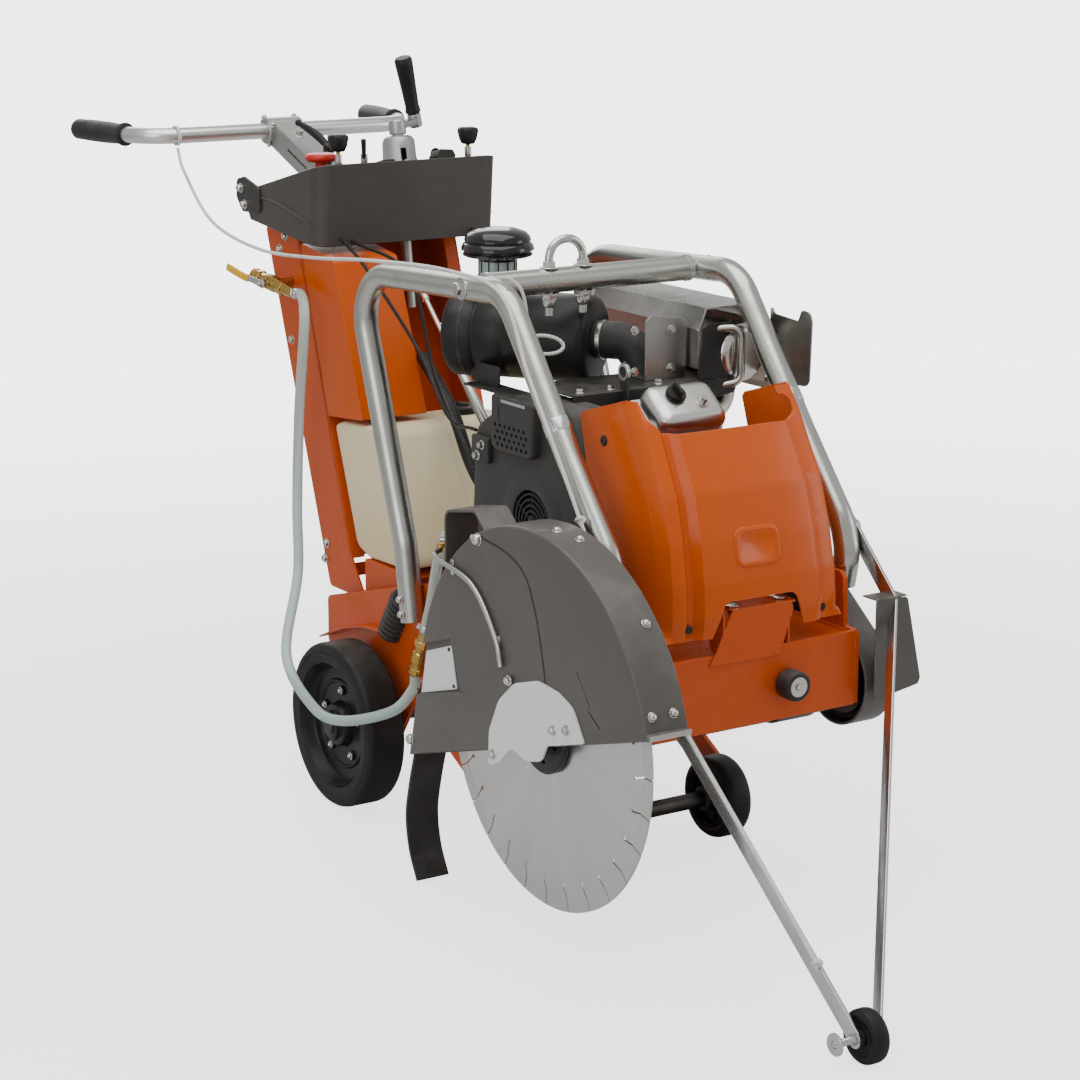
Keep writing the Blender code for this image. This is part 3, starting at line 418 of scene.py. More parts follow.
def makeSkin(name, look):
    material, tree, shader, vector = startMaterial(name, look["rough"], 0.0, look["coat"])
    handled = useGroup(tree, handledGroup, vector, Patch_Scale=7.0, Scratch_Scale=70.0)
    edges = useGroup(tree, edgeGroup, vector, Amount=look["wear"])
    dust = useGroup(tree, dustGroup, vector, Amount=look["dust"])
    grain = useGroup(tree, grainGroup, vector, Grain_Size=look["grain"])
    colour = blendColour(tree, handled.outputs["Cloud"], look["colour"], look["shade"])
    colour = blendColour(tree, edges.outputs["Mask"], colour, look["worn"])
    colour = blendColour(tree, dust.outputs["Mask"], colour, (0.46, 0.43, 0.39))
    tree.links.new(colour, shader.inputs["Base Color"])
    rough = times(tree, handled.outputs["Cloud"], look["spread"])
    rough = plus(tree, rough, look["rough"] - look["spread"] / 2)
    rough = plus(tree, rough, times(tree, dust.outputs["Mask"], 0.4))
    rough = plus(tree, rough, times(tree, handled.outputs["Scratches"], 0.06), clamp=True)
    tree.links.new(rough, shader.inputs["Roughness"])
    addBump(tree, shader, grain.outputs["Height"], look["depth"])
    return material


# bare and plated metals: drawn lines, stains, worn edges
metals = {
    "zincTube": {"colour": (0.6, 0.6, 0.56), "shade": (0.4, 0.4, 0.36), "rough": 0.3, "spread": 0.16,
        "stretch": (1, 1, 1), "lines": 42.0, "depth": 0.00003, "wear": 0.2},
    "zincPlate": {"colour": (0.72, 0.74, 0.74), "shade": (0.52, 0.54, 0.53), "rough": 0.26, "spread": 0.2,
        "stretch": (1, 0.2, 0.2), "lines": 120.0, "depth": 0.00003, "wear": 0.2},
    "boltZinc": {"colour": (0.74, 0.73, 0.7), "shade": (0.46, 0.45, 0.42), "rough": 0.22, "spread": 0.18,
        "stretch": (1, 1, 1), "lines": 160.0, "depth": 0.00002, "wear": 0.3},
    "aluTube": {"colour": (0.8, 0.79, 0.76), "shade": (0.66, 0.65, 0.62), "rough": 0.3, "spread": 0.1,
        "stretch": (0.05, 1, 1), "lines": 260.0, "depth": 0.00002, "wear": 0.2},
    "castAluminium": {"colour": (0.52, 0.52, 0.5), "shade": (0.4, 0.4, 0.385), "rough": 0.42,
        "spread": 0.16, "stretch": (1, 1, 1), "lines": 420.0, "depth": 0.00012, "wear": 0.6},
    "brightCast": {"colour": (0.78, 0.77, 0.74), "shade": (0.55, 0.53, 0.49), "rough": 0.34, "spread": 0.18,
        "stretch": (1, 1, 1), "lines": 300.0, "depth": 0.00008, "wear": 0.4},
    "mufflerSteel": {"colour": (0.76, 0.75, 0.72), "shade": (0.5, 0.47, 0.42), "rough": 0.24,
        "spread": 0.22, "stretch": (1, 0.08, 1), "lines": 220.0, "depth": 0.00003, "wear": 0.2},
    "guardSteel": {"colour": (0.7, 0.7, 0.68), "shade": (0.48, 0.47, 0.44), "rough": 0.3, "spread": 0.2,
        "stretch": (1, 0.06, 1), "lines": 240.0, "depth": 0.00003, "wear": 0.2},
    "warmSteel": {"colour": (0.46, 0.45, 0.43), "shade": (0.32, 0.31, 0.29), "rough": 0.34, "spread": 0.22,
        "stretch": (1, 0.3, 1), "lines": 160.0, "depth": 0.00004, "wear": 0.3},
    "brass": {"colour": (0.58, 0.37, 0.1), "shade": (0.4, 0.23, 0.05), "rough": 0.22, "spread": 0.2,
        "stretch": (1, 1, 1), "lines": 200.0, "depth": 0.00003, "wear": 0.4},
    "axleSteel": {"colour": (0.1, 0.095, 0.09), "shade": (0.055, 0.05, 0.045), "rough": 0.34, "spread": 0.2,
        "stretch": (0.05, 1, 1), "lines": 200.0, "depth": 0.00003, "wear": 0.5},
    "guardEdge": {"colour": (0.62, 0.61, 0.58), "shade": (0.42, 0.41, 0.39), "rough": 0.3, "spread": 0.18,
        "stretch": (1, 1, 0.2), "lines": 200.0, "depth": 0.00003, "wear": 0.2},
}


def makeMetal(name, look):
    material, tree, shader, vector = startMaterial(name, look["rough"], 1.0)
    drawn = useGroup(tree, brushedGroup, vector, Stretch=look["stretch"], Line_Scale=look["lines"])
    edges = useGroup(tree, edgeGroup, vector, Amount=look["wear"])
    dust = useGroup(tree, dustGroup, vector, Amount=0.08)
    mixed = times(tree, drawn.outputs["Lines"], 0.45)
    mixed = plus(tree, mixed, times(tree, drawn.outputs["Stains"], 0.55))
    colour = blendColour(tree, mixed, look["colour"], look["shade"])
    bright = tuple(min(1.0, part * 1.25) for part in look["colour"])
    colour = blendColour(tree, edges.outputs["Mask"], colour, bright)
    colour = blendColour(tree, dust.outputs["Mask"], colour, (0.46, 0.43, 0.39))
    tree.links.new(colour, shader.inputs["Base Color"])
    rough = times(tree, mixed, look["spread"])
    rough = plus(tree, rough, look["rough"] - look["spread"] / 2)
    rough = plus(tree, rough, times(tree, dust.outputs["Mask"], 0.5), clamp=True)
    tree.links.new(rough, shader.inputs["Roughness"])
    addBump(tree, shader, drawn.outputs["Lines"], look["depth"])
    return material


def makeBladeSteel():
    # ground disc: rings round the blade's own centre, a paler rim, faint cloudy stains and a painted
    # reflection, lighter sectors that fan round the centre
    material, tree, shader, vector = startMaterial("groundBlade", 0.27, 1.0)
    shift = node(tree, "VectorMath", operation="SUBTRACT")
    tree.links.new(vector, shift.inputs[0])
    shift.inputs[1].default_value = shaft
    length = node(tree, "VectorMath", operation="LENGTH")
    parts = node(tree, "SeparateXYZ")
    tree.links.new(shift.outputs[0], parts.inputs[0])
    flat = node(tree, "CombineXYZ")
    tree.links.new(parts.outputs["Y"], flat.inputs["Y"])
    tree.links.new(parts.outputs["Z"], flat.inputs["Z"])
    tree.links.new(flat.outputs[0], length.inputs[0])
    radius = length.outputs["Value"]
    ringAt = node(tree, "CombineXYZ")
    tree.links.new(radius, ringAt.inputs["X"])
    rings = noise(tree, ringAt.outputs[0], 900.0, 3.0, 0.7)
    cloud = noise(tree, vector, 11.0, 4.0)
    angle = maths(tree, "ARCTAN2", parts.outputs["Z"], parts.outputs["Y"])
    # painted reflection: lighter sectors fanning round the centre stand in for light caught by the ground
    # steel
    reflectionFanAt = node(tree, "CombineXYZ")
    tree.links.new(times(tree, angle, 1.3), reflectionFanAt.inputs["X"])
    fan = noise(tree, reflectionFanAt.outputs[0], 2.0, 2.0)
    rim = ramp(tree, radius, 0.2285, 0.2295)
    mixed = plus(tree, times(tree, rings, 0.5), times(tree, cloud, 0.5))
    colour = blendColour(tree, mixed, (0.74, 0.74, 0.73), (0.54, 0.54, 0.53))
    # the lighter colour mixed in here is the painted fan reflection
    colour = blendColour(tree, times(tree, ramp(tree, fan, 0.35, 0.7), 0.4), colour, (0.78, 0.77, 0.75))
    colour = blendColour(tree, times(tree, rim, 0.5), colour, (0.66, 0.65, 0.62))
    tree.links.new(colour, shader.inputs["Base Color"])
    rough = plus(tree, times(tree, mixed, 0.14), times(tree, rim, 0.16))
    rough = plus(tree, rough, 0.2)
    tree.links.new(rough, shader.inputs["Roughness"])
    grit = noise(tree, vector, 900.0, 2.0)
    height = plus(tree, times(tree, rings, 0.25), times(tree, grit, rim))
    addBump(tree, shader, height, 0.00006)
    return material


def makeTankPlastic():
    # blow-moulded natural plastic: light goes in, and the colour turns darker and deeper towards the bottom
    material, tree, shader, vector = startMaterial("naturalTank", 0.42)
    put(shader, "Subsurface Weight", 0.35)
    put(shader, "Subsurface Radius", (0.022, 0.014, 0.007))
    put(shader, "Subsurface Scale", 0.6)
    handled = useGroup(tree, handledGroup, vector, Patch_Scale=4.0, Scratch_Scale=50.0)
    edges = useGroup(tree, edgeGroup, vector, Amount=0.3)
    parts = node(tree, "SeparateXYZ")
    tree.links.new(vector, parts.inputs[0])
    # darker, deeper colour towards the bottom of the tank
    deep = ramp(tree, parts.outputs["Z"], 0.56, 0.38)
    colour = blendColour(tree, handled.outputs["Cloud"], (0.86, 0.76, 0.52), (0.8, 0.69, 0.44))
    colour = blendColour(tree, times(tree, deep, 0.5), colour, (0.76, 0.6, 0.32))
    colour = blendColour(tree, edges.outputs["Mask"], colour, (0.92, 0.86, 0.7))
    tree.links.new(colour, shader.inputs["Base Color"])
    rough = plus(tree, times(tree, handled.outputs["Cloud"], 0.2), 0.32)
    tree.links.new(rough, shader.inputs["Roughness"])
    grain = useGroup(tree, grainGroup, vector, Grain_Size=0.0022)
    addBump(tree, shader, grain.outputs["Height"], 0.00012)
    return material


def makeClearHose():
    # soft clear tube with a green cast
    material, tree, shader, vector = startMaterial("clearHose", 0.16, ior=1.42)
    put(shader, "Transmission Weight", 0.55)
    cloud = noise(tree, vector, 22.0, 3.0)
    colour = blendColour(tree, cloud, (0.8, 0.93, 0.89), (0.62, 0.8, 0.75))
    tree.links.new(colour, shader.inputs["Base Color"])
    rough = plus(tree, times(tree, cloud, 0.16), 0.12)
    tree.links.new(rough, shader.inputs["Roughness"])
    addBump(tree, shader, noise(tree, vector, 160.0, 2.0), 0.00008)
    return material


def makeRopeFibre():
    material, tree, shader, vector = startMaterial("whiteRope", 0.72)
    put(shader, "Sheen Weight", 0.25)
    fibre = noise(tree, vector, 900.0, 3.0, 0.7)
    soil = noise(tree, vector, 18.0, 4.0)
    colour = blendColour(tree, fibre, (0.86, 0.85, 0.82), (0.66, 0.65, 0.61))
    colour = blendColour(tree, ramp(tree, soil, 0.5, 0.8), colour, (0.52, 0.49, 0.44))
    tree.links.new(colour, shader.inputs["Base Color"])
    addBump(tree, shader, fibre, 0.0003)
    return material


paint = {name: makeSkin(name, look) for name, look in skins.items()}
paint.update({name: makeMetal(name, look) for name, look in metals.items()})
paint["groundBlade"] = makeBladeSteel()
paint["naturalTank"] = makeTankPlastic()
paint["clearHose"] = makeClearHose()
paint["whiteRope"] = makeRopeFibre()
print("finishes made:", len(paint))


# modelling tools
def addTo(target, source):
    mesh = bpy.data.meshes.new("passing")
    source.to_mesh(mesh)
    source.free()
    target.from_mesh(mesh)
    bpy.data.meshes.remove(mesh)
    return target


def joined(*shapes):
    first = shapes[0]
    for other in shapes[1:]:
        addTo(first, other)
    return first


def combine(shape, other, operation="DIFFERENCE"):
    holders = []
    for source in (shape, other):
        bmesh.ops.recalc_face_normals(source, faces=source.faces)
        mesh = bpy.data.meshes.new("working")
        source.to_mesh(mesh)
        source.free()
        holder = bpy.data.objects.new("working", mesh)
        looks.objects.link(holder)
        holders.append(holder)
    step = holders[0].modifiers.new("step", "BOOLEAN")
    step.operation = operation
    step.object = holders[1]
    step.solver = "EXACT"
    graph = bpy.context.evaluated_depsgraph_get()
    result = bmesh.new()
    result.from_object(holders[0], graph)
    for holder in holders:
        mesh = holder.data
        bpy.data.objects.remove(holder, do_unlink=True)
        bpy.data.meshes.remove(mesh)
    return result


def softened(shape, width, segments=2, angle=30):
    edges = []
    for edge in shape.edges:
        if len(edge.link_faces) == 2 and edge.calc_face_angle(0) > radians(angle):
            edges.append(edge)
    bmesh.ops.bevel(shape, geom=edges, offset=width, segments=segments, profile=0.5, affect="EDGES",
        clamp_overlap=True)
    return shape


def piece(name, shape, finish, body="root", nodes=(), bevel=0.0, segments=2, sharp=38,
        subdivide=0):
    bmesh.ops.recalc_face_normals(shape, faces=shape.faces)
    mesh = bpy.data.meshes.new(name)
    shape.to_mesh(mesh)
    shape.free()
    made = bpy.data.objects.new(name, mesh)
    looks.objects.link(made)
    made.location = machine
    for one in ([finish] if isinstance(finish, str) else finish):
        mesh.materials.append(paint[one])
    mesh.shade_smooth()
    if bevel:
        edge = made.modifiers.new("edge", "BEVEL")
        edge.width = bevel
        edge.segments = segments
        edge.limit_method = "ANGLE"
        edge.angle_limit = radians(32)
        edge.harden_normals = True
    else:
        mesh.set_sharp_from_angle(angle=radians(sharp))
    if subdivide:
        fine = made.modifiers.new("smooth", "SUBSURF")
        fine.levels = fine.render_levels = subdivide
    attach(made, body)
    if nodes:
        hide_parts(*nodes)
    return made


def roundedPath(corners, radius, steps=6):
    corners = [Vector(corner) for corner in corners]
    path = [corners[0]]
    for before, corner, after in zip(corners, corners[1:], corners[2:]):
        one, two = (before - corner).normalized(), (after - corner).normalized()
        half = one.angle(two) / 2
        room = min((before - corner).length, (after - corner).length) * 0.49
        back = min(radius / tan(half), room)
        arc = back * tan(half)
        middle = corner + (one + two).normalized() * (arc / sin(half))
        first, last = corner + one * back - middle, corner + two * back - middle
        for step in range(steps + 1):
            path.append(middle + first.slerp(last, step / steps).normalized() * arc)
    path.append(corners[-1])
    return path


def smoothPath(knots, perSpan=8):
    knots = [Vector(knot) for knot in knots]
    ends = [knots[0] * 2 - knots[1], *knots, knots[-1] * 2 - knots[-2]]
    path = []
    for a, b, c, d in zip(ends, ends[1:], ends[2:], ends[3:]):
        for step in range(perSpan):
            t = step / perSpan
            path.append(0.5 * (2 * b + (c - a) * t + (2 * a - 5 * b + 4 * c - d) * t * t
                + (3 * b - a - 3 * c + d) * t ** 3))
    path.append(knots[-1])
    return path


def roundedOutline(points, radius, steps=5):
    # closed outline with each corner turned on an arc; radius is one value, or one for each corner
    count = len(points)
    radii = radius if isinstance(radius, (list, tuple)) else [radius] * count
    made = []
    for i in range(count):
        before, corner, after = (Vector((*points[(i + k) % count], 0)) for k in (-1, 0, 1))
        if radii[i] <= 0:
            made.append((corner.x, corner.y))
            continue
        one, two = (before - corner).normalized(), (after - corner).normalized()
        half = max(one.angle(two) / 2, 0.02)
        if half > pi / 2 - 0.01:
            made.append((corner.x, corner.y))
            continue
        room = min((before - corner).length, (after - corner).length) * 0.48
        back = min(radii[i] / tan(half), room)
        arc = back * tan(half)
        middle = corner + (one + two).normalized() * (arc / sin(half))
        first, last = corner + one * back - middle, corner + two * back - middle
        for step in range(steps + 1):
            spot = middle + first.slerp(last, step / steps).normalized() * arc
            made.append((spot.x, spot.y))
    return made


def arc(centre, radius, first, last, count):
    return [(centre[0] + radius * cos(radians(first + (last - first) * i / (count - 1))),
        centre[1] + radius * sin(radians(first + (last - first) * i / (count - 1)))) for i in range(count)]


def sheet(outline, low, high, plane="X"):
    # flat piece: an outline across one axis, from low to high along it
    order = {"X": lambda u, v, w: (w, u, v), "Y": lambda u, v, w: (u, w, v), "Z": lambda u, v,
        w: (u, v, w)}[plane]
    shape = bmesh.new()
    one = [shape.verts.new(order(u, v, low)) for u, v in outline]
    two = [shape.verts.new(order(u, v, high)) for u, v in outline]
    shape.faces.new(one)
    shape.faces.new(two[::-1])
    count = len(outline)
    for i in range(count):
        j = (i + 1) % count
        shape.faces.new((one[j], one[i], two[i], two[j]))
    bmesh.ops.recalc_face_normals(shape, faces=shape.faces)
    return shape


def block(low, high, turn=None, about=None):
    shape = bmesh.new()
    bmesh.ops.create_cube(shape, size=1.0)
    low, high = Vector(low), Vector(high)
    bmesh.ops.scale(shape, vec=high - low, verts=shape.verts)
    bmesh.ops.translate(shape, vec=(low + high) / 2, verts=shape.verts)
    if turn is not None:
        spot = (low + high) / 2 if about is None else Vector(about)
        bmesh.ops.rotate(shape, cent=spot, matrix=turn, verts=shape.verts)
    return shape


def facing(direction):
    # rotation that takes +z to the direction
    return Vector(direction).normalized().to_track_quat("Z", "Y").to_matrix()


def turned(profile, place, direction=(1, 0, 0), steps=48):
    # profile of (radius, height along the direction), closed by itself where it leaves the axis
    shape = bmesh.new()
    rings = []
    turn = facing(direction)
    place = Vector(place)
    for radius, height in profile:
        if radius < 1e-7:
            rings.append([shape.verts.new(place + turn @ Vector((0, 0, height)))])
            continue
        ring = []
        for i in range(steps):
            angle = 2 * pi * i / steps
            spot = Vector((radius * cos(angle), radius * sin(angle), height))
            ring.append(shape.verts.new(place + turn @ spot))
        rings.append(ring)
    closed = len(rings[0]) > 1 and len(rings[-1]) > 1
    pairs = list(zip(rings, rings[1:]))
    if closed:
        pairs.append((rings[-1], rings[0]))
    for one, two in pairs:
        for i in range(steps):
            j = (i + 1) % steps
            corners = [one[i % len(one)], one[j % len(one)], two[j % len(two)], two[i % len(two)]]
            kept = [corner for k, corner in enumerate(corners) if corner not in corners[:k]]
            if len(kept) > 2:
                shape.faces.new(kept)
    bmesh.ops.recalc_face_normals(shape, faces=shape.faces)
    return shape


def swept(path, radius, sides=24, section=None, caps=True, twist=0.0):
    # tube along a path; radius may be a function of the share of the way, section an outline
    path = [Vector(spot) for spot in path]
    shape = bmesh.new()
    way = (path[1] - path[0]).normalized()
    side = way.orthogonal().normalized() if section is None else way.cross(Vector((0, 0, 1))).normalized()
    if side.length < 0.5:
        side = Vector((1, 0, 0))
    rings = []
    total = len(path) - 1
    for i, spot in enumerate(path):
        new = (path[min(i + 1, total)] - path[max(i - 1, 0)]).normalized()
        turn = way.rotation_difference(new)
        side = (turn @ side).normalized()
        way = new
        up = way.cross(side)
        size = radius(i / total) if callable(radius) else radius
        ring = []
        if section is None:
            for k in range(sides):
                angle = 2 * pi * k / sides + twist * i
                ring.append(shape.verts.new(spot + (side * cos(angle) + up * sin(angle)) * size))
        else:
            for u, v in section:
                ring.append(shape.verts.new(spot + (side * u + up * v) * size))
        rings.append(ring)
    count = len(rings[0])
    for one, two in zip(rings, rings[1:]):
        for k in range(count):
            shape.faces.new((one[k], one[(k + 1) % count], two[(k + 1) % count], two[k]))
    if caps:
        shape.faces.new(rings[0][::-1])
        shape.faces.new(rings[-1])
    bmesh.ops.recalc_face_normals(shape, faces=shape.faces)
    return shape


def straight(start, end, radius, sides=24, endRadius=None, chamfer=0.0):
    # round bar with chamfered ends
    start, end = Vector(start), Vector(end)
    length = (end - start).length
    last = radius if endRadius is None else endRadius
    profile = [(0, 0), (radius - chamfer, 0), (radius, chamfer), (last, length - chamfer),
        (last - chamfer, length), (0, length)]
    if chamfer == 0:
        profile = [(0, 0), (radius, 0), (last, length), (0, length)]
    return turned(profile, start, end - start, sides)


def plug(radius, low, high):
    # outline of a plain round bar for turned()
    return [(0, low), (radius, low), (radius, high), (0, high)]


def hexHead(place, direction, across, height, washer=None, dome=False, socket=False):
    # bolt head on its washer; place is on the surface that it clamps
    place, direction = Vector(place), Vector(direction).normalized()
    radius = across / sqrt(3)
    base = 0.0
    shapes = []
    if washer:
        base = 0.0016
        shapes.append(turned([(0, 0), (washer, 0), (washer, base * 0.7), (washer - 0.0006, base),
            (0, base)], place, direction, 24))
    if dome:
        profile = [(0, base), (radius, base), (radius, base + height * 0.25)]
        profile += [(radius * cos(a), base + height * (0.25 + 0.75 * sin(a)))
            for a in (0.35, 0.7, 1.05)] + [(0, base + height)]
        if socket:
            profile[-1:] = [(radius * 0.42, base + height * 0.97), (radius * 0.4, base + height * 0.5),
                (0, base + height * 0.5)]
        shapes.append(turned(profile, place, direction, 20))
    else:
        steps = 6
        profile = [(0, base), (radius, base), (radius, base + height * 0.86), (radius * 0.9, base + height),
            (0, base + height)]
        shapes.append(turned(profile, place, direction, steps))
    return joined(*shapes)


def nutOnThread(place, direction, across, height, thread, reach, washer=None):
    place, direction = Vector(place), Vector(direction).normalized()
    shape = hexHead(place, direction, across, height, washer)
    base = place + direction * height
    return addTo(shape, straight(base, base + direction * reach, thread, 16, chamfer=thread * 0.3))


def jointPlace(name):
    found = next(joint for joint in frame["joints"] if joint["name"] == name)
    return Vector(found["pos_m"]) - machine


makeCamera()
makeStudio()
print("camera and studio made")


# cords: the routes are the same as in the part's source
valveHead = Vector((-0.19, 0.392, 0.806))
valveWay = Vector((0.01, -0.15, -0.02)).normalized()
couplingLow, couplingHigh = Vector((-0.238, -0.215, 0.2655)), Vector((-0.233, -0.235, 0.335))
couplingWay = (couplingHigh - couplingLow).normalized()

hoses = {
    "outer": 0.0085,
    "supply": [valveHead + valveWay * 0.1275, valveHead + valveWay * 0.1525, (-0.196, 0.205, 0.745),
        (-0.198, 0.225, 0.6), (-0.2, 0.235, 0.44), (-0.212, 0.215, 0.33), (-0.286, 0.12, 0.225),
        (-0.3, 0.01, 0.17), (-0.3, -0.085, 0.168), (-0.262, -0.178, 0.2), couplingLow - couplingWay * 0.028,
        couplingLow - couplingWay * 0.0012],
    "guard": [couplingHigh + couplingWay * 0.0012, couplingHigh + couplingWay * 0.025,
        (-0.233, -0.258, 0.395), (-0.24, -0.285, 0.45), (-0.262, -0.345, 0.508), (-0.29, -0.395, 0.525),
        (-0.318, -0.432, 0.523)],
}
ropes = {
    "radius": 0.003,
    "pitch": 0.017,
    "upper": [(-0.205, 0.64, 0.996), (-0.213, 0.6, 0.96), (-0.222, 0.48, 0.888), (-0.228, 0.3, 0.862),
        (-0.229, 0.12, 0.868), (-0.229, -0.08, 0.886), (-0.2285, -0.3, 0.897), (-0.2285, -0.45, 0.88),
        (-0.2355, -0.53, 0.78), (-0.2365, -0.62, 0.66), (-0.2365, -0.69, 0.56)],
    "lower": [(-0.2437, -0.6918, 0.5575), (-0.2437, -0.84, 0.43), (-0.237, -0.98, 0.31),
        (-0.221, -1.1, 0.19), (-0.213, -1.175, 0.115)],
}


def evenly(path, gap):
    # the same line with points a fixed distance apart
    made, left = [path[0].copy()], gap
    for one, two in zip(path, path[1:]):
        length = (two - one).length
        at = left
        while at < length:
            made.append(one.lerp(two, at / length))
            at += gap
        left = at - length
    if (made[-1] - path[-1]).length > gap * 0.3:
        made.append(path[-1].copy())
    return made


def ropeAlong(path, radius, pitch, gap=0.0016):
    # three strands laid round each other
    spots = evenly(path, gap)
    shape = bmesh.new()
    way = (spots[1] - spots[0]).normalized()
    side = way.orthogonal().normalized()
    rings = []
    for i, spot in enumerate(spots):
        new = (spots[min(i + 1, len(spots) - 1)] - spots[max(i - 1, 0)]).normalized()
        side = (way.rotation_difference(new) @ side).normalized()
        way = new
        up = way.cross(side)
        ring = []
        for k in range(15):
            angle = 2 * pi * k / 15
            lobe = radius * (0.8 + 0.2 * abs(cos(1.5 * angle)) ** 0.7)
            turn = angle + 2 * pi * i * gap / pitch
            ring.append(shape.verts.new(spot + (side * cos(turn) + up * sin(turn)) * lobe))
        rings.append(ring)
    for one, two in zip(rings, rings[1:]):
        for k in range(15):
            shape.faces.new((one[k], one[(k + 1) % 15], two[(k + 1) % 15], two[k]))
    shape.faces.new(rings[0][::-1])
    shape.faces.new(rings[-1])
    return shape


def makeHose(name, knots, node):
    path = smoothPath(knots, 8)
    made = piece(name, swept(path, hoses["outer"], 22), "clearHose", "root", [node])


def makeRope(name, knots, node, body):
    path = smoothPath(knots, 8)
    shape = ropeAlong(path, ropes["radius"], ropes["pitch"])
    made = piece(name, shape, "whiteRope", body, [node])


makeHose("supply_hose_tube", hoses["supply"], "supply_hose")
makeHose("guard_hose_tube", hoses["guard"], "guard_hose")
makeRope("cage_rope", ropes["upper"], "rope_upper", "root")
makeRope("pointer_rope", ropes["lower"], "rope_lower", "pointer_body")
print("cords laid")


# handlebar
bar = {
    "place": Vector((0, 0.645, 1.018)),
    "radius": 0.014,
    "slope": 21.5,
    "armWide": 0.052,
    "armThick": 0.042,
    "armLong": 0.27,
    "slotLong": 0.075,
    "gripRadius": 0.0185,
}
armWay = Vector((0, cos(radians(bar["slope"])), sin(radians(bar["slope"]))))
armUp = Vector((0, -armWay.z, armWay.y))


def onArm(x, along, up):
    return bar["place"] + Vector((x, 0, 0)) + armWay * along + armUp * up


def armBlock(low, high):
    shape = block(low, high)
    turn = Matrix((Vector((1, 0, 0)), armWay, armUp)).transposed()
    bmesh.ops.rotate(shape, cent=(0, 0, 0), matrix=turn, verts=shape.verts)
    bmesh.ops.translate(shape, vec=bar["place"], verts=shape.verts)
    return shape


def makeHandlebar():
    y, z = bar["place"].y, bar["place"].z
    path = roundedPath([(-0.292, 0.861, z), (-0.258, y, z), (0.258, y, z), (0.292, 0.861, z)], 0.075, 14)
    piece("handlebar_tube", swept(path, bar["radius"], 32), "aluTube", "handlebar_body", ["handlebar"])
    for side, name in ((-1, "near_grip"), (1, "far_grip")):
        inner, outer = Vector((side * 0.2685, 0.712, z)), Vector((side * 0.2927, 0.866, z))
        length = (outer - inner).length
        r = bar["gripRadius"]
        profile = [(bar["radius"] + 0.0006, 0.0), (r + 0.0005, 0.0), (r + 0.0018, 0.0015),
            (r + 0.0018, 0.0055), (r - 0.0004, 0.008), (r - 0.001, 0.014), (r + 0.0003, 0.055),
            (r + 0.0003, 0.11), (r - 0.0006, length - 0.02), (r - 0.0006, length - 0.008),
            (r - 0.0035, length - 0.0025), (r - 0.008, length), (0.0, length)]
        profile = [(0.0, length - 0.004), (bar["radius"] + 0.0006, length - 0.004)] + profile
        piece(name + "_sleeve", turned(profile, inner, outer - inner, 40), "softRubber", "handlebar_body",
            [name], sharp=50)


def makeArm():
    wide, thick, length = bar["armWide"] / 2, bar["armThick"] / 2, bar["armLong"]
    arm = armBlock((-wide, -length, -thick), (wide, -0.004, thick))
    clampTube = turned([(0, -0.034), (0.0215, -0.034), (0.023, -0.0325), (0.023, 0.0325), (0.0215, 0.034),
        (0, 0.034)], bar["place"], (1, 0, 0), 40)
    arm = combine(arm, clampTube, "UNION")
    arm = combine(arm, armBlock((-0.034, -0.016, -0.0008), (0.034, 0.06, 0.0008)))
    arm = combine(arm, turned(plug(bar["radius"] + 0.0002, -0.08, 0.08), bar["place"], (1, 0, 0), 40))
    for side in (-1, 1):
        low = (min(side * wide, side * (wide - 0.005)), -0.15, -0.0022)
        high = (max(side * (wide + 0.004), side * (wide - 0.005)), -0.15 + bar["slotLong"], 0.0022)
        arm = combine(arm, armBlock((min(low[0], high[0]), low[1], low[2]),
            (max(low[0], high[0]), high[1], high[2])))
    piece("handlebar_arm_casting", arm, "castAluminium", "handlebar_body", ["handlebar_arm"],
        bevel=0.0022, segments=3)
    bolts = bmesh.new()
    for x in (-0.0295, 0.0295):
        for along in (-0.016, 0.016):
            addTo(bolts, hexHead(onArm(x, along, 0.0165), armUp, 0.0075, 0.0055, 0.006, dome=True))
            addTo(bolts, straight(onArm(x, along, -0.021), onArm(x, along, 0.017), 0.0028, 12))
            addTo(bolts, hexHead(onArm(x, along, -0.0165), -armUp, 0.0075, 0.0045, 0.006))
    addTo(bolts, hexHead(onArm(0, -0.062, thick), armUp, 0.013, 0.007, 0.011))
    addTo(bolts, hexHead(onArm(0, -0.225, thick), armUp, 0.01, 0.006, 0.009))
    piece("handlebar_arm_bolts", bolts, "boltZinc", "handlebar_body")


def makeClampLever():
    foot = jointPlace("clamp_lever_turn")
    hub = turned([(0, 0.0), (0.0085, 0.0), (0.0092, 0.002), (0.0092, 0.02), (0.0108, 0.023),
        (0.0108, 0.031), (0.0095, 0.0335), (0, 0.0335)], foot, armUp, 28)
    start = foot + armUp * 0.0265
    end = foot + armUp * 0.046 + Vector((-0.02, 0.08, 0.02))
    middle = start.lerp(end, 0.45) + armUp * 0.004
    grip = swept(smoothPath([start, middle, end], 8), lambda t: 0.0052 + 0.0022 * sin(pi * min(1, t * 1.1)),
        20)
    knob = bmesh.new()
    bmesh.ops.create_uvsphere(knob, u_segments=20, v_segments=12, radius=0.0062)
    bmesh.ops.translate(knob, vec=end, verts=knob.verts)
    lever = combine(combine(hub, grip, "UNION"), knob, "UNION")
    piece("clamp_lever_handle", lever, "blackPlastic", "clamp_lever_body", ["clamp_lever"])


makeHandlebar()
makeArm()
makeClampLever()
print("handlebar made")


# console and controls
console = {
    "profile": [(0.205, 1.002), (0.216, 0.867), (0.45, 0.89), (0.48, 0.935)],
    "left": -0.165,
    "right": 0.18,
    "cornerRadius": 0.03,
    "wall": 0.004,
}


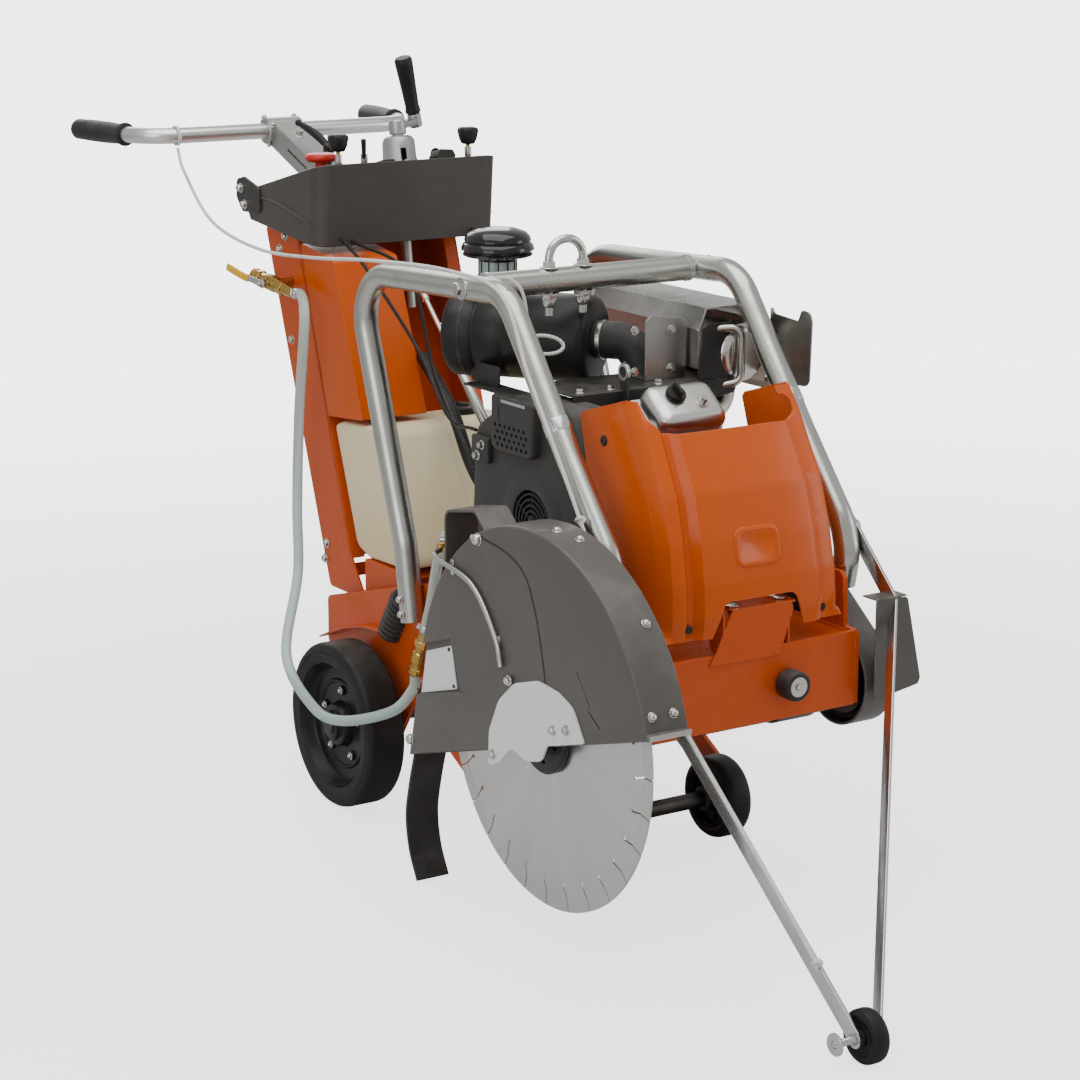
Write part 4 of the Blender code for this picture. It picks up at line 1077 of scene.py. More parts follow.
def panelHeight(y):
    (y0, z0), (y1, z1) = console["profile"][0], console["profile"][3]
    return z0 + (z1 - z0) * (y - y0) / (y1 - y0)


panelUp = Vector((0, console["profile"][0][1] - console["profile"][3][1],
    console["profile"][3][0] - console["profile"][0][0])).normalized()


def onPanel(x, y, up=0.0):
    return Vector((x, y, panelHeight(y))) + panelUp * up


def makeConsole():
    shell = sheet(console["profile"], console["left"], console["right"])
    corners = [edge for edge in shell.edges if all(vertex.co.y < 0.22 for vertex in edge.verts)
        and abs(edge.verts[0].co.x - edge.verts[1].co.x) < 1e-6]
    bmesh.ops.bevel(shell, geom=corners, offset=console["cornerRadius"], segments=8, profile=0.5,
        affect="EDGES", clamp_overlap=True)
    inside = [(0.2095, 0.99), (0.2205, 0.85), (0.46, 0.85), (0.474, 0.925)]
    hollow = sheet(inside, console["left"] + console["wall"], console["right"] - console["wall"])
    corners = [edge for edge in hollow.edges if all(vertex.co.y < 0.222 for vertex in edge.verts)
        and abs(edge.verts[0].co.x - edge.verts[1].co.x) < 1e-6]
    bmesh.ops.bevel(hollow, geom=corners, offset=console["cornerRadius"] - console["wall"], segments=8,
        profile=0.5, affect="EDGES", clamp_overlap=True)
    shell = combine(shell, hollow)
    shell = combine(shell, block((-0.036, 0.388, 0.88), (0.036, 0.52, 0.99)))
    shell = combine(shell, turned(plug(0.0125, -0.05, 0.02), jointPlace("depth_crank_turn"), panelUp, 32))
    piece("console_housing", shell, "consoleSkin", "root", ["console"], bevel=0.0022,
        segments=3)

    # raised moulding line along both side walls
    ridge = bmesh.new()
    for x in (console["left"] - 0.0008, console["right"] + 0.0008):
        path = smoothPath([(x, 0.232, 0.902), (x, 0.27, 0.912), (x, 0.35, 0.928), (x, 0.44, 0.932)], 5)
        addTo(ridge, swept(path, lambda t: 0.0006 + 0.002 * sin(pi * t), 10))
    piece("console_side_ridges", ridge, "consoleSkin")

    # control plate laid on the panel, with holes for the controls
    plate = bmesh.new()
    top = roundedOutline([(-0.145, 0.222), (0.16, 0.222), (0.16, 0.38), (-0.145, 0.38)], 0.012)
    addTo(plate, sheet(top, 0.0, 0.0012, "Z"))
    for spot in plate.verts:
        lifted = onPanel(spot.co.x, spot.co.y, spot.co.z + 0.0002)
        spot.co = lifted
    for x, y, size in ((0.052, 0.318, 0.031), (-0.117, 0.285, 0.012), (-0.112, 0.235, 0.007),
            (0.135, 0.235, 0.007), (-0.055, 0.25, 0.006)):
        plate = combine(plate, turned(plug(size, -0.01, 0.01), onPanel(x, y), panelUp, 32))
    piece("console_control_plate", plate, "blackPlastic", bevel=0.0004)

    # clips, hour meter, key switch and rocker
    gauge = turned([(0, 0.0015), (0.0235, 0.0015), (0.025, 0.003), (0.025, 0.0075), (0.0235, 0.009),
        (0.0215, 0.009), (0.0205, 0.007), (0, 0.0066)], onPanel(-0.02, 0.34), panelUp, 40)
    keyBody = turned([(0, 0.0015), (0.012, 0.0015), (0.012, 0.006), (0.0105, 0.0085), (0.006, 0.0085),
        (0.0055, 0.006), (0, 0.006)], onPanel(0.12, 0.31), panelUp, 32)
    rocker = softened(block((-0.012, 0.262, 0.0), (0.012, 0.29, 0.0095)), 0.0025)
    for spot in rocker.verts:
        spot.co = onPanel(spot.co.x, spot.co.y, spot.co.z + 0.0014)
    fixed = joined(gauge, keyBody, rocker)
    bow = turned([(0, -0.0012), (0.0095, -0.0012), (0.0105, 0.0), (0.0095, 0.0012), (0, 0.0012)],
        onPanel(0.12, 0.31, 0.021), (0.3, 0.2, 0.0), 24)
    addTo(fixed, bow)
    addTo(fixed, straight(onPanel(0.12, 0.31, 0.006), onPanel(0.12, 0.31, 0.014), 0.0024, 12))
    tab = sheet(roundedOutline([(0.058, 0.0), (0.1, 0.0), (0.094, 0.014), (0.07, 0.016)], 0.004), 0.212,
        0.24, "Y")
    for spot in tab.verts:
        spot.co = onPanel(spot.co.x, spot.co.y, spot.co.z)
    addTo(fixed, tab)
    piece("console_instruments", fixed, "blackPlastic", bevel=0.0006)
    dial = turned(plug(0.0202, 0.0067, 0.0075), onPanel(-0.02, 0.34), panelUp, 32)
    piece("hour_meter_face", dial, "whitePlate", bevel=0.0002)

    # mounting bracket and bolts at the back of the side wall
    bracket = bmesh.new()
    bolts = bmesh.new()
    for side, x in ((-1, console["left"]), (1, console["right"])):
        outline = roundedOutline([(0.405, 0.906), (0.47, 0.902), (0.492, 0.925), (0.49, 0.956),
            (0.462, 0.962), (0.41, 0.948)], 0.01)
        addTo(bracket, sheet(outline, x + side * 0.0002, x + side * 0.0042))
        for y, z in ((0.473, 0.942), (0.46, 0.915)):
            addTo(bolts, hexHead((x + side * 0.0042, y, z), (side, 0, 0), 0.011, 0.008, 0.0085, dome=True))
    piece("console_rear_brackets", bracket, "blackSteel", bevel=0.0006)
    piece("console_bracket_bolts", bolts, "boltZinc")


controls = {
    "throttle": (-0.112, 0.235),
    "choke": (0.135, 0.235),
    "stop": (-0.117, 0.285),
    "start": (-0.055, 0.25),
    "knobRise": 0.052,
}


def pullKnob(name, x, y, body):
    # squared, flared grip on a brass stem with a lock nut
    base = Vector((x, y, panelHeight(y) + 0.0003))
    stem = turned([(0, 0.0035), (0.0052, 0.0035), (0.0052, 0.008), (0.004, 0.0095), (0.0032, 0.021),
        (0.0046, 0.026), (0.0046, 0.03), (0, 0.03)], base, (0, 0, 1), 20)
    piece(name + "_stem", stem, "brass", body)
    shape = bmesh.new()
    rise = controls["knobRise"]
    levels = [(0.0, 0.024), (0.0075, 0.024), (0.0105, 0.026), (0.0135, 0.034), (0.0158, 0.046),
        (0.015, 0.05), (0.0118, rise), (0.0, rise)]
    rings = []
    for radius, height in levels:
        if radius == 0:
            rings.append([shape.verts.new(base + Vector((0, 0, height)))])
            continue
        ring = []
        for k in range(32):
            angle = 2 * pi * k / 32
            square = 1 / max(abs(cos(angle)), abs(sin(angle))) ** 0.45
            bump = 1 + 0.03 * cos(8 * angle)
            r = min(radius * square * bump, radius * 1.16)
            ring.append(shape.verts.new(base + Vector((r * cos(angle), r * sin(angle), height))))
        rings.append(ring)
    for one, two in zip(rings, rings[1:]):
        for k in range(32):
            j = (k + 1) % 32
            corners = [one[k % len(one)], one[j % len(one)], two[j % len(two)], two[k % len(two)]]
            kept = [corner for i, corner in enumerate(corners) if corner not in corners[:i]]
            shape.faces.new(kept)
    piece(name + "_grip", shape, "blackPlastic", body, [name], sharp=50)


def makeControls():
    pullKnob("throttle_knob", *controls["throttle"], "throttle_knob_body")
    pullKnob("choke_knob", *controls["choke"], "choke_knob_body")
    collars = bmesh.new()
    for name in ("throttle", "choke", "start"):
        x, y = controls[name]
        addTo(collars, hexHead(onPanel(x, y), panelUp, 0.013, 0.003, 0.009))
        # the hole in the collar's middle is left for the stem
    piece("control_collars", combine(collars, joined(*[turned(plug(0.0058, -0.01, 0.02),
        onPanel(*controls[name]), (0, 0, 1), 16) for name in ("throttle", "choke", "start")])), "boltZinc")

    x, y = controls["stop"]
    base = Vector((x, y, panelHeight(y) + 0.0003))
    button = turned([(0, 0.008), (0.0098, 0.008), (0.0098, 0.0145), (0.022, 0.0165), (0.0255, 0.0205),
        (0.026, 0.024), (0.024, 0.028), (0.02, 0.0298), (0.008, 0.03), (0, 0.03)], base, (0, 0, 1), 44)
    piece("stop_button_cap", button, "redButton", "stop_button_body", ["stop_button"],
        sharp=50)
    ring = turned([(0.0125, 0.0), (0.019, 0.0), (0.019, 0.0045), (0.0175, 0.006), (0.0125, 0.006)],
        onPanel(x, y), panelUp, 40)
    piece("stop_button_base", ring, "yellowSleeve", bevel=0.0004)

    start, end = jointPlace("start_lever_tilt"), Vector((-0.06, 0.243, panelHeight(0.25) + 0.045))
    start = start + (end - start).normalized() * 0.0038
    lever = swept([start.lerp(end, t / 8) for t in range(9)], lambda t: 0.003 + 0.0016 * t, 20)
    piece("start_lever_stick", lever, "blackPlastic", "start_lever_body", ["start_lever"],
        bevel=0.0008)


def makeCrank():
    base = jointPlace("depth_crank_turn")
    top = jointPlace("crank_grip_spin")
    found = {joint["name"]: Vector(joint["axis"]).normalized() for joint in frame["joints"]}
    up, lean = found["depth_crank_turn"], found["crank_grip_spin"]
    # bell over the spindle, with a slot in its wall and an open foot
    bell = turned([(0.027, 0.0), (0.031, 0.0), (0.0312, 0.006), (0.0285, 0.012), (0.0275, 0.04),
        (0.024, 0.047), (0.018, 0.05), (0.0104, 0.05), (0.0104, 0.044), (0.018, 0.044), (0.0235, 0.038),
        (0.0245, 0.01)], base, up, 48)
    slotCut = block((0.04, 0.29, base.z + 0.006), (0.05, 0.3, base.z + 0.032))
    bell = combine(bell, slotCut)
    piece("crank_bell", bell, "castAluminium", "root", ["crank_housing"], bevel=0.0008)
    spindle = straight(base - up * 0.24, base + up * 0.06, 0.0098, 28, chamfer=0.0015)
    across = (top - (base + up * 0.066))
    hub = turned([(0, 0.0515), (0.013, 0.0515), (0.0145, 0.053), (0.0145, 0.0735), (0.012, 0.0765),
        (0, 0.0765)], base, up, 32)
    arm = swept([base + up * 0.066 - across * 0.1, base + up * 0.066 + across * 0.5, top], 1.0,
        section=[(u * 0.0095, v * 0.0058) for u, v in roundedOutline([(-1, -1), (1, -1), (1, 1), (-1, 1)],
        0.35, 3)])
    boss = turned([(0, -0.01), (0.0105, -0.01), (0.0115, -0.0085), (0.0115, 0.0115), (0.01, 0.0135),
        (0, 0.0135)], top, lean, 28)
    crank = joined(spindle, hub, arm, boss)
    piece("depth_crank_arm", crank, "castAluminium", "depth_crank_body", ["depth_crank"],
        bevel=0.0008)
    foot = top + lean * 0.015
    profile = [(0, 0), (0.0118, 0), (0.0132, 0.002), (0.0128, 0.006), (0.0118, 0.012), (0.0138, 0.06),
        (0.0152, 0.086), (0.015, 0.0935), (0.0128, 0.0975), (0, 0.098)]
    piece("crank_grip_sleeve", turned(profile, foot, lean, 36), "blackPlastic", "crank_grip_body",
        ["crank_grip"], sharp=50)


makeConsole()
makeControls()
makeCrank()
print("console made")


# cage
cage = {
    "x": 0.2045,
    "radius": 0.019,
    "bend": 0.075,
    "line": [(-0.15, 0.33), (-0.13, 0.45), (0.014, 0.858), (-0.425, 0.877), (-0.59, 0.665), (-0.69, 0.545),
        (-0.704, 0.5), (-0.694, 0.452)],
    "cross": (-0.33, 0.8735),
    "sleeveAt": (-0.56, 0.7035),
    "eyeX": -0.04,
    "eyeRod": 0.0065,
}


def makeCage():
    y, z = cage["cross"]
    bolts = bmesh.new()
    sleeves = bmesh.new()
    for side, name in ((-1, "near_cage_hoop"), (1, "far_cage_hoop")):
        x = side * cage["x"]
        path = roundedPath([(x, a, b) for a, b in cage["line"]], cage["bend"], 12)
        piece(name + "_tube", swept(path, cage["radius"], 36), "zincTube", "root", [name])
        outer = x + side * cage["radius"]
        addTo(bolts, hexHead((outer - side * 0.001, y, z), (side, 0, 0), 0.017, 0.0085, 0.0165))
        line = Vector((0, cage["line"][4][0] - cage["line"][3][0], cage["line"][4][1]
            - cage["line"][3][1])).normalized()
        sleeve = Vector((x, *cage["sleeveAt"]))
        r = cage["radius"]
        addTo(sleeves, turned([(r, -0.01), (r + 0.0006, -0.01), (r + 0.0009, -0.0085), (r + 0.0009, 0.0085),
            (r + 0.0006, 0.01), (r, 0.01)], sleeve, line, 40))
    r = cage["radius"]
    reach = cage["x"] - cage["radius"] - 0.0003
    tubeShape = turned(plug(r, -reach, reach), (0, y, z), (1, 0, 0), 40)
    piece("cross_tube", tubeShape, "zincTube", "root", ["cage_cross_tube"])
    for side in (-1, 1):
        addTo(sleeves, turned([(r, -0.004), (r + 0.0012, -0.0035), (r + 0.0012, 0.0035), (r, 0.004)],
            (side * (reach - 0.006), y, z), (1, 0, 0), 40))
    piece("cage_sleeves", sleeves, "zincPlate")

    # lifting eye with washers and nuts above and below, and domed caps on the threads
    x = cage["eyeX"]
    rodRadius = cage["eyeRod"]
    legs = [(x - 0.03, y, z - 0.052), (x - 0.03, y, z + 0.06), (x + 0.03, y, z + 0.06),
        (x + 0.03, y, z - 0.052)]
    eye = swept(roundedPath(legs, 0.0285, 14), rodRadius, 28)
    for side in (-1, 1):
        for level, way in ((r - 0.0006, 1), (-r + 0.0006, -1)):
            spot = Vector((x + side * 0.03, y, z + level))
            addTo(eye, hexHead(spot, (0, 0, way), 0.018, 0.0085, 0.0145))
        addTo(eye, hexHead((x + side * 0.03, y, z - r - 0.0085), (0, 0, -1), 0.018, 0.016, None, dome=True))
        addTo(eye, turned([(rodRadius, 0.0), (rodRadius + 0.0004, 0.001), (rodRadius, 0.0022)],
            (x + side * 0.03, y, z + r + 0.012), (0, 0, 1), 24))
    piece("lifting_eye_bolt", eye, "boltZinc", "root", ["lifting_eye"])
    piece("cage_bolts", bolts, "boltZinc")


makeCage()
print("cage made")



# chassis: side plates, deck and front beam, welded
chassis = {
    "half": 0.184,
    "plate": 0.008,
    "deck": 0.395,
    "side": [(-0.761, 0.289), (-0.761, 0.4), (-0.735, 0.4), (-0.73, 0.48), (-0.668, 0.48), (-0.655, 0.395),
        (-0.18, 0.395), (0.165, 0.3), (0.165, 0.225), (0.05, 0.095), (-0.05, 0.095), (-0.11, 0.18),
        (-0.36, 0.22), (-0.415, 0.306), (-0.57, 0.306), (-0.61, 0.289)],
    "corners": [0.004, 0.01, 0.006, 0.012, 0.012, 0.006, 0.01, 0.012, 0.01, 0.02, 0.02, 0.02, 0.02, 0.02,
        0.01, 0.01],
    "axle": (0.0, 0.1335),
    "pivot": (-0.15, 0.225),
}


def ring(place, inner, outer, low, high, steps=40, direction=(1, 0, 0)):
    edge = min(0.0008, (high - low) * 0.3)
    return turned([(inner, low), (outer - edge, low), (outer, low + edge), (outer, high - edge),
        (outer - edge, high), (inner, high)], place, direction, steps)


def makeChassis():
    half, plate, deck = chassis["half"], chassis["plate"], chassis["deck"]
    outline = roundedOutline(chassis["side"], chassis["corners"], 5)
    shaftYZ = (0, shaft.y, shaft.z)
    holes = ((shaftYZ, 0.0464), ((0, *chassis["axle"]), 0.0128), ((0, *chassis["pivot"]), 0.0128))
    inner = half - plate
    frameShape = bmesh.new()
    for shape in (sheet(outline, -half, -inner), sheet(outline, inner, half),
            block((-inner, -0.754, 0.289), (inner, -0.7, 0.293))):
        for place, radius in holes:
            shape = combine(shape, turned(plug(radius, -0.25, 0.25), place))
        addTo(frameShape, shape)
    for low, high in (((-inner, -0.759, deck - 0.006), (inner, -0.178, deck)),
            ((-inner, -0.761, 0.289), (inner, -0.753, 0.3999)), ((-inner, 0.155, 0.228),
            (inner, 0.163, 0.3)), ((-inner, -0.06, 0.185), (inner, 0.06, 0.193))):
        addTo(frameShape, block(low, high))
    piece("chassis_weldment", frameShape, "orangePaint", "root", ["main_frame"], bevel=0.0014)

    # weld beads along the deck and the front beam
    beads = bmesh.new()
    for side in (-1, 1):
        x = side * (inner - 0.0008)
        for one, two in (((x, -0.7515, 0.294), (x, -0.7515, 0.386)),
                ((x, -0.745, deck + 0.0008), (x, -0.19, deck + 0.0008))):
            one, two = Vector(one), Vector(two)
            steps = int((two - one).length / 0.0035)
            line = [one.lerp(two, t / steps) for t in range(steps + 1)]
            addTo(beads, swept(line, lambda t: 0.0026 + 0.0004 * sin(t * steps * pi), 8))
    piece("chassis_weld_beads", beads, "orangePaint")

    # folded bracket with its ears, in front of the engine
    bracket = bmesh.new()
    outline = roundedOutline([(-0.076, 0.4), (-0.046, 0.462), (0.064, 0.462), (0.044, 0.404),
        (0.036, 0.386), (-0.086, 0.386)], [0.004, 0.008, 0.01, 0.004, 0.002, 0.002], 4)
    front = sheet(outline, -0.764, -0.7612, "Y")
    addTo(bracket, front)
    top = roundedOutline([(-0.046, -0.7638), (0.064, -0.7638), (0.07, -0.712), (-0.052, -0.712)],
        [0.001, 0.001, 0.012, 0.012], 4)
    addTo(bracket, sheet(top, 0.4595, 0.4625, "Z"))
    ear = roundedOutline([(-0.7625, 0.398), (-0.7625, 0.459), (-0.716, 0.459), (-0.735, 0.398)], 0.006, 4)
    for x in (-0.06, 0.054):
        addTo(bracket, sheet(ear, x - 0.0015, x + 0.0015))
    piece("engine_front_bracket", bracket, "orangePaint", bevel=0.0005)
    fixings = bmesh.new()
    for x in (-0.034, 0.05):
        addTo(fixings, turned([(0, 0), (0.0115, 0), (0.0125, 0.001), (0.0125, 0.0032), (0.011, 0.0042),
            (0, 0.0042)], (x, -0.742, 0.4626), (0, 0, 1), 28))
        addTo(fixings, nutOnThread((x, -0.742, 0.4594), (0, 0, -1), 0.01, 0.0055, 0.0032, 0.007, 0.0075))
    piece("engine_bracket_fixings", fixings, "boltZinc")

    # lips over the rear wheels and the ribbed boot beside the column's foot
    lips = bmesh.new()
    line = [(0.158, 0.236), (0.126, 0.25), (0.073, 0.27), (0.01, 0.286), (-0.04, 0.29)]
    edge = line + [(y, z - 0.003) for y, z in line[::-1]]
    for low, high in ((-0.205, -half - 0.0002), (half + 0.0002, 0.205)):
        addTo(lips, sheet(edge, low, high))
    piece("wheel_lips", lips, "orangePaint", bevel=0.0006)
    # folded tray that carries the tank
    tray = joined(block((-0.15, -0.055, 0.3), (-0.146, 0.098, 0.3712)),
        block((0.146, -0.055, 0.3), (0.15, 0.098, 0.3712)), block((-0.146, -0.055, 0.3682),
        (0.146, 0.098, 0.3712)), block((-0.146, 0.095, 0.3), (0.146, 0.098, 0.3682)))
    piece("tank_tray", tray, "orangePaint", bevel=0.001)
    feet = bmesh.new()
    for side in (-1, 1):
        for y, z in ((-0.1478, 0.343), (-0.144, 0.366)):
            addTo(feet, hexHead((side * (cage["x"] + cage["radius"] - 0.0006), y, z), (side, 0, 0), 0.0105,
                0.006, 0.008, dome=True))
    piece("cage_foot_bolts", feet, "boltZinc")
    boot = straight((-0.188, -0.05, 0.284), (-0.188, -0.098, 0.356), 0.019, 32)
    for k in range(8):
        spot = Vector((-0.188, -0.05, 0.284)).lerp(Vector((-0.188, -0.098, 0.356)), (k + 0.7) / 8.4)
        way = Vector((0, -0.048, 0.072)).normalized()
        addTo(boot, turned([(0.0185, -0.0026), (0.0225, -0.0007), (0.0225, 0.0007), (0.0185, 0.0026)], spot,
            way, 36))
    piece("ribbed_boot", boot, "softRubber")

    bumper = turned([(0.0, 0.0003), (0.019, 0.0003), (0.0206, 0.002), (0.022, 0.006), (0.022, 0.0245),
        (0.0212, 0.0285), (0.0185, 0.0305), (0.0158, 0.0305), (0.015, 0.029), (0.0, 0.029)],
        (0.052, -0.761, 0.342), (0, -1, 0), 44)
    piece("bumper_roller", bumper, "softRubber", "root", ["bumper"], sharp=45)
    cap = turned([(0, 0.0285), (0.0142, 0.0285), (0.0148, 0.0292), (0.0145, 0.03), (0.0, 0.03)],
        (0.052, -0.761, 0.342), (0, -1, 0), 36)
    shape = addTo(cap, hexHead((0.052, -0.7915, 0.342), (0, -1, 0), 0.0095, 0.004))
    piece("bumper_bolt", shape, "boltZinc")

    axle = turned([(0, -0.276), (0.0112, -0.276), (0.0125, -0.2745), (0.0125, 0.2745), (0.0112, 0.276),
        (0, 0.276)], (0, *chassis["axle"]), (1, 0, 0), 32)
    piece("rear_axle_bar", axle, "blackSteel", "root", ["rear_axle"])


# column behind the tank and its sheet cover
column = {
    "half": 0.15,
    "side": [(0.426, 0.888), (0.305, 0.869), (0.142, 0.36), (0.105, 0.31), (0.105, 0.205), (0.1547, 0.205),
        (0.1547, 0.3005), (0.218, 0.3005)],
    "cover": [(0.3, 0.866), (0.19, 0.85), (0.098, 0.6), (0.213, 0.59)],
    "coverFar": -0.03,
}


def makeColumn():
    half = column["half"]
    outline = roundedOutline(column["side"], [0.01, 0.01, 0.02, 0.02, 0.006, 0.004, 0.006, 0.01], 4)
    shape = joined(sheet(outline, -half, -half + 0.005), sheet(outline, half - 0.005, half))
    back = block((-half + 0.003, -0.0025, -0.2725), (half - 0.003, 0.0025, 0.2725))
    lean = pi / 2 - atan2(0.517, 0.17)
    bmesh.ops.rotate(back, cent=(0, 0, 0), matrix=Matrix.Rotation(-lean, 3, "X"), verts=back.verts)
    bmesh.ops.translate(back, vec=(0, 0.318, 0.6), verts=back.verts)
    addTo(shape, back)
    addTo(shape, block((-half + 0.003, 0.148, 0.33), (half - 0.003, 0.153, 0.352)))
    # folded lips along the front edges of both plates
    for side in (-1, 1):
        lip = [(0.142, 0.362), (0.305, 0.867)]
        x = side * (half - 0.0125)
        edge = swept([(x, lip[0][0] + 0.0022, lip[0][1]), (x, lip[1][0] + 0.0022, lip[1][1])], 1.0,
            section=[(-0.0125, -0.0022), (0.0125, -0.0022), (0.0125, 0.0022), (-0.0125, 0.0022)])
        addTo(shape, edge)
    piece("column_weldment", shape, "orangePaint", "root", ["column"], bevel=0.0012)

    outline = roundedOutline(column["cover"], [0.004, 0.014, 0.004, 0.004], 6)
    hood = sheet(outline, -half, column["coverFar"])
    edges = [edge for edge in hood.edges if abs(edge.verts[0].co.x - edge.verts[1].co.x) < 1e-6
        and all(vertex.co.y < 0.2 and vertex.co.z < 0.845 for vertex in edge.verts)
        and (edge.verts[0].co - edge.verts[1].co).length > 0.05]
    bmesh.ops.bevel(hood, geom=edges, offset=0.016, segments=6, profile=0.5, affect="EDGES",
        clamp_overlap=True)
    inside = [(0.31, 0.86), (0.2, 0.841), (0.112, 0.606), (0.225, 0.596)]
    hood = combine(hood, sheet(inside, -half + 0.004, column["coverFar"] - 0.004))
    piece("column_hood", hood, "orangeCover", "root", ["column_cover"], bevel=0.001)

    fixings = bmesh.new()
    for y, z in ((0.352, 0.872), (0.372, 0.848), (0.335, 0.7), (0.226, 0.372), (0.232, 0.345)):
        addTo(fixings, hexHead((-half, y, z), (-1, 0, 0), 0.0105, 0.006, 0.0085, dome=True))
        addTo(fixings, hexHead((half, y, z), (1, 0, 0), 0.0105, 0.006, 0.0085, dome=True))
    piece("column_fixings", fixings, "boltZinc")


tank = {
    "outline": [(0.205, 0.577), (0.18, 0.585), (0.07, 0.592), (0.05, 0.58), (-0.055, 0.4), (-0.055, 0.385),
        (0.0, 0.375), (0.095, 0.372), (0.135, 0.385)],
    "corners": [0.01, 0.03, 0.04, 0.03, 0.03, 0.02, 0.04, 0.03, 0.024],
    "left": -0.144,
    "right": 0.11,
    "seamX": -0.02,
}


def makeTank():
    # blow-moulded in two halves: soft edges and a seam round the middle
    shape = sheet(roundedOutline(tank["outline"], tank["corners"], 5), tank["left"], tank["right"])
    rim = [edge for edge in shape.edges if abs(edge.verts[0].co.x - edge.verts[1].co.x) < 1e-6]
    bmesh.ops.bevel(shape, geom=rim, offset=0.013, segments=6, profile=0.5, affect="EDGES",
        clamp_overlap=True)
    piece("tank_body", shape, "naturalTank", "root", ["fuel_tank"], bevel=0.0022, segments=3)
    seamLine = [Vector((tank["seamX"], y, z)) for y, z in roundedOutline([(y * 0.995 + 0.0003, z * 0.9985)
        for y, z in tank["outline"]], tank["corners"], 5)]
    seamLine.append(seamLine[0])
    seam = swept(seamLine, 0.0016, 8, caps=False)
    piece("tank_seam", seam, "naturalTank")
    cap = turned([(0, 0), (0.026, 0), (0.0275, 0.002), (0.0275, 0.012), (0.0255, 0.015), (0.011, 0.0155),
        (0.011, 0.019), (0, 0.019)], (0.05, 0.12, 0.588), (0.05, -0.06, 1.0), 36)
    piece("tank_cap", cap, "blackPlastic", bevel=0.0008)


makeChassis()
makeColumn()
makeTank()
print("chassis, column and tank made")


# front cover: a leaning panel with shoulders and wings folded back
frontCover = {
    "front": [(0.4265, -0.764), (0.454, -0.767), (0.5, -0.764), (0.56, -0.753), (0.627, -0.733),
        (0.68, -0.704), (0.717, -0.684), (0.748, -0.66)],
    "rear": [(0.4265, -0.754), (0.436, -0.746), (0.512, -0.586), (0.715, -0.525), (0.748, -0.635)],
    "wide": [(0.4265, 0.1545), (0.748, 0.143)],
    "across": [(1.0, None), (1.0, 0.04), (0.985, 0.026), (0.93, 0.012), (0.87, 0.0085), (0.8, 0.008),
        (0.745, 0.015), (0.69, 0.015), (0.625, 0.0012), (0.56, 0.0), (0.3, -0.0008), (0.0, -0.001),
        (-0.3, -0.0008), (-0.64, 0.0), (-0.69, 0.0015), (-0.745, 0.0075), (-0.87, 0.0085), (-0.93, 0.012),
        (-0.985, 0.026), (-1.0, 0.04), (-1.0, None)],
    "thick": 0.003,
}


def along(table, at):
    for (a, u), (b, v) in zip(table, table[1:]):
        if at <= b:
            return u + (v - u) * max(0.0, (at - a) / (b - a))
    return table[-1][1]


def coverFront(z):
    return along(frontCover["front"], z)


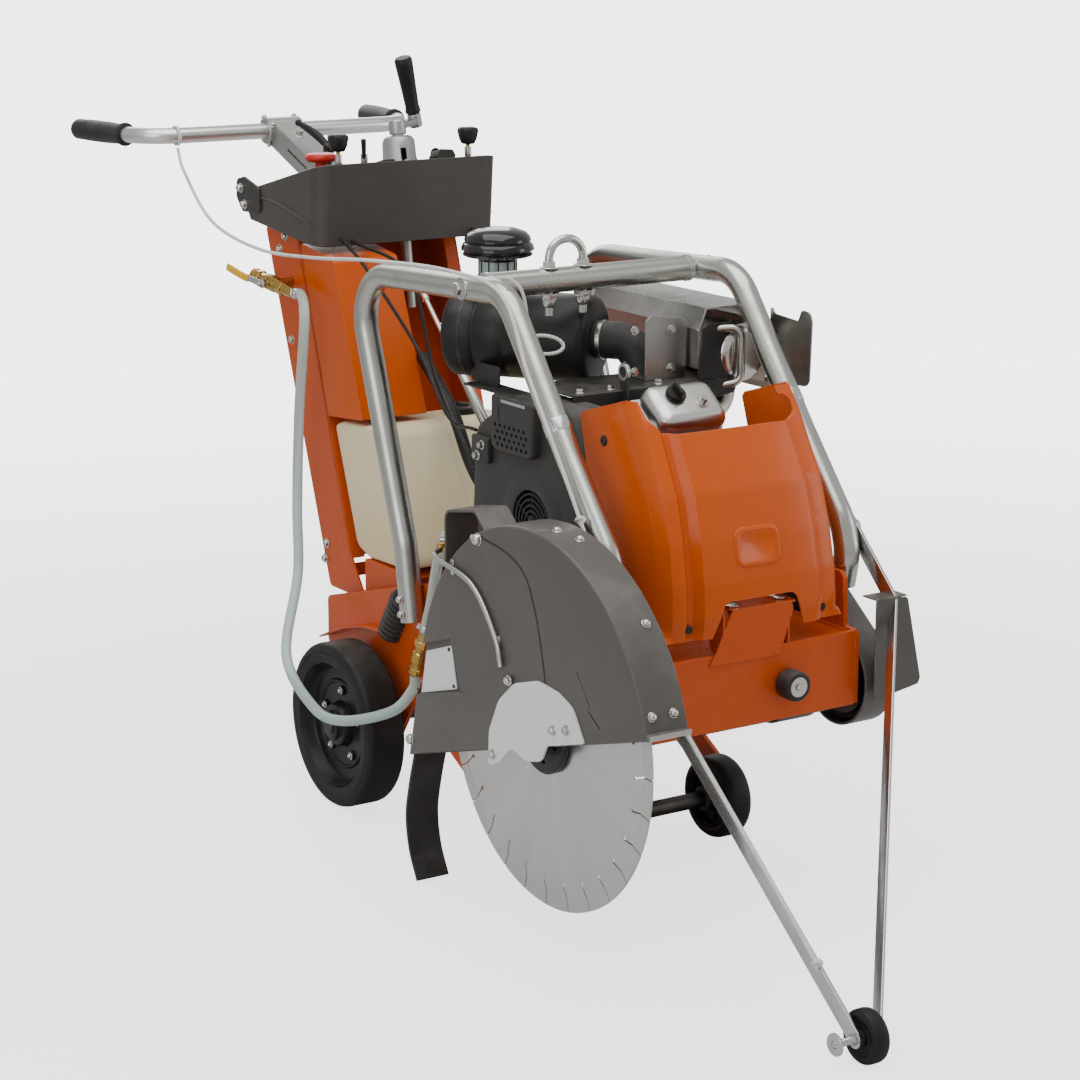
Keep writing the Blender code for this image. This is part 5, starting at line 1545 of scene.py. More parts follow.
def makeFrontCover():
    shape = bmesh.new()
    rows = []
    count = 42
    low, high = frontCover["front"][0][0], frontCover["front"][-1][0]
    for i in range(count + 1):
        z = low + (high - low) * i / count
        front, rear, half = coverFront(z), along(frontCover["rear"], z), along(frontCover["wide"], z)
        row = []
        for share, back in frontCover["across"]:
            y = rear if back is None else min(front + back, rear - 0.0005)
            row.append(shape.verts.new((-share * half, y, z)))
        rows.append(row)
    for one, two in zip(rows, rows[1:]):
        for k in range(len(one) - 1):
            shape.faces.new((one[k], one[k + 1], two[k + 1], two[k]))
    bmesh.ops.recalc_face_normals(shape, faces=shape.faces)
    middle = min(shape.faces, key=lambda face: (face.calc_center_median() - Vector((0, -0.77, 0.5))).length)
    if middle.normal.y > 0:
        bmesh.ops.reverse_faces(shape, faces=shape.faces)
    bmesh.ops.solidify(shape, geom=shape.faces[:], thickness=frontCover["thick"])
    bmesh.ops.recalc_face_normals(shape, faces=shape.faces)
    window = roundedOutline([(-0.136, 0.79), (-0.128, 0.724), (-0.108, 0.704), (0.106, 0.704),
        (0.12, 0.712), (0.122, 0.728), (0.114, 0.736), (0.102, 0.738), (0.102, 0.79)],
        [0, 0.014, 0.01, 0.008, 0.01, 0.008, 0.006, 0.003, 0], 5)
    shape = combine(shape, sheet(window, -0.74, -0.56, "Y"))
    foot = roundedOutline([(-0.092, 0.4), (-0.06, 0.476), (0.062, 0.476), (0.088, 0.4)],
        [0, 0.014, 0.016, 0], 6)
    shape = combine(shape, sheet(foot, -0.82, -0.72, "Y"))
    side = roundedOutline([(0.139, 0.64), (0.139, 0.664), (0.17, 0.664), (0.17, 0.64)],
        [0.008, 0.008, 0, 0], 5)
    shape = combine(shape, sheet(side, -0.76, -0.69, "Y"))
    for x in (-0.1165, 0.1165):
        shape = combine(shape, turned(plug(0.0062, -0.02, 0.04), (x, coverFront(0.443) - 0.004, 0.443),
            (0, 1, 0), 20))
    piece("engine_cover", shape, "orangeCover", "root", ["front_cover"], bevel=0.0008)

    # plain raised panel
    pad = bmesh.new()
    outline = roundedOutline([(-0.04, 0.52), (0.04, 0.52), (0.04, 0.575), (-0.04, 0.575)], 0.016, 6)
    levels = [(1.0, 0.0), (0.97, -0.0012), (0.93, -0.0018), (0.8, -0.0018), (0.77, -0.0009)]
    rings = []
    for share, lift in levels:
        ringNow = []
        for x, z in outline:
            zz = 0.5475 + (z - 0.5475) * share
            ringNow.append(pad.verts.new((x * share, coverFront(zz) - 0.001 + lift, zz)))
        rings.append(ringNow)
    for one, two in zip(rings, rings[1:]):
        for k in range(len(one)):
            j = (k + 1) % len(one)
            pad.faces.new((one[k], one[j], two[j], two[k]))
    pad.faces.new(rings[-1])
    pad.faces.new(rings[0][::-1])
    piece("engine_cover_pad", pad, "orangeCover")

    plugs = bmesh.new()
    for x in (-0.1165, 0.1165):
        addTo(plugs, turned([(0, 0.002), (0.006, 0.002), (0.006, -0.0008), (0.0045, -0.002),
            (0.0018, -0.0012), (0, -0.0012)], (x, coverFront(0.443) + 0.0095, 0.443), (0, 1, 0), 20))
    half = along(frontCover["wide"], 0.69)
    addTo(plugs, turned([(0, -0.001), (0.0078, -0.001), (0.0078, 0.001), (0.006, 0.0022), (0.0022, 0.0014),
        (0, 0.0014)], (-half, -0.588, 0.684), (-1, 0, 0), 24))
    addTo(plugs, turned([(0, -0.001), (0.0078, -0.001), (0.0078, 0.001), (0.006, 0.0022), (0.0022, 0.0014),
        (0, 0.0014)], (half, -0.588, 0.684), (1, 0, 0), 24))
    piece("engine_cover_plugs", plugs, "blackPlastic")


makeFrontCover()
print("front cover made")


# blade guard in two halves, with its handle, slots and plates
guard = {
    "outer": -0.348,
    "inner": -0.282,
    "skin": 0.003,
    "radius": 0.29,
    "rear": (-0.38, 0.2015),
    "frontLow": 0.384,
    "seam": [(-0.586, 0.64), (-0.586, 0.5735), (-0.6, 0.569), (-0.636, 0.565), (-0.676, 0.5545),
        (-0.704, 0.534), (-0.723, 0.498), (-0.736, 0.459), (-0.749, 0.406), (-0.762, 0.35), (-0.79, 0.13)],
    "slot": [(-0.824, 0.437), (-0.856, 0.396), (-0.852, 0.389), (-0.881, 0.371)],
    "recess": [(-0.39, 0.368), (-0.505, 0.412), (-0.538, 0.332), (-0.512, 0.326), (-0.388, 0.29)],
    "hollow": [(-0.37, 0.361), (-0.5015, 0.4065), (-0.532, 0.3345), (-0.5105, 0.329), (-0.37, 0.29)],
    "plate": [(-0.402, 0.361), (-0.493, 0.393), (-0.508, 0.332), (-0.392, 0.297)],
    "hub": [(-0.608, 0.246), (-0.611, 0.3), (-0.636, 0.35), (-0.676, 0.384), (-0.735, 0.402),
        (-0.785, 0.398), (-0.82, 0.385), (-0.848, 0.343), (-0.758, 0.316), (-0.744, 0.29), (-0.7045, 0.28),
        (-0.668, 0.29), (-0.64, 0.262)],
}


def guardOutline(grow):
    radius = guard["radius"] + grow
    y, z = shaft.y, shaft.z
    return [(-0.38 + grow, 0.2005), *arc((y, z), radius, 14, 165, 76), (y - radius, guard["frontLow"])]


def ribbon(line, wide):
    # outline of a narrow strip along a line
    line = [Vector((u, v)) for u, v in line]
    left, right = [], []
    for i, spot in enumerate(line):
        way = (line[min(i + 1, len(line) - 1)] - line[max(i - 1, 0)]).normalized()
        off = Vector((-way.y, way.x)) * wide / 2
        left.append(tuple(spot + off))
        right.append(tuple(spot - off))
    return left + right[::-1]


def smoothLine(points, perSpan=6):
    return [(spot.y, spot.z) for spot in smoothPath([(0, y, z) for y, z in points], perSpan)]


def guardShell():
    outer, inner, skin = guard["outer"], guard["inner"], guard["skin"]
    shell = sheet(guardOutline(0.0), outer, inner)
    rim = [edge for edge in shell.edges if abs(edge.verts[0].co.x - outer) < 1e-6
        and abs(edge.verts[1].co.x - outer) < 1e-6 and all(((vertex.co - shaft).yz.length > guard["radius"]
        - 0.001) for vertex in edge.verts)]
    bmesh.ops.bevel(shell, geom=rim, offset=0.006, segments=4, profile=0.5, affect="EDGES",
        clamp_overlap=True)
    hollow = sheet([(-0.39, 0.1), *guardOutline(-skin)[1:-1], (-1.05, 0.1)], outer + skin, inner - skin)
    shell = combine(shell, hollow)
    y, z = shaft.y, shaft.z
    gate = [(y - 0.062, 0.1), (y + 0.062, 0.1), *arc((y, z), 0.062, 0, 180, 24)]
    return combine(shell, sheet(gate, outer - 0.05, inner + 0.05))


def makeGuard():
    outer, inner, skin = guard["outer"], guard["inner"], guard["skin"]
    seam = smoothLine(guard["seam"], 5)
    frontSide = [(y + 0.0009, z) for y, z in seam] + [(-1.2, 0.05), (-1.2, 0.75), (-0.586 + 0.0009, 0.75)]
    rearSide = [(y - 0.0009, z) for y, z in seam] + [(-0.2, 0.05), (-0.2, 0.75), (-0.586 - 0.0009, 0.75)]
    rear = combine(guardShell(), sheet(frontSide, outer - 0.05, inner + 0.05))
    rear = combine(rear, sheet(roundedOutline(guard["recess"], 0.002, 2), outer - 0.01, outer + 0.0104))
    front = combine(guardShell(), sheet(rearSide, outer - 0.05, inner + 0.05))
    front = combine(front, sheet(ribbon(guard["slot"], 0.0026), outer - 0.01, outer + skin + 0.001))

    # sunk tray for the plate
    edge = roundedOutline(guard["recess"], 0.002, 2)
    tray = combine(sheet([(y, z) for y, z in edge], outer + 0.0005, outer + 0.0105),
        sheet(guard["hollow"], outer - 0.002, outer + 0.0085))
    tray = combine(tray, sheet(guardOutline(-0.0006), outer - 0.01, outer + 0.02), "INTERSECT")
    addTo(rear, tray)
    piece("guard_rear_shell", rear, "greyPaint", "root", ["guard_rear_half"], bevel=0.0008,
        sharp=50)
    piece("guard_front_shell", front, "greyPaint", "guard_front_body", ["guard_front_half"],
        bevel=0.0008, sharp=50)

    # dark rubber strip along the seam: painted shade for the shadow line where the front half overlaps the
    # rear half
    seamShadeStrip = sheet(ribbon(smoothLine(guard["seam"][1:-1], 6), 0.0032), outer - 0.0004, outer + 0.0026)
    piece("guard_seam_shade_strip", seamShadeStrip, "softRubber")

    # strap handle on the rear half
    path = roundedPath([(-0.314, -0.478, 0.505), (-0.314, -0.478, 0.586), (-0.314, -0.558, 0.601),
        (-0.314, -0.588, 0.574), (-0.314, -0.6, 0.566)], 0.016, 6)
    strap = swept(path, 1.0, section=[(-0.027, -0.0022), (0.027, -0.0022), (0.027, 0.0022), (-0.027, 0.0022)])
    piece("guard_handle_strap", strap, "greyPaint", bevel=0.0009)
    link = [(-0.6, 0.445), (-0.454, 0.375), (-0.454, 0.315), (-0.6, 0.385)]
    armPlate = sheet(roundedOutline(link, 0.012, 4), inner - 0.001, -0.2255)
    piece("guard_carrier", armPlate, "blackSteel", bevel=0.002)

    # plates and their rivets
    data = sheet(roundedOutline(guard["plate"], 0.003, 4), outer + 0.007, outer + 0.0084)
    data = combine(data, sheet(guardOutline(-0.004), outer, outer + 0.02), "INTERSECT")
    piece("guard_data_plate", data, "whitePlate", bevel=0.0003)
    hub = sheet(roundedOutline(guard["hub"], [0.006, 0.02, 0.05, 0.04, 0.04, 0.03, 0.03, 0.003, 0.01, 0.02,
        0.04, 0.02, 0.006], 6), outer - 0.004, outer - 0.0003)
    piece("hub_plate", hub, "whitePlate", "root", ["hub_cover_plate"], bevel=0.0007)
    rivets = bmesh.new()
    for y, z in guard["plate"]:
        spot = Vector((outer + 0.007, -0.449 + (y + 0.449) * 0.86, 0.346 + (z - 0.346) * 0.84))
        addTo(rivets, turned([(0, 0), (0.003, 0), (0.0026, 0.0012), (0.0012, 0.0018), (0, 0.0018)], spot,
            (-1, 0, 0), 14))
    piece("guard_plate_rivets", rivets, "blackSteel")
    bolts = bmesh.new()
    for y, z in ((-0.664, 0.385), (-0.622, 0.268), (-0.775, 0.343), (-0.808, 0.352)):
        addTo(bolts, hexHead((outer - 0.004, y, z), (-1, 0, 0), 0.01, 0.0045, 0.0075))
    addTo(bolts, hexHead((outer, -0.388, 0.227), (-1, 0, 0), 0.013, 0.006, 0.0085, dome=True))
    addTo(bolts, hexHead((outer, -0.565, 0.578 - 0.012), (-1, 0, 0), 0.0055, 0.003, 0.005, dome=True))
    piece("guard_bolts", bolts, "boltZinc")
    hinge = hexHead((outer, -0.579, 0.566), (-1, 0, 0), 0.014, 0.0082, 0.0095, dome=True)
    piece("guard_hinge_bolt", hinge, "boltZinc")

    # front end: turned lip with a bare edge and round bolts, and bolts on the rim
    lip = bmesh.new()
    y = shaft.y - guard["radius"]
    addTo(lip, block((outer + 0.001, y - 0.0012, guard["frontLow"]),
        (inner - 0.001, y + 0.0016, guard["frontLow"] + 0.0075)))
    piece("guard_front_lip", lip, "guardEdge", "guard_front_body", bevel=0.0004)
    studs = bmesh.new()
    for angle, x in ((95.5, -0.318), (103.0, -0.306), (136.5, -0.3), (160.8, -0.334), (160.8, -0.3)):
        way = Vector((0, cos(radians(angle)), sin(radians(angle))))
        spot = Vector((x, shaft.y, shaft.z)) + way * (guard["radius"] - 0.0002)
        addTo(studs, hexHead(spot, way, 0.0095, 0.0052, 0.0068, dome=True))
    piece("guard_rim_bolts", studs, "boltZinc", "guard_front_body")


blade = {
    "x": -0.315,
    "radius": 0.25,
    "rimInner": 0.2315,
    "core": 0.0028,
    "rim": 0.0036,
    "segments": 28,
    "slot": 0.0021,
    "keyhole": 0.003,
    "lean": 0.0065,
}


def makeBlade():
    y, z = shaft.y, shaft.z
    count = blade["segments"]
    step = 2 * pi / count
    core = bmesh.new()
    # core outline with a leaning keyhole slot between the segments
    outline = []

    def at(radius, angle):
        return (y + radius * cos(angle), z + radius * sin(angle))

    tipAngle = blade["lean"] / blade["rimInner"]
    for i in range(count):
        middle = i * step
        wide = blade["slot"] / 2
        outer, inner = blade["rimInner"] + 0.0005, 0.211
        outline.append(at(outer, middle - wide / outer))
        turnAt = middle + tipAngle
        outline.append(at(inner + 0.0036, turnAt - wide / inner))
        for k in range(9):
            around = radians(60 + 240 * k / 8)
            offR = blade["keyhole"] * cos(around)
            offT = -blade["keyhole"] * sin(around)
            outline.append(at(inner + offR, turnAt + offT / inner))
        outline.append(at(inner + 0.0036, turnAt + wide / inner))
        outline.append(at(outer, middle + wide / outer))
        for k in range(1, 5):
            outline.append(at(outer, middle + step * k / 5))
    half = blade["core"] / 2
    addTo(core, sheet(outline, blade["x"] - half, blade["x"] + half))
    bore = turned(plug(0.0153, -0.02, 0.02), (blade["x"], y, z), (1, 0, 0), 48)
    core = combine(core, bore)
    half = blade["rim"] / 2
    for i in range(count):
        first = i * step + blade["slot"] / 2 / blade["radius"]
        last = (i + 1) * step - blade["slot"] / 2 / blade["radius"]
        inner = [at(blade["rimInner"], first + (last - first) * k / 6) for k in range(7)]
        outer = [at(blade["radius"], last + (first - last) * k / 6) for k in range(7)]
        addTo(core, sheet(inner + outer, blade["x"] - half, blade["x"] + half))
    piece("diamond_blade_disc", core, "groundBlade", "blade_group", ["diamond_blade"],
        sharp=30)
    x = blade["x"] - half - 0.0003
    profile = [(0.0153, 0.0), (0.0565, 0.0), (0.057, 0.001), (0.057, 0.007), (0.054, 0.0098),
        (0.046, 0.0105), (0.03, 0.012), (0.0153, 0.012)]
    flange = turned(profile, (x, y, z), (-1, 0, 0), 56)
    for k in range(6):
        angle = radians(60 * k + 15)
        spot = (x, y + 0.0385 * cos(angle), z + 0.0385 * sin(angle))
        flange = combine(flange, turned(plug(0.0042, 0.006, 0.02), spot, (-1, 0, 0), 16))
    piece("outer_flange_disc", flange, "blackSteel", "blade_group", ["outer_flange"],
        bevel=0.0005)
    arbor = turned([(0, 0), (0.0135, 0), (0.015, 0.0015), (0.015, 0.024), (0, 0.024)], (-0.3385, y, z),
        (1, 0, 0), 36)
    addTo(arbor, turned([(0.015, 0.0), (0.0555, 0.0), (0.057, 0.0015), (0.057, 0.014), (0.03, 0.014),
        (0.019, 0.0165), (0.015, 0.0165)], (blade["x"] + 0.0021, y, z), (1, 0, 0), 56))
    addTo(arbor, turned([(0, 0), (0.015, 0), (0.015, 0.53), (0.0138, 0.5315), (0, 0.5315)], (-0.2985, y, z),
        (1, 0, 0), 36))
    piece("blade_arbor", arbor, "axleSteel", "blade_group", ["blade_shaft"])
    piece("arbor_bolt", hexHead((-0.3385, y, z), (-1, 0, 0), 0.019, 0.007, 0.014), "boltZinc",
        "blade_group")
    housing = turned([(0.018, -0.262), (0.044, -0.262), (0.046, -0.26), (0.046, -0.1925), (0.046, 0.18),
        (0.045, 0.1825), (0.018, 0.1825)], (0, y, z), (1, 0, 0), 48)
    piece("blade_shaft_bearing_tube", housing, "blackSteel", "root", ["blade_shaft_housing"],
        bevel=0.0006)


makeGuard()
makeBlade()
print("guard and blade made")


# engine: crankcase, two finned banks, covers and brackets
engine = {
    "crank": (-0.41, 0.53),
    "lean": 45,
    "finGap": 0.0095,
    "coverPlace": (0.03, -0.532, 0.7),
    "coverSize": (0.118, 0.082, 0.046),
}


def tilted(low, high, about, degrees):
    return block(low, high, Matrix.Rotation(radians(degrees), 3, "X"), about)


def makeEngine():
    y, z = engine["crank"]
    body = block((-0.0845, y - 0.12, 0.3955), (0.104, y + 0.12, z + 0.055))
    cases = softened(body, 0.01, 3)
    addTo(cases, block((-0.08, y - 0.124, 0.3955), (0.1, y + 0.124, 0.42)))
    for k in range(9):
        x = -0.07 + k * 0.02
        addTo(cases, block((x, y - 0.1245, 0.425), (x + 0.004, y + 0.1245, 0.56)))
    for side in (-1, 1):
        centre = Vector((0.01, y + side * 0.1, z + 0.085))
        degrees = -side * engine["lean"]
        addTo(cases, tilted(centre - Vector((0.06, 0.04, 0.06)), centre + Vector((0.06, 0.04, 0.06)),
            centre, degrees))
        count = int(0.118 / engine["finGap"])
        for k in range(count):
            up = -0.06 + k * engine["finGap"]
            addTo(cases, tilted(centre + Vector((-0.074, -0.049, up)),
                centre + Vector((0.074, 0.049, up + 0.0028)), centre, degrees))
    piece("engine_cases", cases, "castAluminium", "root", ["engine_block"], bevel=0.0007)

    place = Vector(engine["coverPlace"])
    wide, deep, high = (part / 2 for part in engine["coverSize"])
    rocker = softened(block(place - Vector((wide, deep, high)), place + Vector((wide, deep, high))), 0.019, 6)
    rocker = softened(rocker, 0.002, 1, 60)
    addTo(rocker, softened(block(place - Vector((wide + 0.004, deep + 0.004, high)),
        place + Vector((wide + 0.004, deep + 0.004, -high + 0.007))), 0.003, 2))
    turn = Matrix.Rotation(radians(38), 3, "X")
    for source in (rocker,):
        bmesh.ops.rotate(source, cent=place, matrix=turn, verts=source.verts)
    piece("rocker_cover", rocker, "brightCast", sharp=50)
    out = turn @ Vector((0, 0, 1))
    filler = turned([(0, 0), (0.0155, 0), (0.0155, 0.006), (0.014, 0.0085), (0, 0.0085)],
        place + out * high + turn @ Vector((-0.018, 0.01, 0)), out, 28)
    wing = block((-0.0025, -0.012, 0.008), (0.0025, 0.012, 0.0195))
    wing = softened(wing, 0.0015)
    frame3 = facing(out)
    bmesh.ops.rotate(wing, cent=(0, 0, 0), matrix=frame3, verts=wing.verts)
    bmesh.ops.translate(wing, vec=place + out * high + turn @ Vector((-0.018, 0.01, 0)), verts=wing.verts)
    addTo(filler, wing)
    piece("oil_filler_cap", filler, "blackPlastic", bevel=0.0006)
    nut = hexHead(place + out * (high + 0.0002) + turn @ Vector((0.02, -0.008, 0)), out, 0.01, 0.009, 0.01)
    for spot in ((0.052, -0.034, -0.014), (-0.052, -0.034, -0.014), (0.052, 0.034, -0.014)):
        addTo(nut, hexHead(place + turn @ Vector(spot), out, 0.008, 0.006, 0.006))
    piece("rocker_cover_nuts", nut, "boltZinc")

    # dark brackets that carry the cleaner and the muffler, and the engine's own lifting eye
    plates = bmesh.new()
    outline = roundedOutline([(-0.105, 0.722), (0.186, 0.722), (0.186, 0.7), (0.12, 0.69), (-0.02, 0.69),
        (-0.105, 0.706)], 0.006, 4)
    addTo(plates, sheet(outline, -0.452, -0.448, "Y"))
    addTo(plates, block((-0.105, -0.45, 0.7185), (0.186, -0.33, 0.722)))
    addTo(plates, block((-0.128, -0.33, 0.7), (-0.088, -0.18, 0.7035)))
    outline = roundedOutline([(-0.17, 0.7035), (-0.25, 0.7035), (-0.25, 0.735), (-0.17, 0.735)], 0.006, 4)
    addTo(plates, sheet(outline, -0.1085, -0.105))
    outline = roundedOutline([(-0.47, 0.655), (-0.44, 0.655), (-0.4485, 0.765), (-0.4615, 0.765)],
        [0.004, 0.004, 0.006, 0.006], 5)
    tab = sheet(outline, -0.0215, -0.018)
    addTo(plates, tab)
    outline = roundedOutline([(0.12, 0.722), (0.128, 0.8), (0.138, 0.806), (0.186, 0.806), (0.186, 0.722)],
        0.006, 4)
    addTo(plates, sheet(outline, -0.446, -0.4425, "Y"))
    piece("engine_brackets", plates, "blackSteel", bevel=0.0006)
    eye = ring((-0.0198, -0.455, 0.75), 0.0085, 0.0135, -0.0028, 0.0028, 28)
    piece("engine_lift_ring", eye, "zincPlate")

    steel = bmesh.new()
    outline = roundedOutline([(0.05, 0.722), (0.124, 0.722), (0.1265, 0.806), (0.118, 0.812), (0.06, 0.82),
        (0.05, 0.812)], 0.005, 4)
    addTo(steel, sheet(outline, -0.408, -0.4055, "Y"))
    addTo(steel, block((0.05, -0.4075, 0.7225), (0.124, -0.372, 0.725)))
    piece("exhaust_shield_plate", steel, "warmSteel", bevel=0.0007)
    spots = [(0.03, 0.8), (0.097, 0.796), (0.03, 0.738), (0.097, 0.738)]
    bolts = bmesh.new()
    for x, z2 in spots:
        addTo(bolts, hexHead((x, -0.408, z2), (0, -1, 0), 0.0085, 0.005, 0.007))
    for x in (-0.085, -0.03, 0.055, 0.16):
        addTo(bolts, hexHead((x, -0.435, 0.722), (0, 0, 1), 0.009, 0.0055, 0.0075))
    piece("engine_bracket_bolts", bolts, "boltZinc")


shroud = {
    "outline": [(-0.555, 0.4), (-0.565, 0.62), (-0.5, 0.712), (-0.35, 0.712), (-0.245, 0.65),
        (-0.235, 0.52), (-0.26, 0.4)],
    "outer": -0.15,
    "inner": -0.0855,
    "boxLow": (-0.432, 0.628),
    "boxHigh": (-0.318, 0.712),
}


def makeShroud():
    y, z = engine["crank"]
    outer = shroud["outer"]
    shape = sheet(roundedOutline(shroud["outline"], [0.012, 0.03, 0.026, 0.022, 0.034, 0.04, 0.012], 6),
        outer, shroud["inner"])
    edges = [edge for edge in shape.edges if all(abs(vertex.co.x - outer) < 1e-6 for vertex in edge.verts)]
    bmesh.ops.bevel(shape, geom=edges, offset=0.012, segments=5, profile=0.5, affect="EDGES",
        clamp_overlap=True)
    shape = combine(shape, turned(plug(0.1115, -0.146, -0.05), (0, y, z), (1, 0, 0), 64))
    shape = combine(shape, turned(plug(0.05, -0.17, -0.12), (0, y, z), (1, 0, 0), 64))
    # raised ring round the grille, and the box with the cooling holes
    addTo(shape, turned([(0.05, -0.146), (0.05, -0.1535), (0.054, -0.155), (0.07, -0.153), (0.086, -0.1498),
        (0.086, -0.146)], (0, y, z), (1, 0, 0), 64))
    (y0, z0), (y1, z1) = shroud["boxLow"], shroud["boxHigh"]
    boxed = sheet(roundedOutline([(y0, z0 + 0.006), (y0, z1), (y1, z1), (y1, z0 + 0.006), (y1 - 0.014, z0),
        (y0 + 0.014, z0)], 0.006, 4), outer - 0.016, outer + 0.004)
    edges = [edge for edge in boxed.edges if all(abs(vertex.co.x - outer + 0.016) < 1e-6
        for vertex in edge.verts)]
    bmesh.ops.bevel(boxed, geom=edges, offset=0.005, segments=4, profile=0.5, affect="EDGES",
        clamp_overlap=True)
    holes = bmesh.new()
    for row in range(4):
        for k in range(7):
            yy = y0 + 0.016 + k * 0.013 + (0.0065 if row % 2 else 0.0)
            zz = z0 + 0.011 + row * 0.0095
            addTo(holes, turned(plug(0.0033, 0, 0.012), (outer - 0.0175, yy, zz), (1, 0, 0), 10))
    boxed = combine(boxed, holes)
    boxed = combine(boxed, sheet(roundedOutline([(y0 + 0.014, 0.672), (y0 + 0.014, 0.698),
        (y1 - 0.022, 0.698), (y1 - 0.022, 0.672)], 0.002, 3), outer - 0.018, outer - 0.015))
    addTo(shape, boxed)
    # starter housing shoulder towards the back
    shoulder = softened(block((outer - 0.01, -0.3, 0.6), (outer + 0.002, -0.252, 0.64)), 0.004)
    addTo(shape, shoulder)
    piece("fan_housing", shape, "shroudPlastic", "root", ["fan_shroud"], bevel=0.0008,
        sharp=50)

    grille = bmesh.new()
    for radius in (0.01, 0.0185, 0.027, 0.0355, 0.044):
        addTo(grille, turned([(radius - 0.0016, -0.148), (radius + 0.0016, -0.148),
            (radius + 0.0016, -0.152), (radius - 0.0016, -0.152)], (0, y, z), (1, 0, 0), 48))
    for k in range(6):
        angle = radians(30 + 60 * k)
        way = Vector((0, cos(angle), sin(angle)))
        start = Vector((-0.1495, y, z)) + way * 0.004
        addTo(grille, straight(start, start + way * 0.046, 0.0019, 8))
    addTo(grille, turned([(0, -0.146), (0.0085, -0.146), (0.0085, -0.1535), (0.006, -0.1545), (0, -0.1545)],
        (0, y, z), (1, 0, 0), 32))
    piece("starter_grille", grille, "blackPlastic")
    strip = sheet(roundedOutline([(y0 + 0.018, 0.703), (y0 + 0.018, 0.7075), (y1 - 0.03, 0.7075),
        (y1 - 0.03, 0.703)], 0.0012, 3), outer - 0.0164, outer - 0.0158)
    piece("fan_housing_strip", strip, "zincPlate")
    screws = bmesh.new()
    for yy, zz, back in ((-0.2855, 0.628, 0.01), (-0.272, 0.61, 0.01), (-0.52, 0.6, 0.0),
            (-0.53, 0.52, 0.0), (-0.515, 0.452, 0.0), (-0.29, 0.46, 0.0)):
        addTo(screws, hexHead((outer - back - 0.0004, yy, zz), (-1, 0, 0), 0.0095, 0.0055, 0.0075))
    piece("fan_housing_screws", screws, "boltZinc")
    fan = turned([(0.0153, -0.135), (0.06, -0.135), (0.098, -0.118), (0.1, -0.116), (0.1, -0.0965),
        (0.0985, -0.095), (0.0153, -0.095)], (0, y, z), (1, 0, 0), 56)
    for k in range(16):
        angle = 2 * pi * k / 16
        way = Vector((0, cos(angle), sin(angle)))
        wide = way.cross(Vector((1, 0, 0))) * 0.0016
        vane = bmesh.new()
        corners = [(0.045, -0.1335), (0.096, -0.122), (0.096, -0.134), (0.045, -0.1345)]
        one = [vane.verts.new(Vector((x, y, z)) + way * r + wide) for r, x in corners]
        two = [vane.verts.new(Vector((x, y, z)) + way * r - wide) for r, x in corners]
        vane.faces.new(one)
        vane.faces.new(two[::-1])
        for a in range(4):
            b = (a + 1) % 4
            vane.faces.new((one[b], one[a], two[a], two[b]))
        addTo(fan, vane)
    piece("cooling_fan", fan, "blackSteel", "engine_shaft", ["flywheel_fan"])
    crank = turned([(0, -0.14), (0.0138, -0.14), (0.015, -0.1385), (0.015, 0.195), (0.06, 0.195),
        (0.06, 0.199), (0.052, 0.204), (0.052, 0.222), (0.06, 0.227), (0.06, 0.231), (0.015, 0.231),
        (0.015, 0.233), (0, 0.233)], (0, y, z), (1, 0, 0), 48)
    piece("engine_crank", crank, "axleSteel", "engine_shaft", ["crankshaft"])
    pulley = turned([(0.0153, 0.195), (0.055, 0.195), (0.055, 0.199), (0.047, 0.204), (0.047, 0.222),
        (0.055, 0.227), (0.055, 0.231), (0.0153, 0.231)], (0, shaft.y, shaft.z), (1, 0, 0), 48)
    piece("shaft_pulley", pulley, "axleSteel", "blade_group", ["driven_pulley"])
    tilt = math.degrees(atan2(z - shaft.z, y - shaft.y))

    def loop(grow):
        return (arc((y, z), 0.0604 + grow, tilt - 90, tilt + 90, 28)
            + arc((shaft.y, shaft.z), 0.0554 + grow, tilt + 90, tilt + 270, 28))

    belt = bmesh.new()
    for low in (0.1995, 0.2137):
        rings = []
        for x, grow in ((low, 0.0085), (low + 0.013, 0.0085), (low + 0.0112, 0.0009), (low + 0.0018, 0.0009)):
            rings.append([belt.verts.new((x, u, v)) for u, v in loop(grow)])
        for a in range(4):
            one, two = rings[a], rings[(a + 1) % 4]
            for k in range(len(one)):
                j = (k + 1) % len(one)
                belt.faces.new((one[k], one[j], two[j], two[k]))
    piece("drive_belts", belt, "softRubber", "root", ["drive_belt"])


cleaner = {
    "start": Vector((-0.1, -0.109, 0.772)),
    "way": Vector((0.136, -0.19, 0.0)).normalized(),
    "length": 0.234,
    "radius": 0.068,
    "neck": 0.072,
}


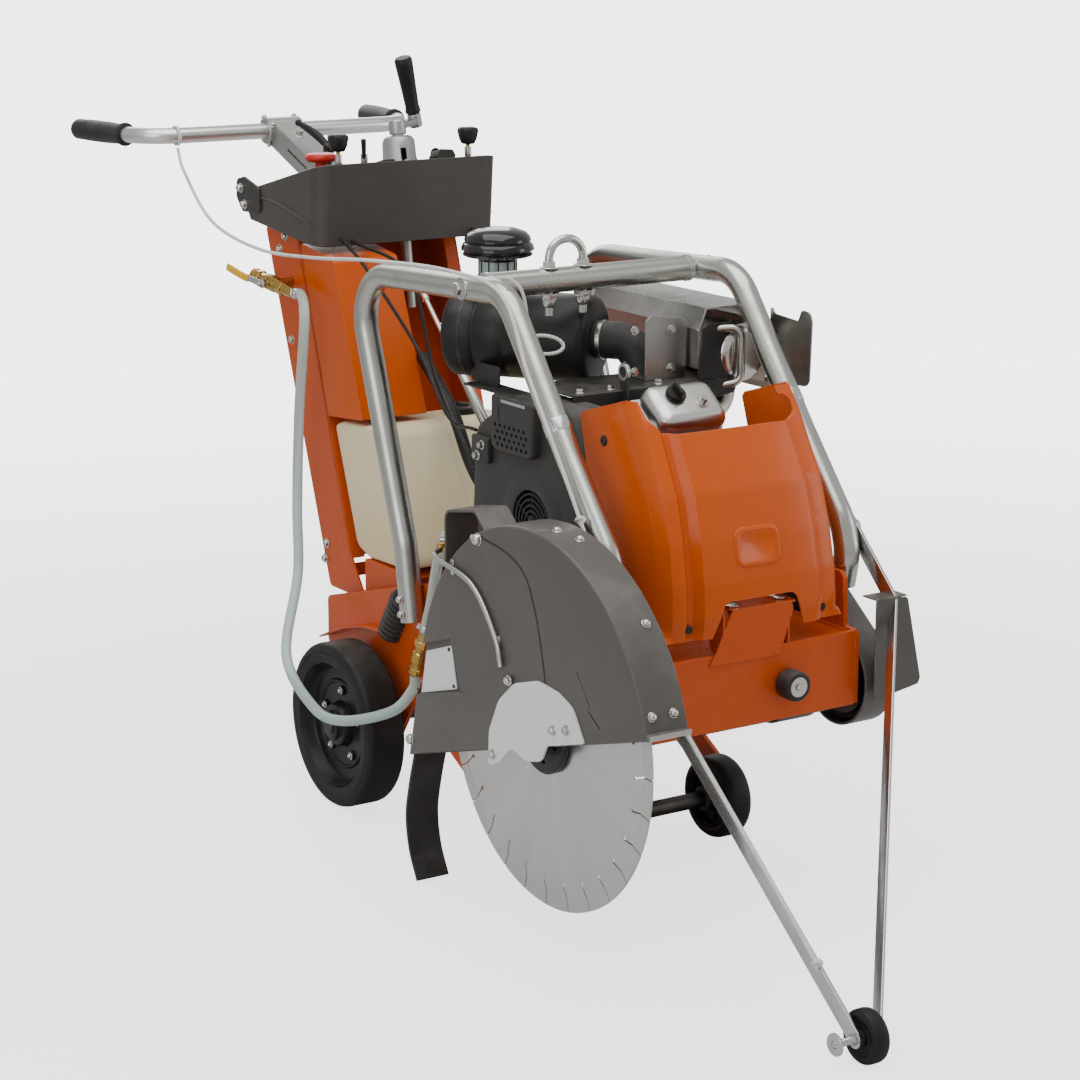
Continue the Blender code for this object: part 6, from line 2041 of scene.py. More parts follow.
def makeCleaner():
    start, way, length, r = (cleaner[key] for key in ("start", "way", "length", "radius"))
    profile = [(0, 0.0035), (0.02, 0.003), (0.022, 0.001), (0.05, 0.0), (0.061, 0.002), (0.0665, 0.007),
        (r, 0.013), (r, 0.05), (0.0668, 0.0515), (0.0655, 0.053), (0.0655, 0.056), (0.0668, 0.0575),
        (0.067, 0.1), (0.0655, 0.102), (0.0655, 0.104), (0.067, 0.106), (0.067, length - 0.012),
        (0.064, length - 0.004), (0.057, length), (0, length)]
    piece("cleaner_canister", turned(profile, start, way, 64), "blackPlastic", "root", ["air_cleaner"],
        sharp=45)
    band = ring(start, r - 0.0006, r + 0.0012, 0.03, 0.0355, 56, way)
    piece("cleaner_band", band, "blackSteel")
    wing = hexHead(start - way * 0.0005, -way, 0.011, 0.006, 0.01)
    top = start - way * 0.009
    side = way.cross(Vector((0, 0, 1))).normalized()
    lean = (side * 0.75 + Vector((0, 0, 0.65))).normalized()
    for sign in (-1, 1):
        path = [top + lean * sign * 0.003, top + lean * sign * 0.01 - way * 0.003,
            top + lean * sign * 0.015 - way * 0.011]
        addTo(wing, swept(smoothPath(path, 4), lambda t: 0.002 + 0.0026 * sin(pi * min(1.0, t * 0.8 + 0.1)),
            12))
    addTo(wing, straight(start + way * 0.002, start - way * 0.018, 0.003, 14, chamfer=0.0006))
    piece("cleaner_wing_nut", wing, "boltZinc")
    neck = start + way * cleaner["neck"]
    place = (neck.x, neck.y, 0)
    bowl = [(0, 0.935), (0.012, 0.9348), (0.03, 0.9325), (0.044, 0.9275), (0.05, 0.921), (0.0515, 0.915),
        (0.05, 0.9135), (0.05, 0.912), (0.0535, 0.91), (0.056, 0.904), (0.056, 0.901), (0.05, 0.899),
        (0.05, 0.8975), (0.0532, 0.896), (0.0532, 0.8925), (0.048, 0.8905), (0.032, 0.8895), (0.029, 0.884),
        (0, 0.884)]
    piece("precleaner_bowl", turned(bowl, place, (0, 0, 1), 56), "glossBlack", "root", ["precleaner"],
        sharp=40)
    piece("precleaner_neck", turned(plug(0.0285, 0.8838, 0.864), place, (0, 0, 1), 40), "clearHose",
        bevel=0.0008)
    foot = turned([(0, 0.8638), (0.03, 0.8638), (0.031, 0.862), (0.031, 0.854), (0.027, 0.852),
        (0.026, 0.838), (0, 0.838)], place, (0, 0, 1), 40)
    for k in range(12):
        angle = 2 * pi * k / 12
        spot = Vector((neck.x + 0.029 * cos(angle), neck.y + 0.029 * sin(angle), 0.865))
        addTo(foot, straight(spot, spot + Vector((0, 0, 0.02)), 0.0011, 8))
    piece("precleaner_foot", foot, "blackPlastic")
    end = start + way * length
    knots = [end - way * 0.004, end + way * 0.055, end + way * 0.075 + Vector((0, 0, -0.04)),
        end + way * 0.078 + Vector((0, 0, -0.082))]
    path = roundedPath(knots, 0.04, 12)

    def size(t):
        return 0.0282 + 0.0008 * exp(-((t - 0.02) / 0.05) ** 2) + 0.0008 * exp(-((t - 0.97) / 0.04) ** 2)

    piece("intake_bend", swept(path, size, 40), "softRubber", "root", ["intake_elbow"])
    lip = ring(end, 0.0285, 0.0304, 0.006, 0.014, 44, way)
    addTo(lip, ring(path[-1], 0.0288, 0.0304, 0.006, 0.013, 44, (path[-2] - path[-1]).normalized()))
    piece("intake_clamps", lip, "boltZinc")
    pad = block((path[-1].x - 0.036, path[-1].y - 0.034, path[-1].z - 0.0065),
        (path[-1].x + 0.036, path[-1].y + 0.034, path[-1].z + 0.0005))
    piece("intake_flange", softened(pad, 0.003), "blackSteel")


muffler = {
    "x": 0.204,
    "z": 0.757,
    "front": -0.452,
    "back": -0.14,
    "radius": 0.045,
    "roof": [(0.13, 0.79), (0.133, 0.79), (0.145, 0.825), (0.235, 0.825), (0.255, 0.8), (0.255, 0.705),
        (0.258, 0.705), (0.258, 0.8015), (0.2365, 0.828), (0.143, 0.828)],
    "roofFront": -0.432,
    "rows": 7,
    "slotsPerRow": 8,
}


def makeMuffler():
    x, z, front, back, r = (muffler[key] for key in ("x", "z", "front", "back", "radius"))
    length = back - front
    profile = [(0, 0), (0.028, 0.0), (0.0385, 0.0025), (0.0435, 0.0075), (r, 0.013), (r - 0.0004, 0.03),
        (r, 0.0315), (r, 0.0335), (r - 0.001, 0.035), (r - 0.001, length - 0.035), (r, length - 0.0335),
        (r, length - 0.013), (0.0435, length - 0.0075), (0.036, length - 0.001), (0, length)]
    can = turned(profile, (x, front, z), (0, 1, 0), 56)
    pipe = roundedPath([(x, -0.4, 0.745), (x, -0.4, 0.672), (0.112, -0.41, 0.64)], 0.03, 10)
    addTo(can, swept(pipe, 0.0158, 28))
    addTo(can, ring(Vector((x, -0.4, 0.7)), 0.0156, 0.0182, -0.003, 0.003, 32, (0, 0, 1)))
    piece("muffler_can", can, "mufflerSteel", "root", ["muffler"], sharp=40)
    bow = roundedPath([(0.15, -0.436, 0.796), (0.188, -0.462, 0.799), (0.188, -0.462, 0.716),
        (0.15, -0.438, 0.708)], 0.016, 8)
    piece("muffler_bow", swept(bow, 0.0058, 20), "zincTube")

    roof = sheet(muffler["roof"], muffler["roofFront"], back, "Y")
    holes = bmesh.new()
    for row in range(muffler["rows"]):
        y = -0.395 + row * 0.038
        for k in range(muffler["slotsPerRow"]):
            xx = 0.154 + k * 0.0105
            addTo(holes, sheet(roundedOutline([(xx - 0.0036, y - 0.0014), (xx + 0.0036, y - 0.0014),
                (xx + 0.0036, y + 0.0014), (xx - 0.0036, y + 0.0014)], 0.0013, 2), 0.81, 0.84, "Z"))
    roof = combine(roof, holes)
    piece("heat_guard_sheet", roof, "guardSteel", "root", ["muffler_guard"],
        bevel=0.0009, segments=2)
    side = roundedOutline([(-0.438, 0.826), (-0.45, 0.812), (-0.506, 0.808), (-0.514, 0.826),
        (-0.534, 0.824), (-0.54, 0.812), (-0.536, 0.712), (-0.438, 0.706)],
        [0.006, 0.006, 0.004, 0.008, 0.01, 0.006, 0.014, 0.006], 4)
    shield = sheet(side, 0.2592, 0.2618)
    addTo(shield, sheet(roundedOutline([(-0.439, 0.694), (-0.14, 0.694), (-0.14, 0.712), (-0.439, 0.712)],
        0.004, 3), 0.2592, 0.2618))
    piece("heat_guard_side", shield, "warmSteel", bevel=0.0006)
    inner = roundedOutline([(-0.15, 0.8), (-0.432, 0.797), (-0.438, 0.742), (-0.432, 0.736),
        (-0.15, 0.745)], 0.006, 4)
    flank = sheet(inner, 0.129, 0.1308)
    piece("heat_guard_flank", flank, "warmSteel", bevel=0.0006)


beltGuard = {"inner": 0.186, "outer": 0.242}


def makeBeltGuard():
    big, small = engine["crank"], (shaft.y, shaft.z)
    tilt = math.degrees(atan2(big[1] - small[1], big[0] - small[0]))

    def outline(grow):
        return (arc(big, 0.078 + grow, tilt - 90, tilt + 90, 40) + arc(small, 0.072 + grow, tilt + 90,
            tilt + 270, 40))

    shape = sheet(outline(0.0), beltGuard["inner"], beltGuard["outer"])
    edges = [edge for edge in shape.edges if all(abs(vertex.co.x - beltGuard["outer"]) < 1e-6
        for vertex in edge.verts)]
    bmesh.ops.bevel(shape, geom=edges, offset=0.008, segments=4, profile=0.5, affect="EDGES",
        clamp_overlap=True)
    shape = combine(shape, sheet(outline(-0.004), 0.18, 0.238))
    piece("belt_cover", shape, "greyPaint", "root", ["belt_guard"], bevel=0.0008, sharp=50)
    knobs = bmesh.new()
    for y, z in ((-0.41, 0.53), (-0.56, 0.47), (-0.7045, 0.3154)):
        addTo(knobs, hexHead((0.242, y, z), (1, 0, 0), 0.013, 0.008, 0.011))
    piece("belt_cover_bolts", knobs, "boltZinc")
    plate = bmesh.new()
    outline2 = roundedOutline([(0.188, 0.3), (0.188, 0.452), (0.246, 0.447), (0.274, 0.322), (0.27, 0.313)],
        [0.003, 0.005, 0.006, 0.004, 0.004], 4)
    addTo(plate, sheet(outline2, -0.7925, -0.79, "Y"))
    addTo(plate, block((0.188, -0.791, 0.448), (0.245, -0.76, 0.4505)))
    piece("belt_front_plate", plate, "greyPaint", bevel=0.0006)
    drum = ring((0.092, shaft.y, shaft.z), 0.0462, 0.049, -0.032, 0.032, 56)
    addTo(drum, turned([(0.0462, -0.0325), (0.0485, -0.0325), (0.0485, -0.0335), (0.0462, -0.0335)],
        (0.092, shaft.y, shaft.z), (1, 0, 0), 48))
    piece("shaft_drum", drum, "blackSteel", bevel=0.0006)


makeEngine()
makeShroud()
makeCleaner()
makeMuffler()
makeBeltGuard()
print("engine made")


# wheels
wheels = {
    "rearRadius": 0.1335,
    "rearIn": 0.208,
    "rearOut": 0.274,
    "frontRadius": 0.0645,
    "frontIn": 0.1424,
    "frontOut": 0.1864,
    "rearHole": 0.0128,
}


def makeRearWheel(side, name):
    centre = Vector((side * (wheels["rearIn"] + wheels["rearOut"]) / 2, *chassis["axle"]))
    half = (wheels["rearOut"] - wheels["rearIn"]) / 2
    r = wheels["rearRadius"]
    out = Vector((side, 0, 0))
    tread = [(0.1, half - 0.004), (0.1015, half - 0.0012), (0.106, half - 0.0004), (0.117, half - 0.0004),
        (0.1176, half - 0.0013), (0.1188, half - 0.0013), (0.1194, half - 0.0004), (0.1255, half - 0.0006),
        (0.13, half - 0.0026), (0.1326, half - 0.0064), (r, half - 0.011), (r, 0.0008)]
    profile = tread + [(radius, -height) for radius, height in tread[::-1]] + [(0.0985, -half + 0.01),
        (0.0985, half - 0.01)]
    piece(name + "_tyre", turned(profile, centre, out, 96), "tyreRubber", name + "_body", [name],
        sharp=40)
    face = [(0.0998, half - 0.0045), (0.0985, half - 0.003), (0.0965, half - 0.006), (0.0935, half - 0.018),
        (0.09, half - 0.022), (0.074, half - 0.0235), (0.0715, half - 0.0205), (0.069, half - 0.0205),
        (0.0665, half - 0.024), (0.045, half - 0.025), (0.038, half - 0.024), (0.0355, half - 0.018),
        (0.034, half - 0.01), (0.0325, half - 0.0085), (0.025, half - 0.008), (0.0235, half - 0.0065),
        (0.023, half - 0.0022), (0.0215, half - 0.001), (wheels["rearHole"], half - 0.001)]
    rim = turned(face + [(radius, -height) for radius, height in face[::-1]], centre, out, 80)
    for k in range(5):
        angle = radians(72 * k + 20)
        spot = centre + Vector((0, cos(angle), sin(angle))) * 0.0555
        for sign in (-1, 1):
            addTo(rim, turned([(0, 0.0), (0.0085, 0.0), (0.0078, 0.0042), (0, 0.0042)],
                spot + out * sign * (half - 0.0252), out * sign, 20))
    piece(name + "_rim", rim, "wheelRim", name + "_body", sharp=40)
    cap = turned([(0, half - 0.0012), (0.0125, half - 0.0012), (0.012, half + 0.0006),
        (0.009, half + 0.0014), (0, half + 0.0016)], centre, out, 36)
    bolts = hexHead(centre + out * (half - 0.0252), out, 0.001, 0.001)
    for k in range(5):
        angle = radians(72 * k + 20)
        spot = centre + Vector((0, cos(angle), sin(angle))) * 0.0555
        addTo(bolts, hexHead(spot + out * (half - 0.021), out, 0.0075, 0.004, 0.006, dome=True))
    piece(name + "_hub_cap", cap, "boltZinc", name + "_body", sharp=50)
    piece(name + "_rim_bolts", bolts, "boltZinc", name + "_body")


def makeFrontWheel(side, name):
    centre = Vector((side * (wheels["frontIn"] + wheels["frontOut"]) / 2, frontHub.y, frontHub.z))
    half = (wheels["frontOut"] - wheels["frontIn"]) / 2
    r = wheels["frontRadius"]
    out = Vector((side, 0, 0))
    tread = [(0.048, half - 0.003), (0.05, half - 0.0008), (0.0545, half), (0.06, half - 0.0022),
        (0.0632, half - 0.0065), (r, half - 0.012), (r, 0.0)]
    profile = tread + [(radius, -height) for radius, height in tread[-2::-1]] + [(0.0465, -half + 0.006),
        (0.0465, half - 0.006)]
    piece(name + "_tyre", turned(profile, centre, out, 72), "tyreRubber", name + "_body", [name],
        sharp=40)
    disc = [(0.0478, half - 0.004), (0.0455, half - 0.003), (0.0435, half - 0.005), (0.0415, half - 0.012),
        (0.023, half - 0.0125), (0.0205, half - 0.008), (0.019, half - 0.0015), (0.0175, half),
        (0.0128, half)]
    rim = turned(disc + [(radius, -height) for radius, height in disc[::-1]], centre, out, 60)
    holes = bmesh.new()
    for k in range(6):
        angle = radians(60 * k + 12)
        spot = centre + Vector((0, cos(angle), sin(angle))) * 0.0325
        addTo(holes, turned(plug(0.0058, -0.03, 0.03), spot, out, 20))
    rim = combine(rim, holes)
    piece(name + "_rim", rim, "wheelRim", name + "_body", bevel=0.0006)


frontAxle = {
    "gap": 0.1885,
    "plate": 0.008,
}


def makeFrontAxle():
    py, pz = chassis["pivot"]
    fy, fz = frontHub.y, frontHub.z
    outline = [(py + 0.028, pz + 0.01), (py, pz + 0.03), (py - 0.03, pz + 0.022), (fy - 0.018, fz + 0.022),
        (fy - 0.02, fz - 0.018), (fy + 0.012, fz - 0.022), (py + 0.022, pz - 0.024)]
    outline = roundedOutline(outline, [0.018, 0.024, 0.02, 0.018, 0.018, 0.014, 0.02], 6)
    near, thick = frontAxle["gap"], frontAxle["plate"]
    arms = joined(sheet(outline, -near - thick, -near), sheet(outline, near, near + thick))
    for side in (-1, 1):
        addTo(arms, ring((side * (near + thick / 2), py, pz), 0.0126, 0.019, -0.006, 0.006, 36))
        addTo(arms, ring((side * (near + thick / 2), fy, fz), 0.0126, 0.018, -0.0056, 0.0056, 36))
    piece("swing_arms", arms, "orangePaint", "front_axle_body", ["front_axle_arm"],
        bevel=0.0012)
    reach = near + 0.012
    shafts = turned([(0, -reach), (0.0115, -reach), (0.0125, -reach + 0.001), (0.0125, reach - 0.001),
        (0.0115, reach), (0, reach)], (0, py, pz), (1, 0, 0), 32)
    reach = near + 0.014
    addTo(shafts, turned([(0, -reach), (0.0115, -reach), (0.0125, -reach + 0.001), (0.0125, reach - 0.001),
        (0.0115, reach), (0, reach)], (0, fy, fz), (1, 0, 0), 32))
    piece("swing_shafts", shafts, "axleSteel", "front_axle_body")
    collars = bmesh.new()
    for side in (-1, 1):
        addTo(collars, turned([(0.0126, 0), (0.019, 0), (0.019, 0.008), (0.0175, 0.0095), (0.0126, 0.0095)],
            (side * (wheels["frontIn"] - 0.0004), fy, fz), (-side, 0, 0), 32))
        addTo(collars, hexHead((side * (wheels["frontIn"] - 0.005), fy, fz + 0.019), (0, 0, 1), 0.005, 0.003))
    piece("front_axle_collars", collars, "blackSteel", "front_axle_body")


for side, name in ((-1, "near_rear_wheel"), (1, "far_rear_wheel")):
    makeRearWheel(side, name)
for side, name in ((-1, "near_front_wheel"), (1, "far_front_wheel")):
    makeFrontWheel(side, name)
makeFrontAxle()
print("wheels made")


# splash flap: rubber strip that hangs behind the blade
flap = {
    "line": [(-0.389, 0.204), (-0.372, 0.15), (-0.362, 0.1), (-0.37, 0.05), (-0.392, 0.0065)],
    "left": -0.342,
    "right": -0.288,
    "thick": 0.0055,
}


def makeFlap():
    line = smoothPath([(0, y + 0.001, z) for y, z in flap["line"]], 10)
    shape = bmesh.new()
    left, right, half = flap["left"], flap["right"], flap["thick"] / 2
    rows = []
    for i, spot in enumerate(line):
        way = (line[min(i + 1, len(line) - 1)] - line[max(i - 1, 0)]).normalized()
        off = Vector((0, -way.z, way.y)) * half
        front, back = [], []
        for k in range(9):
            middle = Vector((left + (right - left) * k / 8, spot.y, spot.z))
            front.append(middle + off * (1 + 0.1 * cos(pi * (k / 8 - 0.5))))
            back.append(middle - off)
        rows.append([shape.verts.new(place) for place in front + back[::-1]])
    for one, two in zip(rows, rows[1:]):
        for k in range(len(one)):
            j = (k + 1) % len(one)
            shape.faces.new((one[k], one[j], two[j], two[k]))
    shape.faces.new(rows[0])
    shape.faces.new(rows[-1][::-1])
    piece("flap_strip", shape, "softRubber", "root", ["splash_flap"], bevel=0.0008)


# water: ball valve with its lever, couplings, hose clamps and the steel pipe
water = {
    "valveRadius": 0.0135,
    "pipeRadius": 0.004,
    "pipe": [(-0.318, -0.4325, 0.523), (-0.33, -0.446, 0.522), (-0.3528, -0.474, 0.519),
        (-0.353, -0.57, 0.5), (-0.353, -0.63, 0.44), (-0.353, -0.645, 0.4)],
}


def nutProfile(radius, low, high):
    edge = radius * 0.08
    return [(0, low), (radius * 0.9, low), (radius, low + edge), (radius, high - edge),
        (radius * 0.9, high), (0, high)]


def makeWater():
    r = water["valveRadius"]
    stem = valveHead + valveWay * 0.06
    body = turned([(0, 0.0), (r * 0.62, 0.0), (r * 0.62, 0.004), (r * 0.92, 0.005), (r * 0.92, 0.012),
        (r * 0.8, 0.013), (r * 0.8, 0.036), (r * 0.92, 0.042), (r, 0.05), (r, 0.07), (r * 0.92, 0.078),
        (r * 0.8, 0.083), (r * 0.8, 0.098), (r * 0.74, 0.1), (r * 0.66, 0.125), (0, 0.125)], valveHead,
        valveWay, 40)
    addTo(body, turned(nutProfile(r * 1.0, 0.014, 0.028), valveHead, valveWay, 6))
    addTo(body, turned(nutProfile(r * 1.0, 0.086, 0.099), valveHead, valveWay, 6))
    addTo(body, straight(stem, stem + Vector((0.0345, 0, 0)), 0.0068, 24))
    addTo(body, turned([(0, 0.0085), (0.0088, 0.0085), (0.0088, 0.013), (0.0078, 0.0139), (0, 0.0139)],
        stem, (-1, 0, 0), 24))
    piece("ball_valve_body", body, "brass", "root", ["water_valve"], bevel=0.0005)
    # lever: steel strip with a dipped sleeve, a nut on the stem
    start = stem + Vector((-0.02, 0.0, 0.0))
    knots = [start + Vector((0, -0.006, -0.001)), start + Vector((-0.0005, 0.012, 0.0015)),
        start + Vector((-0.005, 0.03, 0.005)), start + Vector((-0.0105, 0.048, 0.0085)),
        start + Vector((-0.0125, 0.1, 0.018))]
    line = smoothPath(knots, 6)
    section = [(-0.0052, -0.0012), (0.0052, -0.0012), (0.0052, 0.0012), (-0.0052, 0.0012)]
    strip = swept(line, 1.0, section=[(v, u) for u, v in section])
    addTo(strip, ring(stem, 0.003, 0.0078, 0.0188, 0.0214, 28, (-1, 0, 0)))
    addTo(strip, hexHead(stem + Vector((-0.0214, 0, 0)), (-1, 0, 0), 0.0085, 0.0048))
    addTo(strip, straight(stem + Vector((-0.0142, 0, 0)), stem + Vector((-0.029, 0, 0)), 0.003, 16,
        chamfer=0.0006))
    piece("valve_lever_strip", strip, "zincPlate", "valve_lever_body", ["valve_lever"],
        bevel=0.0004)
    sleeve = swept(line[14:], 1.0, section=roundedOutline([(-0.0024, -0.0064), (0.0024, -0.0064),
        (0.0024, 0.0064), (-0.0024, 0.0064)], 0.0022, 4))
    piece("valve_lever_sleeve", sleeve, "yellowSleeve", "valve_lever_body",
        bevel=0.0004)

    # coupling: two hex nuts, a knurled collar and the tails
    length = (couplingHigh - couplingLow).length
    c = 0.0125
    shape = turned([(0, 0), (c * 0.8, 0), (c * 0.98, 0.003), (c, 0.006), (c * 0.9, 0.01), (c * 0.82, 0.014),
        (c * 0.8, 0.02), (c * 0.94, 0.022), (c * 0.98, 0.03), (c * 0.94, 0.038), (c * 0.76, 0.04),
        (c * 0.76, 0.046), (c * 0.84, 0.048), (c * 0.7, length - 0.004), (c * 0.7, length), (0, length)],
        couplingLow, couplingWay, 40)
    addTo(shape, turned(nutProfile(c, 0.048, 0.06), couplingLow, couplingWay, 6))
    addTo(shape, turned(nutProfile(c, 0.0055, 0.0125), couplingLow, couplingWay, 6))
    piece("coupling_body", shape, "brass", "root", ["hose_coupling"], bevel=0.0005)

    # hose clamps where the hoses end
    clamps = bmesh.new()
    supply, toGuard = smoothPath(hoses["supply"], 8), smoothPath(hoses["guard"], 8)
    for path, back in ((supply, False), (toGuard, False), (toGuard, True)):
        line = path[::-1] if back else path
        way = (line[3] - line[0]).normalized()
        at = line[0] + way * 0.004
        addTo(clamps, ring(at, 0.0084, 0.0096, 0.0, 0.0075, 36, way))
        side = way.cross(Vector((0.3, 0, 1))).normalized()
        lug = at + way * 0.0037 + side * 0.0112
        addTo(clamps, straight(lug - way.cross(side) * 0.0052, lug + way.cross(side) * 0.0052, 0.003, 12,
            chamfer=0.0006))
    piece("hose_clamps", clamps, "boltZinc")

    path = smoothPath(water["pipe"], 10)
    pipe = swept(path, water["pipeRadius"], 20)
    piece("guard_spray_pipe", pipe, "zincTube", "root", ["guard_water_pipe"])
    start = Vector(water["pipe"][0])
    way = (Vector(water["pipe"][2]) - start).normalized()
    fitting = turned(nutProfile(0.0088, -0.002, 0.009), start, way, 6)
    addTo(fitting, turned([(0, 0.009), (0.0064, 0.009), (0.006, 0.017), (0, 0.017)], start, way, 24))
    piece("guard_pipe_fitting", fitting, "brass", bevel=0.0004)
    saddle = bmesh.new()
    for y, z in ((-0.512, 0.5125), (-0.6335, 0.43)):
        addTo(saddle, block((-0.3502, y - 0.004, z - 0.011), (-0.348, y + 0.004, z + 0.011)))
    piece("guard_pipe_saddles", saddle, "zincPlate", bevel=0.0006)


makeFlap()
makeWater()
print("water parts made")


# pointer: two flat bars, the wheel on its bolt, and the rope's ends
pointer = {
    "pivot": (-0.685, 0.533),
    "bend": (-0.782, 0.439),
    "tip": (-1.243, 0.036),
    "x": -0.186,
    "side": 0.227,
    "wide": 0.0125,
    "thick": 0.0025,
    "wheelRadius": 0.036,
    "wheelHalf": 0.013,
}


def flatBar(points, bend=0.02):
    # flat bar on edge with its corners turned on a radius
    path = roundedPath(points, bend, 6)
    shape = bmesh.new()
    rings = []
    wide, thick = pointer["wide"], pointer["thick"]
    for i, place in enumerate(path):
        way = (path[min(i + 1, len(path) - 1)] - path[max(i - 1, 0)]).normalized()
        across = way.cross(Vector((1, 0, 0))).normalized()
        corners = roundedOutline([(-wide, -thick), (wide, -thick), (wide, thick), (-wide, thick)], 0.0011, 3)
        rings.append([shape.verts.new(place + across * u + Vector((v, 0, 0))) for u, v in corners])
    count = len(rings[0])
    for one, two in zip(rings, rings[1:]):
        for k in range(count):
            shape.faces.new((one[k], one[(k + 1) % count], two[(k + 1) % count], two[k]))
    shape.faces.new(rings[0][::-1])
    shape.faces.new(rings[-1])
    return shape


def makePointer():
    py, pz = pointer["pivot"]
    ty, tz = pointer["tip"]
    x, half = pointer["x"], pointer["wheelHalf"]
    side = pointer["side"]
    near = flatBar([(-side, py + 0.01, pz + 0.01), (-side, *pointer["bend"]), (x - half - 0.0045, ty, tz)])
    far = flatBar([(side, py + 0.01, pz + 0.01), (side, *pointer["bend"]), (x + half + 0.0045, ty, tz)])
    bars = addTo(near, far)
    for place in (Vector((x - half - 0.0045, ty, tz)), Vector((x + half + 0.0045, ty, tz))):
        addTo(bars, turned([(0.0052, -0.0024), (0.0122, -0.0024), (0.0122, 0.0024), (0.0052, 0.0024)],
            place, (1, 0, 0), 32))
    piece("pointer_bars", bars, "zincPlate", "pointer_body", ["pointer_frame"])
    axle = turned([(0, -0.238), (0.004, -0.238), (0.005, -0.2365), (0.005, x + half + 0.0085),
        (0.004, x + half + 0.01), (0, x + half + 0.01)], (0, ty, tz), (1, 0, 0), 24)
    for k in range(14):
        addTo(axle, turned([(0.0049, -0.0006), (0.0053, 0.0), (0.0049, 0.0006)],
            (-0.233 + k * 0.0016, ty, tz), (1, 0, 0), 20))
    addTo(axle, turned([(0.005, -0.238), (0.0146, -0.238), (0.015, -0.2376), (0.015, -0.2346),
        (0.0146, -0.2342), (0.005, -0.2342)], (0, ty, tz), (1, 0, 0), 36))
    addTo(axle, hexHead((-0.2342, ty, tz), (1, 0, 0), 0.013, 0.0065))
    addTo(axle, hexHead((x - half - 0.0072, ty, tz), (-1, 0, 0), 0.013, 0.0065))
    addTo(axle, hexHead((x + half + 0.007, ty, tz), (1, 0, 0), 0.011, 0.003))
    piece("pointer_axle_bolt", axle, "boltZinc", "pointer_body")
    r = pointer["wheelRadius"]
    profile = [(0.0053, half), (0.0105, half), (0.0118, half - 0.0012), (0.0122, half * 0.62),
        (0.015, half * 0.5), (0.0225, half * 0.5), (0.025, half * 0.66), (0.0262, half * 0.9),
        (0.0285, half * 0.95), (0.033, half * 0.86), (0.0352, half * 0.66), (r, half * 0.4), (r, 0)]
    wheel = turned(profile + [(radius, -height) for radius, height in profile[-2::-1]], (x, ty, tz),
        (1, 0, 0), 64)
    piece("pointer_roller", wheel, "tyreRubber", "pointer_wheel_body", ["pointer_wheel"],
        sharp=40)
    # pivots on the cage legs
    pivots = bmesh.new()
    for sign in (-1, 1):
        addTo(pivots, hexHead((sign * (side + pointer["thick"]), py, pz), (sign, 0, 0), 0.015, 0.007, 0.0125))
    piece("pointer_pivot_bolts", pivots, "boltZinc", "pointer_body")


def ropeLoop(name, centre, long, wide, way, side, body):
    # eye spliced into the end of the rope
    line = []
    for k in range(29):
        t = 2 * pi * k / 28
        line.append(centre + way * (long / 2) * (1 - cos(t)) + side * wide / 2 * sin(t))
    piece(name, ropeAlong(line, ropes["radius"] * 0.92, ropes["pitch"]), "whiteRope", body,
        sharp=60)


def makeRopeEnds():
    # hitch round the handlebar and the spare eye that hangs inside the cage
    ringLine = [Vector((-0.205 + 0.006 * (k / 34 - 0.5), bar["place"].y + 0.016 * cos(2 * pi * k / 17),
        bar["place"].z + 0.016 * sin(2 * pi * k / 17))) for k in range(35)]
    piece("rope_hitch", ropeAlong(ringLine, 0.0017, ropes["pitch"]), "whiteRope", "handlebar_body")
    ropeLoop("rope_eye", Vector((-0.182, -0.44, 0.805)), 0.056, 0.026,
        Vector((0.85, -0.35, -0.1)).normalized(), Vector((0.1, 0.1, 0.98)).normalized(), "root")
    lead = smoothPath([(-0.2055, -0.43, 0.901), (-0.183, -0.432, 0.88), (-0.176, -0.436, 0.835),
        (-0.182, -0.44, 0.805)], 8)
    piece("rope_lead", ropeAlong(lead, 0.0027, ropes["pitch"]), "whiteRope")
    aboveEnd = Vector(ropes["upper"][-1]).lerp(Vector(ropes["upper"][-2]), 0.35)
    for name, spot, body in (("rope_knot_cage", aboveEnd, "root"), ("rope_knot_pointer",
            Vector(ropes["lower"][-1]), "pointer_body")):
        knot = []
        for k in range(49):
            t = 2 * pi * k / 48
            knot.append(spot + Vector(((sin(t) + 2 * sin(2 * t)) * 0.0021, -sin(3 * t) * 0.0026,
                (cos(t) - 2 * cos(2 * t)) * 0.0021)))
        piece(name, ropeAlong(knot, 0.0025, ropes["pitch"]), "whiteRope", body)


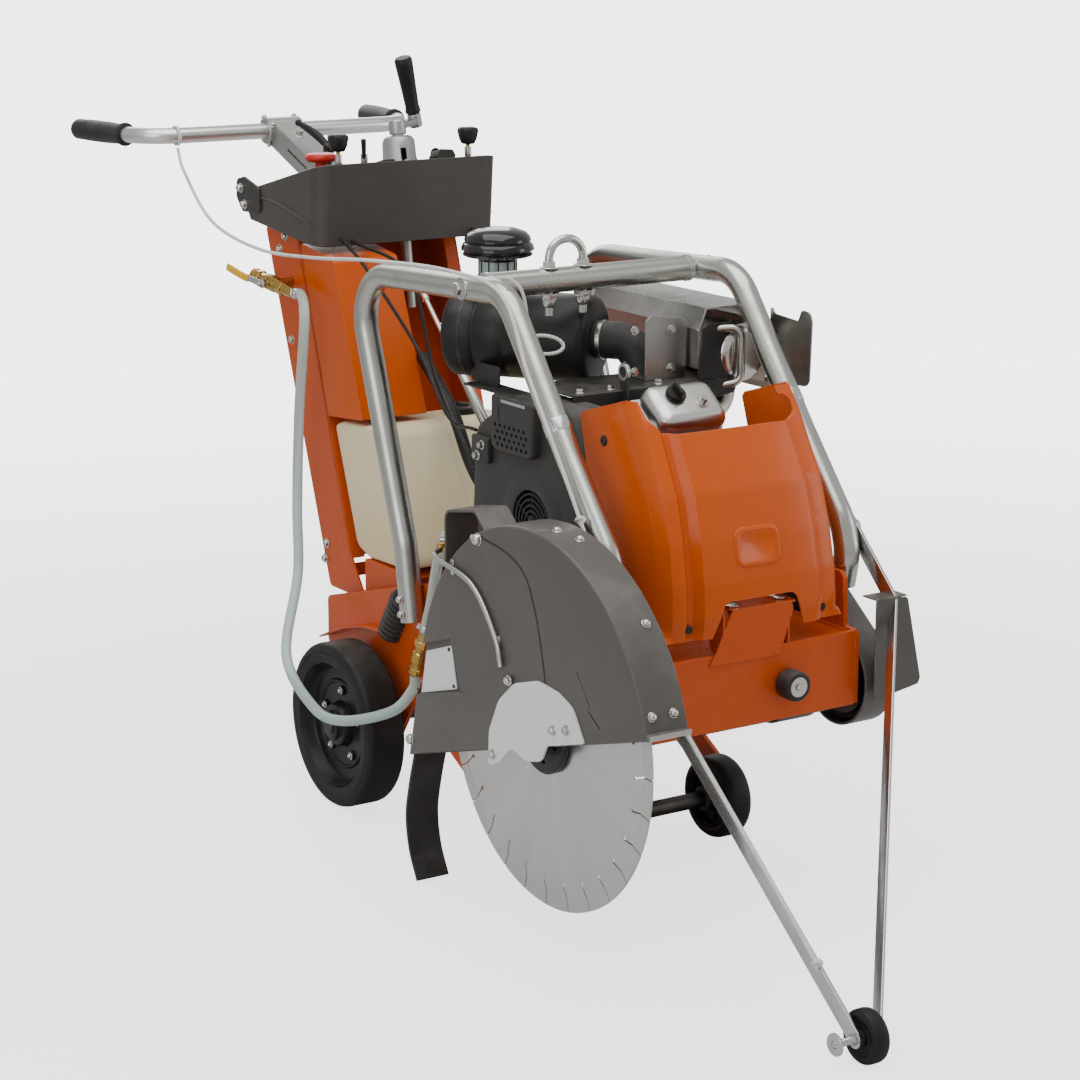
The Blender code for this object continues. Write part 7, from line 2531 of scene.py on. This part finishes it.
def makeStrut():
    top, foot = Vector((-0.01, 0.15, 0.8)), Vector((0.0, -0.08, 0.56))
    way = (foot - top).normalized()
    length = (foot - top).length
    tubePart = turned([(0, 0.11), (0.0078, 0.11), (0.0085, 0.112), (0.0085, length - 0.02),
        (0.006, length - 0.015), (0, length - 0.015)], top, way, 32)
    piece("strut_cylinder", tubePart, "zincTube", "root", ["lift_strut"])
    rod = turned(plug(0.004, 0.018, 0.112), top, way, 20)
    addTo(rod, turned(plug(0.006, 0.012, 0.026), top, way, 20))
    addTo(rod, turned(plug(0.005, length - 0.016, length - 0.002), top, way, 20))
    addTo(rod, ring(top + way * 0.006, 0.0036, 0.0076, -0.003, 0.003, 24))
    addTo(rod, ring(foot - way * 0.002, 0.0036, 0.0072, -0.003, 0.003, 24))
    piece("strut_rod", rod, "boltZinc")


# cables and the ribbed conduit between the console and the engine
cables = {
    "throttle": [(-0.12, 0.215, 0.88), (-0.125, 0.12, 0.84), (-0.085, 0.03, 0.72), (-0.12, -0.12, 0.64),
        (-0.14, -0.235, 0.64)],
    "choke": [(0.13, 0.215, 0.88), (0.12, 0.12, 0.83), (0.09, -0.02, 0.76), (0.06, -0.2, 0.7)],
    "stop": [(-0.1, 0.215, 0.875), (-0.06, 0.1, 0.83), (-0.06, 0.02, 0.68), (-0.09, -0.15, 0.56)],
    "radius": 0.0028,
    "conduit": [(-0.02, 0.13, 0.69), (-0.03, 0.02, 0.62), (-0.05, -0.08, 0.54), (-0.06, -0.2, 0.47)],
    "conduitRadius": 0.0095,
}


def makeCables():
    for name in ("throttle", "choke", "stop"):
        line = smoothPath(cables[name], 14)
        piece(name + "_cable", swept(line, cables["radius"], 12), "blackCable")
    line = evenly(smoothPath(cables["conduit"], 16), 0.0013)
    total = len(line) - 1
    shape = swept(line, lambda t: cables["conduitRadius"] + 0.0009 * sin(t * total * pi / 2), 20)
    piece("ribbed_conduit", shape, "blackCable", sharp=80)


makePointer()
makeRopeEnds()
makeStrut()
makeCables()
print("pointer, ropes and cables made")
